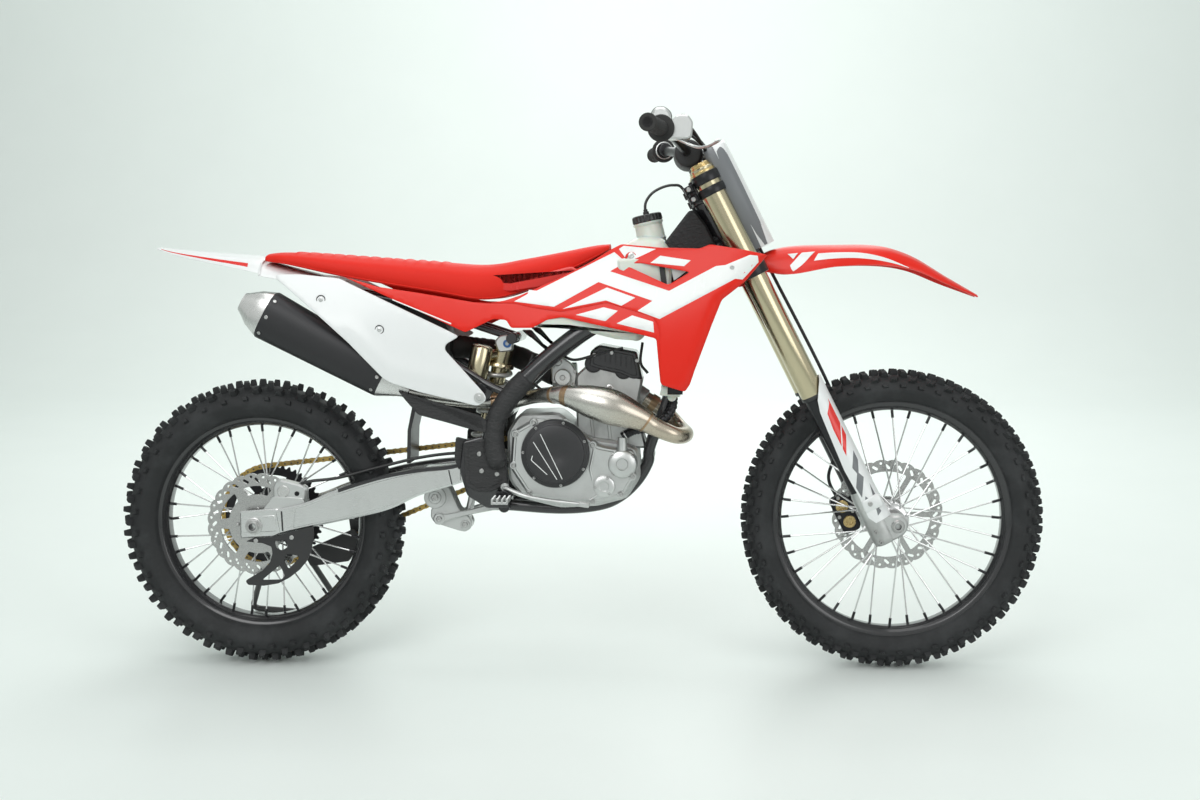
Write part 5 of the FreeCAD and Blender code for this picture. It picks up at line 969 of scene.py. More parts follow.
def seatPad():  # closed rings, flat below and crowned above, with ribs across the top behind the dip
    q = seatSizes
    rings = []
    for along, low, high, wide in q["shares"]:
        half, bottom, top = wide * q["half"], q["z"] + low * q["depth"], q["z"] + high * q["depth"]
        tall = top - bottom
        over = np.array([(half * 0.97, bottom), (half, bottom + tall * 0.3), (half * 0.97, bottom + tall * 0.62),
                         (half * 0.86, top - tall * 0.2), (half * 0.58, top - tall * 0.04), (0, top)])
        line = np.vstack([over, (over[:-1] * [-1, 1])[::-1]])
        line = smoothFlat(line, 41)
        floor = np.c_[np.linspace(-half * 0.92, half * 0.92, 7), np.full(7, bottom)]
        ring = np.vstack([line, floor])
        rings.append(np.c_[np.full(len(ring), q["x"] + along * q["length"]), ring])
    rings = np.array(rings)
    rows = sheet(rings, 260)[0]
    x, y = rows[:, :, 0], rows[:, :, 1]
    wave = (x - q["ribFrom"]) / q["ribStep"]
    bump = np.clip(np.cos((wave - np.round(wave)) * tau * 1.2), 0, 1) ** 0.8
    top = np.zeros(rows.shape[:2])
    top[:, :41] = 1
    middle = np.clip((0.80 - np.abs(y) / (np.abs(y).max(1)[:, None])) / 0.10, 0, 1)
    inside = np.clip((x - q["ribFrom"] + 14) / 6, 0, 1) * np.clip((q["ribTo"] - x) / 6, 0, 1)
    rows[:, :, 2] += bump * middle * inside * top * q["ribHigh"]
    seat = piece("seat_look", [grid(rows, closeV=True, caps=True)], seatRed, ["seat"], smooth=60)
    edge = rows[8:250, 0] + [0, 0.8, 3.0]
    piece("seat_piping", bothSides([tube(edge[::3], 1.5, 8)]), seatRed)


tankSizes = {"x": 650.0, "z": 765.0, "length": 320.0, "height": 240.0, "half": 112.0, "neckX": 912.0, "tilt": 12.0,
             "shares": [(0.0, 0.16, 0.24, 0.80), (0.16, 0.20, 0.38, 0.90), (0.45, 0.12, 0.78, 0.95),
                        (0.62, 0.06, 0.90, 0.90), (0.78, 0.02, 1.0, 0.86), (0.92, 0.40, 0.98, 0.80),
                        (1.0, 0.55, 0.86, 0.60)]}


def tankAndCap():  # rings of the tank, a neck turned on its tilted axis, a ridged cap and its vent hose
    q = tankSizes
    rings = []
    for along, low, high, wide in q["shares"]:
        half, bottom, top = wide * q["half"], q["z"] + low * q["height"], q["z"] + high * q["height"]
        tall = top - bottom
        line = np.array([(half * 0.8, bottom), (half, bottom + tall * 0.35), (half * 0.7, top - tall * 0.12),
                         (0, top)])
        line = np.vstack([line, (line[:-1] * [-1, 1])[::-1]])
        line = smoothFlat(line, 31)
        ring = np.vstack([line, np.c_[np.linspace(-half * 0.6, half * 0.6, 5), np.full(5, bottom)]])
        rings.append(np.c_[np.full(len(ring), q["x"] + along * q["length"]), ring])
    tilt = math.radians(q["tilt"])
    up = np.array([-math.sin(tilt), 0, math.cos(tilt)])
    mouth = np.array([q["neckX"], 0, q["z"] + q["height"] + 32.0])
    neck = lathe([(-66, 33), (-46, 33), (-42, 35), (-38, 33), (-8, 32), (-5, 35), (-1, 35), (0, 32)], mouth, 64, up)
    piece("tank_look", [loft(rings, 60), neck], tankPlastic, ["tank"], smooth=45)
    turn = angles(120)
    side = np.cross(up, [0, 1.0, 0])
    grip = 35.2 - 1.6 * (np.cos(turn * 24) > 0.2)
    levels = [(0.5, 33.0, 0), (1.5, 35.2, 0), (3, 35.2, 1), (13, 34.6, 1), (15, 33.8, 0), (17, 31.0, 0),
              (17, 22.0, 0), (15.4, 20.0, 0)]
    spoke = side * np.cos(turn)[:, None] + np.array([0, 1.0, 0]) * np.sin(turn)[:, None]
    rows = np.stack([mouth + up * h + np.where(ridged, grip * r / 35.2, r)[:, None] * spoke
                     for h, r, ridged in levels])
    hose = smoothPath([mouth + up * 12, mouth + up * 30, (908, 0, 1084), (922, 0, 1103), (945, 0, 1116),
                       (970, 0, 1121), (992, 0, 1113), forkPoint(-30, 0, 836)], 60)
    elbow = lathe([(0, 7), (8, 7), (9, 5), (14, 5)], mouth + up * 15.4, 24, up)
    piece("tank_cap_look", [grid(rows, closeV=True, caps=True), tube(hose, 3.2, 12), elbow], blackPlastic,
          ["tank_cap"], smooth=30)


plateSizes = {"half": 100.0, "ahead": 100.0, "bend": 34.0, "low": 697.0, "height": 256.0,
              "shares": [(0.0, 0.55), (0.25, 0.80), (0.6, 1.0), (0.92, 0.95), (1.0, 0.75)]}


def numberPlate():  # sheet bent round the steering axis, with grey flanks as painted shade on its bent-back sides, and a stripe each side
    q = plateSizes
    rows = []
    for rise, wide in q["shares"]:
        y = np.array([-1, -0.94, -0.8, -0.4, 0, 0.4, 0.8, 0.94, 1]) * wide * q["half"]
        ahead = q["ahead"] - q["bend"] * np.array([1, 0.62, 0.25, 0.05, 0, 0.05, 0.25, 0.62, 1])
        rows.append(smoothPath(forkPoint(ahead, y, q["low"] + rise * q["height"]), 31))
    steered("number_plate_look", [shell(rows, 3.0, 50)], white, ["number_plate"], smooth=50)
    flank, stripe = [], []
    for side in (-1, 1):
        rows, band = [], []
        for rise, wide in q["shares"]:
            up = 699.0 + rise * 250.0
            y = side * wide * np.array([88.0, 97.0, 101.0, 101.5, 96.0])
            rows.append(smoothPath(forkPoint(np.array([88.0, 79.0, 66.0, 50.0, 34.0 + 10 * rise]), y, up),
                                   17)[::side])
            y = side * wide * np.array([52.0, 58.0, 64.0])
            ahead = q["ahead"] + 0.7 - q["bend"] * (np.abs(y / wide) / q["half"]) ** 2.6
            band.append(smoothPath(forkPoint(ahead, y, up), 7)[::side])
        flank.append(shell(rows, 2.4, 40))
        stripe.append(shell(band, 1.2, 40))
    # the grey flanks are painted shade on the white plate's sides
    steered("plate_painted_shade_flanks", flank, greyPlasticAndPaintedShade, smooth=50)
    steered("plate_stripes", stripe, stripeRed, smooth=50)


shrouds()
sidePanels()
fenders()
fenderStripes()
seatPad()
tankAndCap()
numberPlate()
print("bodywork made")


underSizes = {"belly": (-131, -96), "face": (-128, -96), "pad": (-48, 48), "base": (-88, -60)}


def underBody():  # what shows under tank and seat: belly, strap, head pad, seat base
    q = underSizes
    belly = [(658, 801), (684, 822), (736, 826), (800, 818), (873, 800), (900, 786), (893, 772), (884, 768),
             (843, 771), (787, 785), (736, 797), (672, 796)]
    face = [(846, 950), (905, 956), (968, 942), (966, 884), (925, 880), (846, 925)]
    piece("tank_belly", bothSides([roundSlab(belly, 5, *q["belly"], 7), roundSlab(face, 6, *q["face"], 6)]),
          tankPlastic, smooth=40)
    strap = [slab([(938, 948), (950, 948), (958, 882), (946, 882)], -132, -126, 1)]
    piece("tank_strap", bothSides(strap), blackPlastic, slot="black_rubber")
    tab = [roundSlab([(966, 930), (1000, 922), (972, 900)], 3, -132, -128, 0.8)]
    piece("tank_bracket", bothSides(tab), paleAlloy)
    pad = [(944, 980), (1006, 1060), (1020, 1062), (1046, 1028), (1068, 984), (1000, 960)]
    ribs = []
    for a in range(954, 1010, 14):
        high = 985 + (a - 946) * 0.9
        ribs.append(slab([(a, high), (a + 4, high), (a + 42, 975), (a + 36, 972)], -49.2, -47, 0.6))
    piece("head_pad", [roundSlab(pad, 5, *q["pad"], 5)] + bothSides(ribs), leather, smooth=40)
    y = float(skinHeight(np.array([877.0]), np.array([952.0]))[0])
    ring = lathe([(y - 2, 8), (y + 1.0, 8.5), (y + 1.6, 10), (y + 1.4, 13), (y - 2, 14)], (877, 0, 952), 48, toRight,
                 ring=True)
    piece("screw_rings", bothSides([ring]), stripeRed)
    base = [(430, 905), (540, 886), (600, 876), (680, 888), (760, 925), (740, 935), (600, 900), (460, 925)]
    piece("seat_base", bothSides([roundSlab(base, 5, *q["base"], 4)]), stripeRed, smooth=40)


# Front end

def onFork(patch):  # (ahead, y, up) beside the steering axis to the upright drawing
    return forkPoint(patch[0][:, 0], patch[0][:, 1], patch[0][:, 2]), patch[1]


def upFork(ahead, y, profile, sides=64):  # profile of (up, radius) turned round a line along the fork
    return lathe(profile, forkPoint(ahead, y, 0.0), sides, forkUp)


def beads(low, high, radius, bite=1.0):  # profile of a rounded bar
    return [(low, radius - bite), (low + bite * 0.3, radius - bite * 0.3), (low + bite, radius),
            (high - bite, radius), (high - bite * 0.3, radius - bite * 0.3), (high, radius - bite)]


forkSizes = {"leg": 22.0, "y": 103.0, "start": 343.0, "top": 915.0, "clamps": (645.0, 850.0), "bandRadius": 36.0}


def forkLegs():  # tubes, clamps, sliders, feet and front axle, all turned or extruded along the fork
    q = forkSizes
    top, low = q["top"], q["start"]

    def onLeg(y, profile, sides=64):  # a profile turned round the leg on that side
        return upFork(q["leg"], y, profile, sides)

    tubes, seals, caps, rings = [], [], [], []
    for y in (-q["y"], q["y"]):
        tubes.append(onLeg(y, [(low + 4, 24.1), (low + 4, 27), (low + 6, 28), (640, 28), (top - 2, 28), (top, 26),
                               (top, 20)]))
        caps.append(onLeg(y, [(top - 1, 24), (top + 3, 24), (top + 4, 22), (top + 9, 22), (top + 11, 20)], 48))
        caps.append(onLeg(y, [(top + 2, 11), (top + 10.5, 11), (top + 11, 10)], 6))
        seals.append(onLeg(y, beads(low - 3, low + 6, 28.6, 1.5)))
        rings.append(onLeg(y, beads(top - 12, top - 6, 28.5, 0.5)))
    steered("fork_tubes_look", tubes, gold, ["fork_tubes"])
    steered("fork_caps", caps + rings, brightGold)
    steered("fork_seals", seals, blackPlastic, slot="black_rubber")
    bands, bandScrews, webs = [], [], []
    for start in q["clamps"]:
        for y in (-q["y"], q["y"]):
            high = start > 700
            bands.append(onLeg(y, beads(start, start + (20 if high else 46), q["bandRadius"] - 4 * high, 2.5)))
            if high:
                bands.append(onLeg(y, beads(start + 29, start + 52, q["bandRadius"] - 4, 2.5)))
            way = 1 if y > 0 else -1
            for up in (10, 34):
                ear = [(-34, -8), (-12, -9), (-12, 9), (-34, 8)]
                bands.append(onFork(slab([(a, start + up + u) for a, u in ear], y - way * 13, y + way * 13, 2.5)))
                at = forkPoint(-24.0, y + way * 12.5, start + up)
                bandScrews.append(bolt(at, (0, way, 0), 5.5, 5.0, 20))
        plate = [(-6, start + 9), (28, start + 9), (30, start + 20), (28, start + 37), (-6, start + 37),
                 (-10, start + 22)]
        webs.append(onFork(roundSlab(plate, 4, -q["y"] + 20, q["y"] - 20, 2.5)))
        webs.append(upFork(0, 0, beads(start + 7, start + 39, 28, 2.0)))
    stem = upFork(0, 0, [(652, 14), (892, 14), (894, 16), (902, 16), (904, 13)])
    nut = upFork(0, 0, [(889, 15.5), (898, 15.5), (900, 14)], 6)
    steered("triple_clamps_look", bands + webs + [stem, nut], blackAlloy, ["triple_clamps"], slot="cast_aluminium")
    steered("clamp_screws", bandScrews, steel)
    sliders, feet, heads = [], [], []
    for y in (-q["y"], q["y"]):
        sliders.append(onLeg(y, [(104, 23.9), (446, 23.9)]))
        feet.append(onLeg(y, [(-25, 22), (-22, 25), (-14, 27), (88, 27), (98, 26.6), (104, 25.2), (108, 24.4)]))
        foot = [(18, -25), (58, -25), (74, -19), (84, -6), (84, 8), (76, 20), (58, 26), (44, 44), (30, 50), (18, 44)]
        feet.append(onFork(roundSlab(foot, 7, y - 21, y + 21, 4)))
        way = 1 if y > 0 else -1
        for up in (-12, 14):
            heads.append(bolt(forkPoint(10.0, y + way * 19.5, float(up) - 4), (0, way, 0), 5.0, 8.0, 18))
    axle = (frontAxle[0], 0, frontAxle[2])
    steered("fork_sliders", sliders, blackAlloy)
    steered("fork_lowers_look", feet, castAlloy, ["fork_lowers"])
    ends = [lathe([(-133, 7.1), (-133, 10), (-132, 10.9), (132, 10.9), (133, 10), (133, 7.1)], axle, 48, ring=True),
            lathe([(-129, 7.2), (-129, 13), (-127, 14.6), (-124, 14.6), (-124, 7.2)], axle, 48, ring=True),
            lathe([(125, 11), (125, 15.5), (126, 17), (131, 17), (132, 15.5), (132, 11)], axle, 6, ring=True)]
    steered("front_axle_look", ends + heads, steel, ["front_axle"])
    # black lining inside the hollow axle: painted shade in the bore
    dark = lathe([(-132.5, 6.6), (-132.5, 7.4), (132.5, 7.4), (132.5, 6.6)], axle, 40, ring=True)
    steered("front_axle_bore_shade", [dark], blackPlastic)


guardSizes = {"radius": 34.5, "wall": 3.0, "low": 31.0, "high": 383.0, "back": 6.5, "width": 50.0, "wrap": 2.36}


def guardHeight(ahead, up):  # the guard's round outside, measured from the middle
    return forkSizes["y"] + np.sqrt(np.maximum(guardSizes["radius"] ** 2 - (ahead - forkSizes["leg"]) ** 2, 30.0))


def forkGuards():  # part of a round wall beside each slider, its back edge cut in waves, with marks
    q = guardSizes
    v = np.linspace(0, 1, 90)
    back = np.interp(v, [0, 0.05, 0.19, 0.39, 0.60, 0.79, 0.865, 0.93, 1.0],
                     [0.25, 0.05, 0.09, 0.02, 0.11, 0.2, 0.34, 0.64, 1.0])
    start = np.arcsin(np.clip((q["back"] + back * q["width"] - forkSizes["leg"]) / q["radius"], -1, 1))
    share = np.linspace(0, 1, 30)
    angle = start[:, None] * (1 - share) + q["wrap"] * share
    foot = np.exp(-(v / 0.10) ** 2)[:, None]
    flare = 1 + foot * 0.10 * np.exp(-((angle - 1.3) / 0.5) ** 2)

    def skinAt(radius):  # round wall at the radius, flared at the foot
        r = radius * flare
        return np.stack([forkSizes["leg"] + r * np.sin(angle), forkSizes["y"] + r * np.cos(angle),
                         np.broadcast_to(q["low"] + v[:, None] * (q["high"] - q["low"]), angle.shape)], 2)

    outer, inner = skinAt(q["radius"]), skinAt(q["radius"] - q["wall"])
    left = onFork(grid(np.concatenate([outer, inner[:, ::-1]], 1), closeV=True, caps=True))
    marks = (("red", stripeRed, 0.3, 0.45, [[(26, 196), (47, 238), (47, 330), (44, 318), (30, 300), (26, 262)]]),
             ("grey", greyPlasticAndPaintedShade, 0.3, 0.45,
              [[(14, 122), (30, 150), (26, 166), (46, 200), (46, 176), (34, 150), (40, 136), (16, 96)],
               [(14, 76), (24, 96), (34, 78)], [(30, 44), (46, 118), (47, 52)]]),
             ("line", stripeWhite, 0.2, 0.75, [[(26, 214), (47, 262), (47, 268), (26, 220)]]))
    pad = onFork(roundSlab([(8, 60), (52, 60), (54, 90), (10, 90)], 6, 128, 139, 2.5))
    for side, turn in rightLeft:
        for name, finish, edge, lift, outlines in marks:
            shapes = [rounded(o, 1.0) if name != "line" else o for o in outlines]
            patches = [turn(onFork(skin([o], guardHeight, 0.8, 6, edge, lift))) for o in shapes]
            steered("fork_guard_%s_%s" % (name, side), patches, finish)
        screw = bolt(forkPoint(26.0, 138.6, 76.0), toLeft, 5.5, 3.5)
        steered("fork_guard_screw_" + side, [turn(screw)], steel)
    steered("fork_guards_look", bothSides([left, pad]), white, ["fork_guards"], smooth=50)


brakeSizes = {"outer": (37.5, 50), "inner": (58, 70.5), "ahead": -27.0, "pistons": (26.0, 66.0), "hose": 3.9}


def frontBrake():  # caliper halves with pistons and pins, and the hose up the fork
    q = brakeSizes
    box = [(-50, 6), (-42, 0), (-12, 0), (-5, 10), (-5, 80), (-14, 92), (-42, 92), (-50, 84)]
    body = [onFork(roundSlab(box, 5, *q["inner"], 4)), onFork(roundSlab(box, 5, *q["outer"], 4)),
            onFork(slab([(-50, 12), (-46, 8), (-46, 84), (-50, 80)], 46, 62, 1.5)),
            onFork(roundSlab([(-24, 37), (20, 37), (22, 46), (20, 74), (-24, 74)], 5, 70, 88, 3))]
    pistons = [lathe([(-11, 15), (0, 15), (2, 13.5), (2, 8), (0.5, 7)], forkPoint(q["ahead"], 36.0, up), 40, toRight)
               for up in q["pistons"]]
    pins = [bolt(forkPoint(a, 37.5, u), toRight, 4.5, 3.0, 16)
            for a, u in ((-44.0, 46.0), (-10.0, 46.0), (-27.0, 88.0))]
    hose = [forkPoint(-28, 66, 84), forkPoint(-24, 66, 138), forkPoint(22, 64.5, 193), forkPoint(70, 68.5, 294),
            forkPoint(70, 68.5, 651), forkPoint(70, 51, 743), forkPoint(70, 48, 850), (1046, 42, 1188),
            (1046, -70, 1188), (1009, -162, 1235), (982.5, -216.4, 1235.4)]
    steered("front_brake_look", body + [tube(smoothPath(hose, 160), q["hose"], 12)], blackAlloy, ["front_brake"])
    steered("brake_pistons", pistons, brightGold)
    steered("brake_pins", pins, steel)


barSizes = {"x": 1004.0, "z": 1188.0, "gripX": 920.0, "gripZ": 1223.5, "half": 400.0, "grip": 125.0, "radius": 11.1}


def handlebar():  # bar along its bends, pad, grips, levers, controls and cables
    q = barSizes
    end = np.array([q["x"], -70.0, q["z"]])
    root = np.array([q["gripX"] + 25, q["grip"] - q["half"], q["gripZ"]])
    bend = end + (root - end) * [0.42, 0.42, 0.62]
    tip = np.array([q["gripX"], 0.3 - q["half"], q["gripZ"]])
    half = np.vstack([np.linspace(tip, root, 10), np.linspace(root, bend, 8)[1:], np.linspace(bend, end, 6)[1:]])
    path = np.vstack([half, (half * [1, -1, 1])[::-1]])
    for _ in range(2):
        path[1:-1] = (path[:-2] + path[1:-1] * 2 + path[2:]) / 4
    path = smoothPath(path, 160)
    posts = []
    for y in (-36.0, 36.0):
        posts.append(upFork(float((np.array([q["x"], 0, q["z"]]) - forkFoot) @ forkAhead), y,
                            [(889, 15), (893, 14), (930, 13), (960, 13)], 32))
        block = np.array([(-19, -22), (19, -22), (20, 12), (12, 20), (-12, 20), (-20, 12)]) + [q["x"] + 4, q["z"] - 8]
        posts.append(roundSlab(block, 5, y - 17, y + 17, 3))
    steered("handlebar_look", [tube(path, q["radius"], 24)] + posts, blackAlloy, ["handlebar"])
    turn = angles(48)
    y = np.array([-70, -69, -64, -40, 0, 40, 64, 69, 70.0])
    r = np.array([20, 27, 31, 33.5, 34, 33.5, 31, 27, 20.0])
    rows = np.stack([np.stack([q["x"] + 1 + r[k] * np.cos(turn), np.full(48, y[k]), q["z"] + r[k] * np.sin(turn)], 1)
                     for k in range(9)])
    pad = steered("bar_pad", [loft(rows, 40)], padCover, smooth=60)
    for side in (-1, 1):
        flip = np.array([1, side, 1.0])
        a, b = tip * [1, -1, 1] * flip, root * [1, -1, 1] * flip
        along = (b - a) / np.linalg.norm(b - a)
        length = float(np.linalg.norm(b - a))
        ribs = [(0, 13), (0, 17), (2, 19), (5, 19), (6, 16.6)]
        for k in range(12):
            at = 10 + k * 9.2
            ribs += [(at, 15.6), (at + 1.2, 16.9), (at + 5.6, 16.9), (at + 6.8, 15.6)]
        ribs += [(length - 2, 16.2), (length - 1, 27), (length + 1, 29), (length + 5, 29), (length + 6, 27),
                 (length + 6, 13)]
        name = "right" if side < 0 else "left"
        steered("grip_" + name, [lathe(ribs, a, 48, along)], gripRubber)
        clamp = [lathe([(0, 14), (0, 18.5), (2, 19.5), (9, 19.5), (11, 18), (11, 14)], a + along * (length + 7), 48,
                       along)]
        perch = b + along * (30 if side < 0 else 22)
        ahead = perch + np.array([27.0, 0, -5.0])
        clamp.append(lathe(beads(-11, 11, 15.6, 1.5), perch, 40, along))
        clamp.append(tube(np.linspace(perch, ahead, 4), [12, 11, 9.5, 9], 24))
        lever = smoothPath([ahead + [0, side * 6, 0], ahead + [16, side * 30, -2], a + along * 82 + [66, 0, -13],
                            a + along * 17 + [66, 0, -14]], 60)
        if side < 0:
            lever = smoothPath([ahead + [0, -6, -14], ahead + [40, -22, -34], ahead + [66, -50, -36],
                                a + along * 60 + [134, 0, -34], a + along * 17 + [136, 0, -38]], 60)
        width = np.interp(np.linspace(0, 1, 60), [0, 0.2, 0.8, 0.94, 1], [6.0, 5.0, 4.2, 5.4, 2.0])
        steered("lever_" + name, [tube(lever, width, 20, 0.62)], paleAlloy, slot="black_aluminium")
        parts = [lathe([(0, 12), (0, 20), (1.5, 21.5), (5, 21.5), (6, 20), (6, 12)], b + along * 6.5, 48, along)]
        if side < 0:
            box = np.array([(-17, -17), (28, -17), (34, -8), (36, 18), (26, 33), (2, 34), (-8, 24),
                            (-17, 12)]) + [ahead[0], ahead[2]]
            parts.append(roundSlab(box, 5, ahead[1] - 25, ahead[1] + 25, 3.5))
            parts.append(lathe(beads(-34, -22, 9, 1.5), ahead, 32, toRight))
            outline = np.array([(-20, -18), (16, -20), (24, 0), (22, 34), (8, 46), (-10, 46), (-20, 34),
                                (-24, 6)]) + [b[0], b[2]]
            parts.append(roundSlab(outline, 7, b[1] + 8, b[1] + 32, 5))
            strap = roundSlab(inset(outline, -1.6), 7, b[1] + 17, b[1] + 23, 1)
            steered("throttle_strap", [strap], blackPlastic, slot="black_rubber")
            for dy in (-17, 17):
                parts.append(bolt(ahead + [14, dy, 33.6], (0, 0, 1), 3.6, 2.2, 14))
        steered("control_" + name, parts, paleAlloy)
        steered("bar_clamp_" + name, clamp, blackAlloy, ["bar_controls"] if side < 0 else ())
    cables = []
    for k, (start, last) in enumerate((((948, 258, 1222), (40, 30, 640)), ((960, -262, 1218), (44, -22, 640)),
                                       ((958, -266, 1226), (48, -12, 640)))):
        side = 1 if start[1] > 0 else -1
        way = [start, (985, side * 190, 1222 + 6 * k), (1030, side * (110 - 14 * k), 1200 + 8 * k),
               forkPoint(72, side * 48, 872 - 12 * k), forkPoint(70, side * (40 - 8 * k), 780),
               forkPoint(last[0] + 14, last[1], 700), forkPoint(last[0] - 4, last[1], 640)]
        cables.append(tube(smoothPath(way, 90), 2.9, 10))
    steered("bar_cables", cables, blackPlastic, slot="black_rubber")


forkLegs()
forkGuards()
frontBrake()
handlebar()
print("front end made")

# Exhaust and engine

portPlace = np.array([905.0, 0, 628.0])
pipeSizes = {"unit": 300.0, "radius": 36.0}
headerShares = np.array([
    (0.0, 0.0, 0.0, 0.5), (0.15, 0.0, -0.10, 0.5), (0.27, -0.12, -0.22, 0.52), (0.31, -0.34, -0.245, 0.52),
    (0.23, -0.50, -0.235, 0.52), (0.07, -0.52, -0.165, 0.60), (-0.02, -0.53, -0.11, 0.76), (-0.22, -0.54, -0.03, 1.1),
    (-0.40, -0.53, 0.02, 1.0), (-0.56, -0.50, 0.055, 0.67), (-0.66, -0.44, 0.06, 0.53), (-0.77, -0.34, 0.05, 0.47),
    (-0.87, -0.25, 0.03, 0.46), (-1.0, -0.215, 0.0, 0.46), (-1.22, -0.215, -0.01, 0.46), (-1.48, -0.26, 0.02, 0.46),
    (-1.68, -0.31, 0.055, 0.46)])
headerWelds = [(0.025, 3.0, 2), (0.33, 1.5, 1), (0.535, 1.2, 1), (0.545, 0.8, 1), (0.60, 1.2, 1), (0.80, 2.6, 3)]
mufflerSizes = {"tail": (42.0, -98.0, 828.0), "length": 308.0, "slope": 28.5, "half": (42.0, 58.0)}


def mufflerPlace(shares):  # (share along, y, height) to the upright drawing
    a = math.radians(mufflerSizes["slope"])
    shares = np.asarray(shares, float)
    d = shares[..., 0] * mufflerSizes["length"]
    x = mufflerSizes["tail"][0] + d * math.cos(a) + shares[..., 2] * math.sin(a)
    z = mufflerSizes["tail"][2] - d * math.sin(a) + shares[..., 2] * math.cos(a)
    return np.stack([x, mufflerSizes["tail"][1] + shares[..., 1], z], -1)


def mufflerRings(table, sides=48, power=2.7):  # rings of (share, tall, wide), flattened towards a rounded box
    t = angles(sides)
    c, n = np.cos(t), np.sin(t)
    corner = (np.abs(c) ** power + np.abs(n) ** power) ** (-1 / power)
    tallest, widest = mufflerSizes["half"][1] * 0.97, mufflerSizes["half"][0] * 0.97
    rings = []
    for along, tall, wide in table:
        y, z = n * corner * wide * widest, c * corner * tall * tallest
        rings.append(mufflerPlace(np.stack([np.full(sides, along), y, z], 1)))
    return rings


def exhaust():  # header of changing radius, welds, muffler, cones and rivets
    places = headerShares[:, :3] * pipeSizes["unit"] + portPlace
    places = np.vstack([places, mufflerPlace([1.205, 0, 0])])
    radii = np.append(headerShares[:, 3], headerShares[-1, 3]) * pipeSizes["radius"]
    path = smoothPath(places, 220)
    wide = smoothPath(np.c_[radii, radii, radii], 220)[:, 0]
    piece("exhaust_header_look", [tube(path, wide, 40)], headerSteel, ["exhaust_header"], smooth=60)
    rings = []
    for share, high, half in headerWelds:
        k = int(share * 219)
        rings.append(tube(path[k - half:k + half + 1], wide[k - half:k + half + 1] + high, 40))
    piece("header_welds", rings, weldSteel)
    body = np.stack(mufflerRings([(0.0, 1.0, 1.0), (0.006, 1.02, 1.02), (0.02, 1.02, 1.02), (0.5, 0.92, 0.98),
                                  (0.975, 0.82, 0.95), (0.995, 0.80, 0.93)]))
    piece("muffler_look", [grid(body, closeV=True, caps=True)], mufflerBlack, ["muffler"], smooth=40)
    tail = np.stack(mufflerRings([(0.0, 0.985, 0.985), (-0.01, 0.985, 0.985), (-0.10, 0.78, 0.84),
                                  (-0.185, 0.44, 0.57), (-0.20, 0.40, 0.54), (-0.20, 0.31, 0.42),
                                  (-0.06, 0.30, 0.41)]))
    front = np.stack(mufflerRings([(0.99, 0.79, 0.92), (1.005, 0.79, 0.92), (1.14, 0.40, 0.52), (1.17, 0.33, 0.45),
                                   (1.205, 0.30, 0.41)]))
    piece("muffler_cones", [grid(tail, closeV=True, caps=True), grid(front, closeV=True, caps=True)], brushedCone)
    rivets = []
    for along, tall, wide in ((0.035, 1.02, 1.02), (0.96, 0.825, 0.95)):
        for t in (0.9, 1.57, 2.25, 4.0, 4.71, 5.4):
            c, n = math.cos(t), math.sin(t)
            k = (abs(c) ** 2.7 + abs(n) ** 2.7) ** (-1 / 2.7)
            y, z = n * k * wide * 40.74, c * k * tall * 56.26
            at = mufflerPlace([along, y, z])
            out = mufflerPlace([along, y + n * 3, z + c * 3]) - at
            rivets.append(bolt(at - out * 0.15, out, 4.2, 2.2, 16))
    piece("muffler_rivets", rivets, steel, slot="stainless")


clutchAt = (704.0, 512.0)
caseBox = {"x": 590.0, "z": 382.0, "length": 320.0, "height": 225.0}


def onCase(shares):  # shares of the engine's box to (x, z)
    return np.array(shares) * [caseBox["length"], caseBox["height"]] + [caseBox["x"], caseBox["z"]]


engineSizes = {"case": (-84, 60), "barrel": (-56, 56), "head": (-58, 58), "cover": (-110, -84.5),
               "leftCover": (60.5, 109), "lid": (-60.5, 60.5), "screw": 5.4}


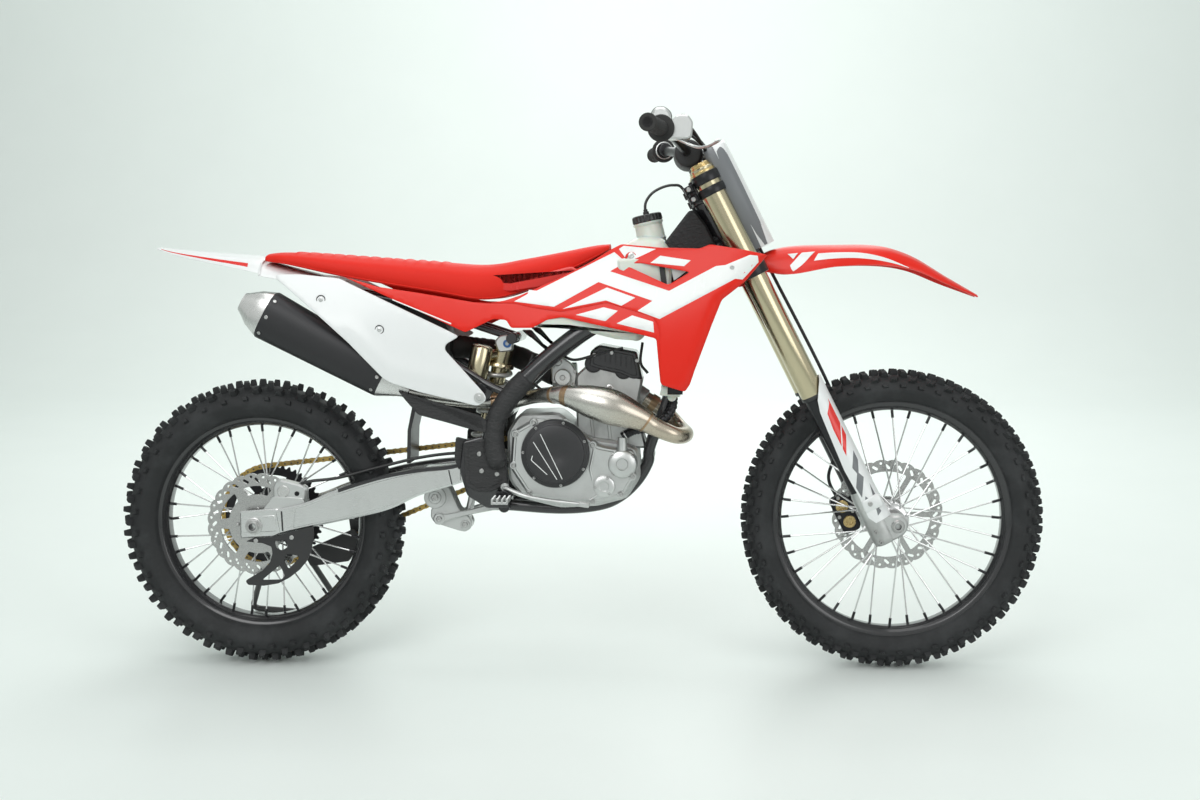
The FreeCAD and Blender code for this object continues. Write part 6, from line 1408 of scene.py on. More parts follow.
def engineBlock():  # case, barrel, head, covers, clutch cover and bolts, as outlines carried across
    q = engineSizes
    case = onCase([(0.0, 0.78), (0.09, 0.97), (0.38, 0.98), (0.52, 0.80), (0.60, 0.72), (0.80, 0.68), (0.94, 0.62),
                   (0.96, 0.32), (0.86, 0.10), (0.65, 0.02), (0.38, 0.0), (0.12, 0.09), (0.01, 0.28)])
    barrel = onCase([(0.50, 0.60), (0.49, 1.07), (0.93, 1.0), (1.0, 0.60)])
    head = onCase([(0.49, 1.075), (0.49, 1.35), (0.575, 1.46), (0.975, 1.32), (0.93, 1.005)])
    cover = onCase([(0.03, 0.42), (0.05, 0.80), (0.20, 0.92), (0.45, 0.90), (0.66, 0.66), (0.90, 0.60), (0.92, 0.32),
                    (0.84, 0.13), (0.64, 0.06), (0.38, 0.05), (0.16, 0.14)])
    toPort = np.array([0.832, 0, -0.555])
    block = [roundSlab(case, 12, *q["case"], 6), roundSlab(barrel, 8, *q["barrel"], 5),
             roundSlab(head, 7, *q["head"], 5), lathe([(-40, 22), (-2, 22), (0, 20)], portPlace, 40, toPort)]
    for share in (0.62, 0.74, 0.86):
        low, high = onCase([(share, 0.66), (share - 0.02, 0.94)])
        block.append(slab([(low[0] - 4, low[1]), (low[0] + 4, low[1]), (high[0] + 4, high[1]),
                           (high[0] - 4, high[1])], -57.5, 57.5, 1.5))
    piece("engine_look", block, castAlloy, ["engine"])
    notches = []
    for x, z in ((788, 712), (857, 697)):
        notches.append(across(x, z, -59, 59, 18.5, 48, 1.0))
        notches.append(lathe([(58.2, 18.5), (58.2, 20.5), (59.8, 20.5), (59.8, 18.5)], (x, 0, z), 48, toRight,
                             ring=True))
    plug = onCase([(0.735, 1.22)])[0]
    lid = onCase([(0.577, 1.44), (0.60, 1.60), (0.66, 1.66), (0.93, 1.59), (0.97, 1.31), (0.90, 1.30), (0.80, 1.36),
                  (0.66, 1.40)])
    piece("head_notches", notches, blackCoat)
    lids = [roundSlab(lid, 5, *q["lid"], 5), roundSlab(inset(lid, 9), 5, -62, 62, 2)]
    for x in range(790, 880, 12):
        low = 726 - 0.27 * (x - 780)
        lids.append(slab([(x, low), (x + 2.2, low), (x + 2.2, low + 26), (x, low + 26)], -62.8, 62.8, 0.5))
    piece("head_cover_look", lids, blackPaint, ["head_cover"], slot="black_plastic")
    filterAt, pumpAt = onCase([(0.70, 0.245), (0.83, 0.47)])
    parts = [roundSlab(cover, 12, *q["cover"], 5), roundSlab(inset(cover, 9), 9, -112, -108, 1.6)]
    parts.append(lathe([(84.5, 29), (108, 29), (110, 25), (123, 24), (125, 21), (125, 12), (123.5, 10)],
                       (filterAt[0], 0, filterAt[1]), 64, toRight))
    parts.append(lathe([(84.5, 34), (112, 33), (120, 31), (124, 26), (125, 14), (122, 12)], (pumpAt[0], 0, pumpAt[1]),
                       64, toRight))
    parts.append(tube([(pumpAt[0], -110, pumpAt[1] + 4), (pumpAt[0], -110, 500), (pumpAt[0], -110, 548)],
                      [12, 11, 10.6], 28))
    left = onCase([(0.30, 0.30), (0.32, 0.62), (0.45, 0.76), (0.66, 0.66), (0.85, 0.58), (0.86, 0.32), (0.72, 0.12),
                   (0.45, 0.08)])
    parts.append(roundSlab(left, 12, *q["leftCover"], 7))
    parts.append(across(612, 497, 60.3, 73, 15.6, 32))
    rim = onCase([(0.055, 0.45), (0.07, 0.77), (0.20, 0.885), (0.42, 0.87), (0.62, 0.66), (0.88, 0.565), (0.90, 0.34),
                  (0.82, 0.16), (0.62, 0.085), (0.38, 0.075), (0.17, 0.165)])
    parts += [across(x, z, -84.5, -112, 9.5, 32, 1.5) for x, z in rim]
    parts += [tube([(x, -110.5, z) for x, z in onCase(way)], 3.4, 12)
              for way in ([(0.63, 0.62), (0.60, 0.42), (0.62, 0.30)], [(0.88, 0.54), (0.86, 0.44), (0.90, 0.36)],
                          [(0.60, 0.10), (0.66, 0.16), (0.66, 0.22)])]
    piece("side_covers_look", parts, paleAlloy, ["side_covers"])
    bolts = screws(rim, -111.5, q["screw"], 4.6, 18)
    bolts += screws(ringOf(filterAt, 20, (0.4, 2.5, 4.6)), -122.5, 3.6, 3.4, 16)
    bolts += screws(ringOf(pumpAt, 29, (0.9, 2.4, 3.9, 5.4)), -119, 3.8, 3.6, 16)
    bolts.append(bolt((plug[0], -57, plug[1]), toRight, 9.0, 4.0))
    bolts += screws(onCase([(0.625, 1.56), (0.93, 1.50), (0.75, 1.58)]), -61.5, 4.6, 4.0, 18)
    leftScrews = onCase([(0.33, 0.33), (0.36, 0.62), (0.46, 0.72), (0.65, 0.63), (0.82, 0.55), (0.83, 0.33),
                         (0.70, 0.16), (0.46, 0.12)])
    bolts += screws(leftScrews, 108.5, 4.8, 4.2, 18)
    piece("engine_bolts", bolts, steel)
    clutch = lathe([(110.5, 74), (112, 77.5), (116, 78), (124, 78), (129, 76), (132, 71), (134, 69), (134.5, 67),
                    (138, 66), (140, 62), (140, 20), (139, 18)], (clutchAt[0], 0, clutchAt[1]), 96, toRight)
    piece("clutch_cover_look", [clutch], blackCoat, ["clutch_cover"], slot="black_aluminium")
    heads = screws(ringOf(clutchAt, 72.5, (np.arange(7) + 0.3) * tau / 7), -129.5, 3.6, 3.4, 16)
    marks = []
    for a, b in (((-32, 46), (17, -56)), ((-48, 28), (5, -57)), ((-50, -3), (-53, -13)), ((-53, -13), (-17, -46))):
        way = (np.array(b) - a) / math.dist(a, b) * 0.9
        marks.append(slab(np.array([(a[0] - way[1], a[1] + way[0]), (b[0] - way[1], b[1] + way[0]),
                                    (b[0] + way[1], b[1] - way[0]), (a[0] + way[1], a[1] - way[0])]) + clutchAt,
                          -140.4, -139.6, 0.2))
    piece("clutch_bolts", heads, steel)
    piece("clutch_lines", marks, stripeWhite)


exhaust()
engineBlock()
print("engine and exhaust made")

# Frame

pivot = np.array([555.0, 481.0])


def onPivot(shares):  # (along, up) in shares of the swingarm pivot's place
    return np.array(shares) * pivot


def copies(patch, places, ways):  # the patch at each place, its x turned to the way (x, z)
    points, faces = patch
    x, y, z = points.T
    places, ways = np.asarray(places, float), np.asarray(ways, float)
    c, n = ways[:, :1], ways[:, 1:]
    out = np.stack([places[:, :1] + c * x - n * z, places[:, 1:2] + y + 0 * c, places[:, 2:] + n * x + c * z], 2)
    shift = np.arange(len(places))[:, None, None] * len(points)
    return out.reshape(-1, 3), [(np.asarray(f)[None] + shift).reshape(-1, np.shape(f)[1]) for f in faces]


def alongX(outline, xFrom, xTo, edge=0.8):  # outline (y, z) carried along x
    points, faces = slab(outline, xFrom, xTo, edge)
    return points[:, [1, 0, 2]], faces


tubeRoutes = {"spar": (21.0, [(1071, -16, 986), (999, -60, 925), (899, -100, 862), (749, -108, 775), (615, -108, 660),
                              (566, -108, 590), (557, -108, 545)]),
              "cradle": (13.0, [(1086, -8, 962), (1058, -16, 912.5), (966, -55, 650), (918.5, -55, 524),
                                (913, -55, 486), (888, -55, 442.5), (849, -55, 406), (799, -55, 385), (709, -55, 377),
                                (583, -55, 385)]),
              "tail": (9.0, [(605, -50, 772), (344, -50, 854), (89, -50, 899.5)]),
              "strut": (9.0, [(588, -100, 648), (545, -94, 668), (470, -74, 712), (200, -50, 866)]), }


frameSizes = {"plate": (-109.2, -95.4), "headTube": (684.5, 856.5), "cover": (-126, -122)}


def mainFrame():  # round tubes along their routes, plates, cross tubes and head tube
    q = frameSizes
    parts = []
    for radius, route in tubeRoutes.values():
        parts.append(tube(smoothPath(route, 24 * len(route)), radius, 32))
    parts.append(roundSlab(onPivot([(0.885, 1.12), (1.02, 1.16), (1.07, 1.03), (1.072, 0.91), (1.072, 0.80),
                                    (0.98, 0.80), (0.90, 0.86), (0.87, 0.98)]), 6, *q["plate"], 3))
    parts.append(roundSlab([(700, 733), (684, 752), (640, 780), (628, 792), (650, 792)], 4, -108, -96, 2.5))
    parts.append(roundSlab(onPivot([(0.935, 1.31), (0.985, 1.305), (1.015, 1.36), (0.985, 1.40), (0.945, 1.39)]), 3,
                           -100, -96, 1))
    parts.append(across(534, 639.3, -96, -118, 7.8, 32))
    middle = [across(583, 385, -95, 95, 13, 40), across(605, 772, -108, 108, 12.6, 40),
              across(590, 598, -108, 108, 9, 32), across(89, 899.5, -50, 50, 9, 32),
              upFork(0, 0, beads(*q["headTube"], 28, 2.5)), upFork(0, 0, beads(684.5, 694, 31, 1.5)),
              upFork(0, 0, beads(847, 856.5, 31, 1.5))]
    piece("main_frame_look", bothSides(parts) + middle, blackPaint, ["main_frame"], smooth=45)
    lower = [(347, 655), (366, 650), (531, 600), (549, 587), (547, 558), (526, 563), (460, 582), (393, 600),
             (365, 632)]
    ribs = []
    for k in range(5, 75, 9):
        rear, front = (372 + k, 642 - k * 0.37), (536 + k * 0.06, 594 - k * 0.37)
        ribs.append(slab([rear, front, (front[0], front[1] - 1.5), (rear[0], rear[1] - 1.5)], -127.2, -125.5, 0.5))
    piece("lower_covers", bothSides([roundSlab(lower, 4, *q["cover"], 1.2)] + ribs), leather)


frameGuardSizes = {"radius": 23.6, "wave": (0.35, 0.5), "pad": (-113.9, -109.9), "raised": (-115.2, -112)}


def frameGuards():  # guard along the spar with faint waves, and the pad at the pivot
    q = frameGuardSizes
    path = smoothPath([(640, -111, 683), (614, -111, 657), (580, -111, 612), (565.5, -111, 575), (563, -111, 540),
                       (567, -112, 505), (582, -111, 480)], 150)
    slow, fast = np.sin(np.linspace(0, 9, 150)), np.sin(np.linspace(0, 52, 150))
    wave = q["radius"] + q["wave"][0] * fast + q["wave"][1] * slow
    wave[:3], wave[-12:] = [20.5, 22.5, 23.4], np.linspace(23, 12, 12)
    guard = [(494, 534), (541, 539), (550, 529), (580, 495), (592, 470), (590, 440), (556, 423), (522, 423),
             (500, 436), (497, 447)]
    parts = [tube(path, wave, 40, 0.9), roundSlab(guard, 7, *q["pad"], 1.4),
             roundSlab(inset(guard, 10), 6, *q["raised"], 1.0)]
    block = [(474, 548), (504, 541), (508, 468), (478, 472), (470, 500)]
    parts.append(roundSlab(block, 6, -98.5, -95.2, 1.2))
    piece("frame_guards_look", bothSides(parts), leather, ["frame_guards"], smooth=40)
    heads = screws(((530, 510), (535, 471), (570, 464)), -114.4, 5.4, 3.4, 20)
    piece("guard_bolts", bothSides(heads), steel)


armSizes = {"arm": (-95, -82.3), "edge": 4.5, "front": (-84, -68.2), "pad": (-96.1, -94), "strip": (-95.8, -68)}


def swingarmLook():  # two arms between a top and a low line, axle blocks, and the rear axle
    q = armSizes
    top = [(48, 376), (118, 392), (183, 418), (300, 454.5), (388.5, 471), (461, 479), (500, 490), (556, 506)]
    low = [(556, 456), (500, 445), (461, 433), (388.5, 411), (316, 378), (228, 356), (111, 331), (58, 318)]
    line, under = smoothFlat(top, 40), smoothFlat(low, 40)
    outline = np.vstack([line, under])
    arm = slab(outline, *q["arm"], q["edge"])
    front = outline[outline[:, 0] > 150]
    middle, half = (line + under[::-1]) / 2, (line - under[::-1]) / 2
    pad = np.vstack([(middle + half * 0.76)[4:-8], (middle - half * 0.76)[4:-8][::-1]])
    shape = [arm, slab(front, *q["front"], 3), slab(pad, *q["pad"], 1.2), across(*pivot, -95, -68.3, 25, 48)]
    block = [(-33, 372), (55.5, 379), (62, 372), (64, 322), (44, 313), (-33, 309)]
    shape.append(roundSlab(block, 5, -93, -82.3, 2.5))
    shape.append(roundSlab([(-31, 358), (50, 364), (52, 326), (-31, 322)], 5, -94.6, -92, 1.2))
    cross = slab([(388, 418), (461, 438), (461, 471), (388, 466)], -69, 69, 3)
    piece("swingarm_look", bothSides(shape) + [cross], brushed, ["swingarm"])
    strip = np.vstack([line[12:] + [0, 1.5], (line[12:] - [0, 7])[::-1]])
    piece("swingarm_strips", bothSides([slab(strip, *q["strip"], 1.5)]), blackCoat)
    seams = [slab([(a, b), (a + 3, b), (c + 3, d), (c, d)], -97.0, -95.8, 0.4)
             for a, b, c, d in ((455, 470, 462, 437), (64, 373, 66, 327))]
    piece("swingarm_seams", bothSides(seams), blackCoat)
    axle = [lathe([(-109.5, 8.6), (-109.5, 11.5), (-108.5, 12.4), (108.5, 12.4), (109.5, 11.5), (109.5, 8.6)],
                  rearAxle, 48, ring=True)]
    for side in (-1, 1):
        way = np.array([0, side, 0])
        axle.append(lathe([(95.2, 12.5), (95.2, 18.5), (97, 19.5), (98, 19.5), (98.5, 18.5), (98.5, 12.5)], rearAxle,
                          48, way, ring=True))
        axle.append(lathe([(98.5, 12.5), (98.5, 16.5), (104, 16.5), (105, 15.5), (105, 12.5)], rearAxle, 6, way,
                          ring=True))
        axle.append(bolt((-38, side * 88, 341), (-1, 0, 0), 5, 5, 16))
        axle.append(across(*pivot, side * 108, side * 112, 10, 24))
    axle.append(across(*pivot, -109, 109, 8.8, 32))
    # black lining inside the hollow axle: painted shade in the bore
    dark = [lathe([(-109, 7.9), (-109, 8.8), (78, 8.8), (78, 7.9)], rearAxle, 40, ring=True)]
    piece("rear_axle_bore_shade", dark, blackPlastic)
    piece("rear_axle_look", axle, steel, ["rear_axle"])


rearGuardSizes = {"disc": (-95, -91), "guide": (84, 88), "inner": (58, 62)}


def rearGuards():  # disc guard and chain guide, flat outlines with holes
    q = rearGuardSizes
    outline = [(-20, 302), (0, 311), (44, 312), (111, 332), (139, 338), (140, 318), (133, 279), (122, 256),
               (105, 236), (82, 218), (55, 204), (20, 198), (-17, 200), (-22, 207), (-20, 212), (18, 234), (36, 254),
               (42, 274), (40, 290), (20, 298)]
    holes = [[(48, 304), (74, 305), (79, 290), (64, 281), (51, 287)],
             [(74, 273), (101, 270), (104, 263), (79, 238), (69, 257)], [(17, 212), (62, 213), (70, 222), (59, 247)]]
    guide = [(75, 252), (92, 215), (185, 228), (223, 277), (219, 356), (180, 347), (186, 298)]
    parts = [flatLoops([rounded(outline, 3)] + [rounded(h, 4)[::-1] for h in holes], *q["disc"], 0.8),
             flatLoops([rounded(guide, 5), circle(120, 240, 7)[::-1], circle(196, 276, 8)[::-1]], *q["guide"], 0.8),
             flatLoops([rounded([(75, 252), (92, 215), (185, 228), (223, 277), (200, 308)], 5)], *q["inner"], 0.8),
             slab([(92, 215), (185, 228), (223, 277), (214, 276), (180, 236), (93, 224)], 58.5, 87.5, 1.5)]
    piece("swingarm_guards_look", parts, blackPlastic, ["swingarm_guards"])
    heads = screws(((4, 304), (88, 312)), -94.6, 5.2, 3.2, 20)
    heads += screws(((100, 226), (205, 345)), 87.6, 5.2, 3.2, 20)
    piece("rear_guard_bolts", heads, steel)


chainSizes = {"big": 121.37, "small": 33.17, "drive": (612.0, 497.0), "pitch": 15.875, "y": 73.0}


def chainRun():  # links every two pitches along both runs and both arcs, with the sprockets' teeth
    big, small, pitch = chainSizes["big"], chainSizes["small"], chainSizes["pitch"]
    first, last = np.array([0.0, rearAxle[2]]), np.array(chainSizes["drive"])
    gap = last - first
    tilt, spread = math.atan2(gap[1], gap[0]), math.acos((big - small) / np.hypot(*gap))
    up, down = tilt + spread, tilt - spread
    run = math.sqrt(gap @ gap - (big - small) ** 2)
    total = run * 2 + small * 2 * spread + big * (tau - 2 * spread)
    count = int(round(total / pitch / 2)) * 2

    def place(d):  # distance along the loop to a point: straight, small arc, straight, big arc
        d = d % total
        def rim(c, r, a):  # points on a circle at the angles
            return c + r * np.stack([np.cos(a), np.sin(a)], 1)

        def ahead(turn, along):  # straight run at right angles to the turn
            return rim(0.0, 1.0, np.full(len(d), turn - tau / 4)) * along[:, None]

        a1, a2 = d - run, d - run - small * 2 * spread
        straight = rim(first, big, np.full(len(d), up)) + ahead(up, d)
        back = rim(last, small, np.full(len(d), down)) + ahead(down, a2)
        a3 = a2 - run
        smallArc = rim(last, small, up - np.maximum(a1, 0) / small)
        bigArc = rim(first, big, down - a3 / big)
        return np.select([(a < 0)[:, None] for a in (a1, a2, a3)], [straight, smallArc, back], bigArc)

    pins = place(np.arange(count + 1) * total / count)
    middle, step = (pins[1:] + pins[:-1]) / 2, pins[1:] - pins[:-1]
    ways = step / np.linalg.norm(step, axis=1)[:, None]
    t = angles(20)
    half = pitch / 2
    eight = np.c_[half * np.sign(np.cos(t)) * np.minimum(1, np.abs(np.cos(t)) * 3) + 6.4 * np.cos(t),
                  6.9 * np.sin(t) * (1 - 0.28 * np.exp(-(np.cos(t) / 0.25) ** 2))]
    inner = [slab(eight, y, y + 1.8, 0.4) for y in (-6.2, 4.4)]
    outer = [slab(eight, y, y + 1.8, 0.4) for y in (-8.2, 6.4)]
    places = np.c_[middle[:, 0], np.full(count, chainSizes["y"]), middle[:, 1]]
    links = [copies(p, places[::2], ways[::2]) for p in inner] + [copies(p, places[1::2], ways[1::2]) for p in outer]
    studs = np.c_[pins[:-1, 0], np.full(count, chainSizes["y"]), pins[:-1, 1]]
    roller = lathe([(-4.4, 4.2), (-4.0, 5.0), (4.0, 5.0), (4.4, 4.2)], (0, 0, 0), 12)
    rivet = lathe([(-9.0, 1.8), (-8.6, 2.7), (8.6, 2.7), (9.0, 1.8)], (0, 0, 0), 10)
    piece("chain_look", links, chainGold, ["chain"], smooth=40, turn=False)
    piece("chain_rollers", [copies(roller, studs, ways), copies(rivet, studs, ways)], chainDark, turn=False)
    share = np.array([-0.5, -0.33, -0.16, -0.07, 0.07, 0.16, 0.33])
    sprockets = (("rear_sprocket_look", "rear_wheel", first, 48, big, 48.3, blackAlloy),
                 ("drive_sprocket", "frame", last, 13, small, 16.5, steel))
    for name, body, centre, teeth, r, bore, finish in sprockets:
        a = ((np.arange(teeth)[:, None] + 0.5 + share) * tau / teeth).ravel() + up
        radius = np.tile([r - 5.2, r - 4.2, r + 1.0, r + 2.9, r + 2.9, r + 1.0, r - 4.2], teeth)
        loops = [centre + radius[:, None] * np.c_[np.cos(a), np.sin(a)], circle(centre[0], centre[1], bore, 64)]
        if teeth > 20:
            for k in range(6):
                b = np.linspace(0.16, 0.88, 12) * tau / 6 + k * tau / 6
                loops.append(centre + np.vstack([98.0 * np.c_[np.cos(b), np.sin(b)],
                                                 70.0 * np.c_[np.cos(b), np.sin(b)][::-1]]))
                loops.append(circle(centre[0] + 60 * math.cos(k * tau / 6), centre[1] + 60 * math.sin(k * tau / 6),
                                    3.6, 16))
        piece(name, [flatLoops(loops, 70, 76, 0.7)], finish, ["rear_sprocket"] if teeth > 20 else (), body=body,
              slot="steel", smooth=30, turn=False)
    nuts = [bolt((60 * math.cos(k * tau / 6), 75.6, first[1] + 60 * math.sin(k * tau / 6)), toLeft, 6.2, 4.2, 6)
            for k in range(6)]
    piece("sprocket_bolts", nuts, steel, body="rear_wheel")


shockSizes = {"top": (578.0, -10.0, 757.0), "foot": (484.0, -10.0, 334.0), "wire": 5.2, "coils": 6, "radius": 28.0}


def rearShock():  # body, reservoir and a helix: turn grows with the distance along
    q = shockSizes
    top, foot = np.array(q["top"]), np.array(q["foot"])
    along = (foot - top) / np.linalg.norm(foot - top)
    length = float(np.linalg.norm(foot - top))
    side = np.array([0.0, 1.0, 0.0])
    out = np.cross(along, side)
    body = [lathe([(6, 16), (8, 23.6), (46, 23.6), (52, 23), (54, 19), (255, 19), (257, 9)], top, 56, along),
            lathe([(46, 20), (46, 30.5), (50, 32.5), (55, 32.5), (57, 30)], top, 56, along)]
    offset = np.array([-45.6, -37.2, 0.0])
    can = lathe([(2, 16), (5, 23), (9, 25), (112, 25), (118, 23), (120, 16)], top + offset, 56, along)
    neck = tube([top + along * 24, top + offset + along * 29], 12.6, 28)
    piece("shock_look", body + [can, neck], gold, ["shock"], smooth=40)
    t = np.linspace(0, 1, 420)
    turn = t * tau * (q["coils"] + 0.6)
    ring = np.cos(turn)[:, None] * side + np.sin(turn)[:, None] * out
    coil = top + along * (60 + t * 188)[:, None] + q["radius"] * ring
    piece("shock_spring", [tube(coil, q["wire"], 14)], springSteel)
    fittings = [lathe([(250, 20), (250, 30), (253, 32.5), (258, 32.5), (262, 20), (262, 8.9)], top, 56, along),
                lathe([(262, 8.8), (length - 8, 8.8)], top, 32, along), across(top[0], top[2], -35, 15, 18, 48),
                across(foot[0], foot[2], -25.5, 5.5, 14.4, 40)]
    eye = rounded([(570, 738), (602, 742), (604, 768), (594, 780), (572, 778), (560, 764)], 6)
    fittings.append(slab(eye, -62, -46, 3))
    piece("shock_metal", fittings, paleAlloy)
    piece("shock_bolt", [bolt((590, -62, 759), toRight, 9.5, 4.0, 32)], blueRing)
    piece("shock_bolt_core", [bolt((590, -63, 759), toRight, 4.6, 4.4, 24)], steel)


linkageSizes = {"rodEnd": (424.6, 348.7), "rodRoot": (569.5, 381.8), "rods": (-37.5, 17.5), "half": 6,
                "plates": (6, -34)}


def linkageLook():  # rocker plates and two waisted rods
    q = linkageSizes
    rocker = [(400, 421), (420, 428), (438, 431), (450, 418), (470, 372), (496, 350), (501, 338), (496, 324),
              (484, 317), (468, 320), (430, 332), (410, 340), (403, 352), (404, 370), (418, 386)]
    parts = [roundSlab(rocker, 4, y, y + 8, 2) for y in q["plates"]]
    parts.append(roundSlab([(400, 421), (438, 431), (440, 414), (402, 404)], 3, -26, 6, 2))
    rodEnd = q["rodEnd"]
    parts += [across(x, z, -36.5, 16.5, r, 40) for x, z, r in ((*rodEnd, 12), (484, 334, 11), (414, 398, 26))]
    parts.append(across(414, 398, -39, -30, 15, 40, 1.5))
    for y in q["rods"]:
        a, b = np.array(rodEnd), np.array(q["rodRoot"])
        way = (b - a) / np.linalg.norm(b - a)
        off = np.array([-way[1], way[0]])
        waist = [(0.03, 11), (0.14, 7.5), (0.5, 6.0), (0.86, 8), (0.99, 12)]
        outline = [a + (b - a) * share + off * wide for share, wide in waist]
        outline += [a + (b - a) * share - off * wide for share, wide in waist[::-1]]
        parts.append(slab(outline, y - q["half"], y + q["half"], 2.2))
        parts.append(across(a[0], a[1], y - 7, y + 7, 14, 40, 2))
    piece("linkage_look", parts, castAlloy, ["linkage"], smooth=40)
    heads = (screws([rodEnd], -44, 7.5, 4.5, 6) + screws([(484, 334)], -36, 7.5, 4.0, 6)
             + screws([(414, 398)], -38.5, 9, 4.5, 6))
    piece("linkage_bolts", heads, steel)


caliperSizes = {"outer": (-77, -63.5), "inner": (-56.5, -43), "bracket": (-81.8, -77), "hose": 3.6}


def rearCaliper():  # caliper halves on their bracket, with cap, pins and brake line
    q = caliperSizes
    body = [(42, 392), (60, 388), (112, 388), (118, 396), (118, 424), (110, 431), (58, 444), (46, 440), (41, 424)]
    parts = [roundSlab(body, 5, *q["outer"], 3.5), roundSlab(body, 5, *q["inner"], 3.5),
             roundSlab([(50, 432), (112, 420), (112, 431), (52, 445)], 3, -66, -54, 1)]
    bracket = [(12, 326), (118, 388), (112, 402), (42, 406), (16, 372), (10, 352)]
    parts.append(roundSlab(bracket, 5, *q["bracket"], 1.4))
    piece("rear_caliper_look", parts, paleAlloy, ["rear_caliper"], smooth=40)
    caps = [lathe([(76, 14), (79.5, 14), (81, 12.5), (81, 5)], (66, 0, 417), 40, toRight)]
    piece("caliper_cap", caps, brushedCone)
    pins = screws(((98, 412), (54, 398), (108, 394)), -76.5, 5.5, 4.0, 20)
    piece("rear_caliper_pins", pins, blackAlloy, slot="steel")
    hose = smoothPath([(96, -60, 430), (130, -66, 440), (190, -62, 447), (280, -60, 470), (380, -58, 494),
                       (470, -56, 505), (540, -60, 500)], 90)
    piece("rear_brake_line", [tube(hose, q["hose"], 12)], blackPlastic, slot="black_rubber")


radiatorSizes = {"fins": 36, "hose": 9.4, "rib": 1.1, "clamp": 11.3, "wire": 3.2}


def radiators():  # cores with fins, and hoses with ribs along their routes
    q = radiatorSizes
    core = [(958, 648), (992, 648), (1006, 866), (972, 866)]
    tanks = [slab(core, -151.8, -141, 3), slab(core, -80, -68.6, 3),
             slab([(960, 652), (990, 652), (1004, 862), (974, 862)], -142, -79, 1)]
    for k in np.linspace(0.03, 0.97, q["fins"]):
        x, z = 958 + 14 * k, 648 + 218 * k
        tanks.append(slab([(x - 0.4, z), (x + 34.4, z), (x + 34.4, z + 1.6), (x - 0.4, z + 1.6)], -141.5, -79.5, 0.3))
    t = np.linspace(0, 1, 170)
    right = smoothPath([(975, -85.5, 660), (972, -86, 640), (968, -88, 612), (950, -100, 588), (918, -108, 570),
                        (884, -110.3, 564), (866, -110.3, 556), (855.6, -110.3, 549.5)], 170)
    left = smoothPath([(975, 85.5, 660), (972, 86, 640), (966, 88, 612), (946, 88, 592), (918, 84, 582),
                       (889, 79, 581), (866, 74, 581), (856, 60.5, 581)], 170)
    rib = q["hose"] + q["rib"] * (np.sin(t * 150) > 0)
    piece("cooling_look", bothSides(tanks) + [tube(right, rib, 20), tube(left, rib, 20)], blackAlloy, ["cooling"],
          smooth=40)
    foot = [roundSlab([(940, 645), (986, 640), (990, 656), (946, 664)], 4, -134, -86, 3),
            across(968, 640, -118, -100, 10, 28)]
    piece("radiator_feet", bothSides(foot), tankPlastic, slot="white_plastic")
    clamps = [tube(line[a:a + 6], q["clamp"], 24) for line in (right, left) for a in (14, 150)]
    piece("hose_clamps", clamps, steel)
    wire = [tube(smoothPath(way, 60), q["wire"], 10)
            for way in ([(700, -60, 745), (742, -70, 722), (800, -62, 735), (856, -56, 748)],
                        [(650, -80, 735), (640, -84, 690), (668, -78, 655), (702, -62, 640)],
                        [(900, -40, 760), (896, -52, 715), (912, -48, 690)])]
    piece("small_wires", wire, blackPlastic, slot="black_rubber")


intakeSizes = {"z": 681.25, "radius": 25.4, "rib": 0.9}


def intakeLook():  # ribbed boot along its route, throttle body and its screws
    q = intakeSizes
    z = q["z"]
    shares = [(-0.42, 0.25, 0.30), (-0.37, 0.25, 0.30), (-0.28, 0.72, 0.28), (-0.14, 0.95, 0.25), (0.06, 0.95, 0.17),
              (0.34, 0.0, 0.0)]
    boot = [(590 + a * 320, b * 56, z + c * 225) for a, b, c in shares]
    wave = q["radius"] + q["rib"] * (np.sin(np.linspace(0, 80, 160)) > 0)
    piece("intake_look", [tube(smoothPath(boot, 160), wave, 36)], gripRubber, ["intake"], smooth=40)
    tubeEnds = [(690, 28), (691, 31), (702, 31), (704, 27), (732, 27), (734, 31), (745, 31), (746, 28)]
    sensor = [(0, 17), (56, 17), (58, 19), (70, 19), (72, 17), (72, 8)]
    flank = [(690, 668), (745, 656), (750, 690), (738, 712), (706, 734), (690, 712)]
    body = [lathe(tubeEnds, (0, 0, z), 56, (1, 0, 0)), lathe(sensor, (717.7, 0, z), 48, toRight),
            roundSlab(flank, 5, -50, -34, 3), lathe([(34, 9), (62, 9), (64, 7)], (706, 0, 716), 28, toRight)]
    piece("throttle_body", body, paleAlloy)
    heads = screws(((697, 671), (742, 664), (744, 694), (694, 706)), -49, 4.5, 4, 16)
    piece("throttle_bolts", heads + [bolt((717.7, -71.5, z), toRight, 7, 3.5, 6)], steel)


footSizes = {"tooth": 6.5, "teeth": 17, "bars": (566.3, 577.5, 588.5, 599.3), "pedal": (7.5, 6.6, 5.6)}


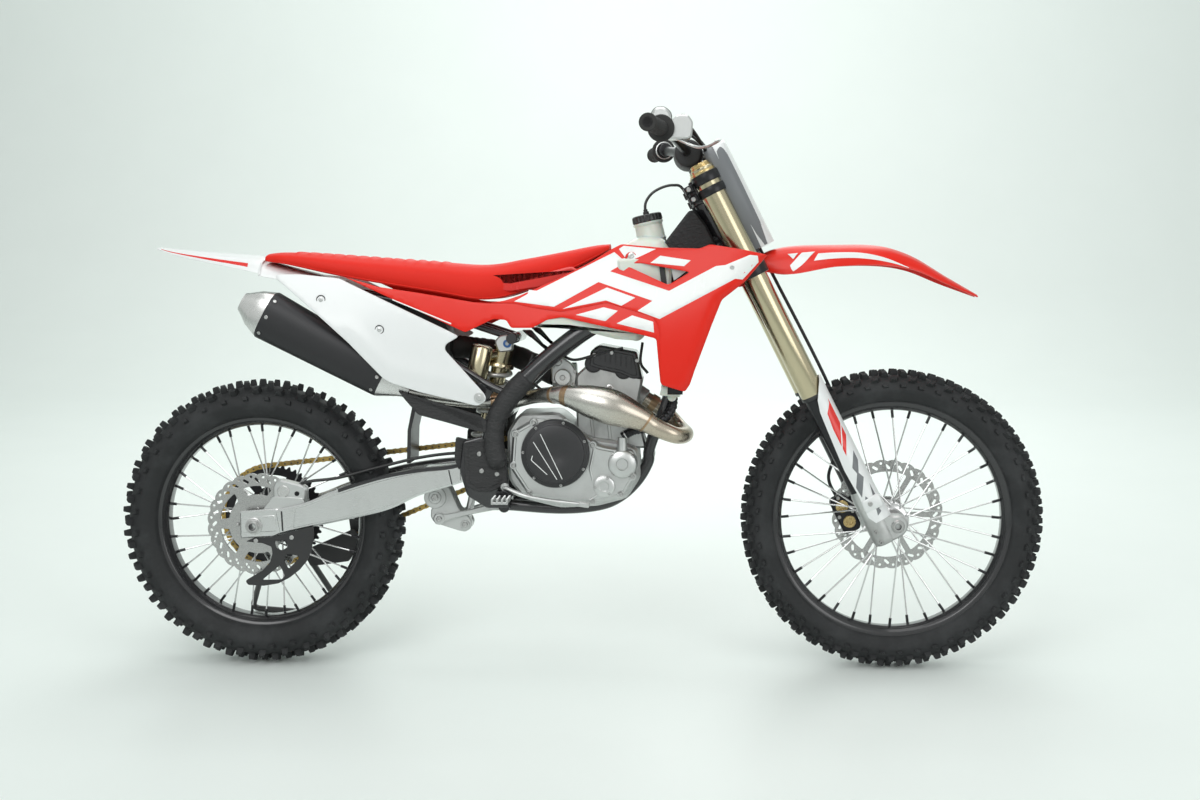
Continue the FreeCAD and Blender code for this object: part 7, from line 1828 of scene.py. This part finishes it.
def footControls():  # toothed pegs, their mounts, pedal and lever
    q = footSizes
    teeth = [(-141 - 61 * k, 419 - (q["tooth"] if n % 2 else 0)) for n, k in enumerate(np.linspace(0, 1, q["teeth"]))]
    bar = np.array(teeth + [(-202, 406.3), (-141, 406.3)])
    peg = [alongX(bar, x, x + 4.5) for x in q["bars"]]
    peg += [slab([(567, 406.5), (603, 406.5), (603, 412), (567, 412)], y, y - 5, 1) for y in (-141, -197)]
    mount = [across(585, 412.7, -150, -110, 7, 28),
             roundSlab([(566, 404), (600, 404), (606, 420), (590, 430), (570, 424)], 4, -140, -114, 2.5)]
    pedal = smoothPath([(585.5, -110, 435), (592, -124, 433), (622, -138, 422), (655, -145, 414), (700, -146, 407),
                        (777, -146, 399)], 60)
    lever = [tube(pedal, np.interp(np.linspace(0, 1, 60), [0, 0.5, 1], q["pedal"]), 20, 0.8),
             roundSlab([(758, 396), (782, 393), (783, 403), (760, 406)], 2.5, -158, -134, 1.5),
             across(588, 435, -124, -109.8, 9, 32)]
    piece("foot_controls_look", bothSides(peg + lever), castAlloy, ["foot_controls"], slot="steel")
    piece("peg_mounts", bothSides(mount + [bolt((585, -140, 420), toRight, 5, 4, 18)]), blackAlloy)


standSizes = {"corners": ((-141.0, 362.0, 7.5), (0.0, 0.0, 0.0), (125.0, 305.0, 7.5)), "top": 121.3,
              "bend": (9.0, 26.0), "tube": 7.5}


def standLook():  # three-cornered closed tube with each corner bent, and the pin in the axle
    q = standSizes
    corners = []
    for x, far, high in q["corners"]:
        onFloor = (x, far * leanCos - high * leanSin, far * leanSin + high * leanCos)
        corners.append(onFloor if x else (0.0, q["top"], rearAxle[2]))
    corners = np.array(corners)
    path = []
    for k in range(3):
        before, here, after = corners[k - 1], corners[k], corners[(k + 1) % 3]
        a, b = here - before, after - here
        bend = q["bend"][k != 1]
        first, last = here - a / np.linalg.norm(a) * bend, here + b / np.linalg.norm(b) * bend
        share = np.linspace(0, 1, 9)[:, None]
        path.append((1 - share) ** 2 * first + 2 * share * (1 - share) * here + share ** 2 * last)
    path = np.vstack(path)
    pin = [lathe([(80, 6), (81, 7.2), (112, 7.2)], rearAxle, 32, toLeft),
           lathe([(110.4, 14), (111.5, 17), (138, 17), (140, 15)], rearAxle, 40, toLeft)]
    piece("stand_look", [tube(path, q["tube"], 20, closed=True)] + pin, standSteel, ["stand"], smooth=40)


underBody()
mainFrame()
frameGuards()
swingarmLook()
rearGuards()
chainRun()
rearShock()
linkageLook()
rearCaliper()
radiators()
intakeLook()
footControls()
standLook()
print("frame, drive and rear end made")

# The airbox hardly shows: it keeps its CAD shape with softened edges
softened("airbox", blackPlastic)
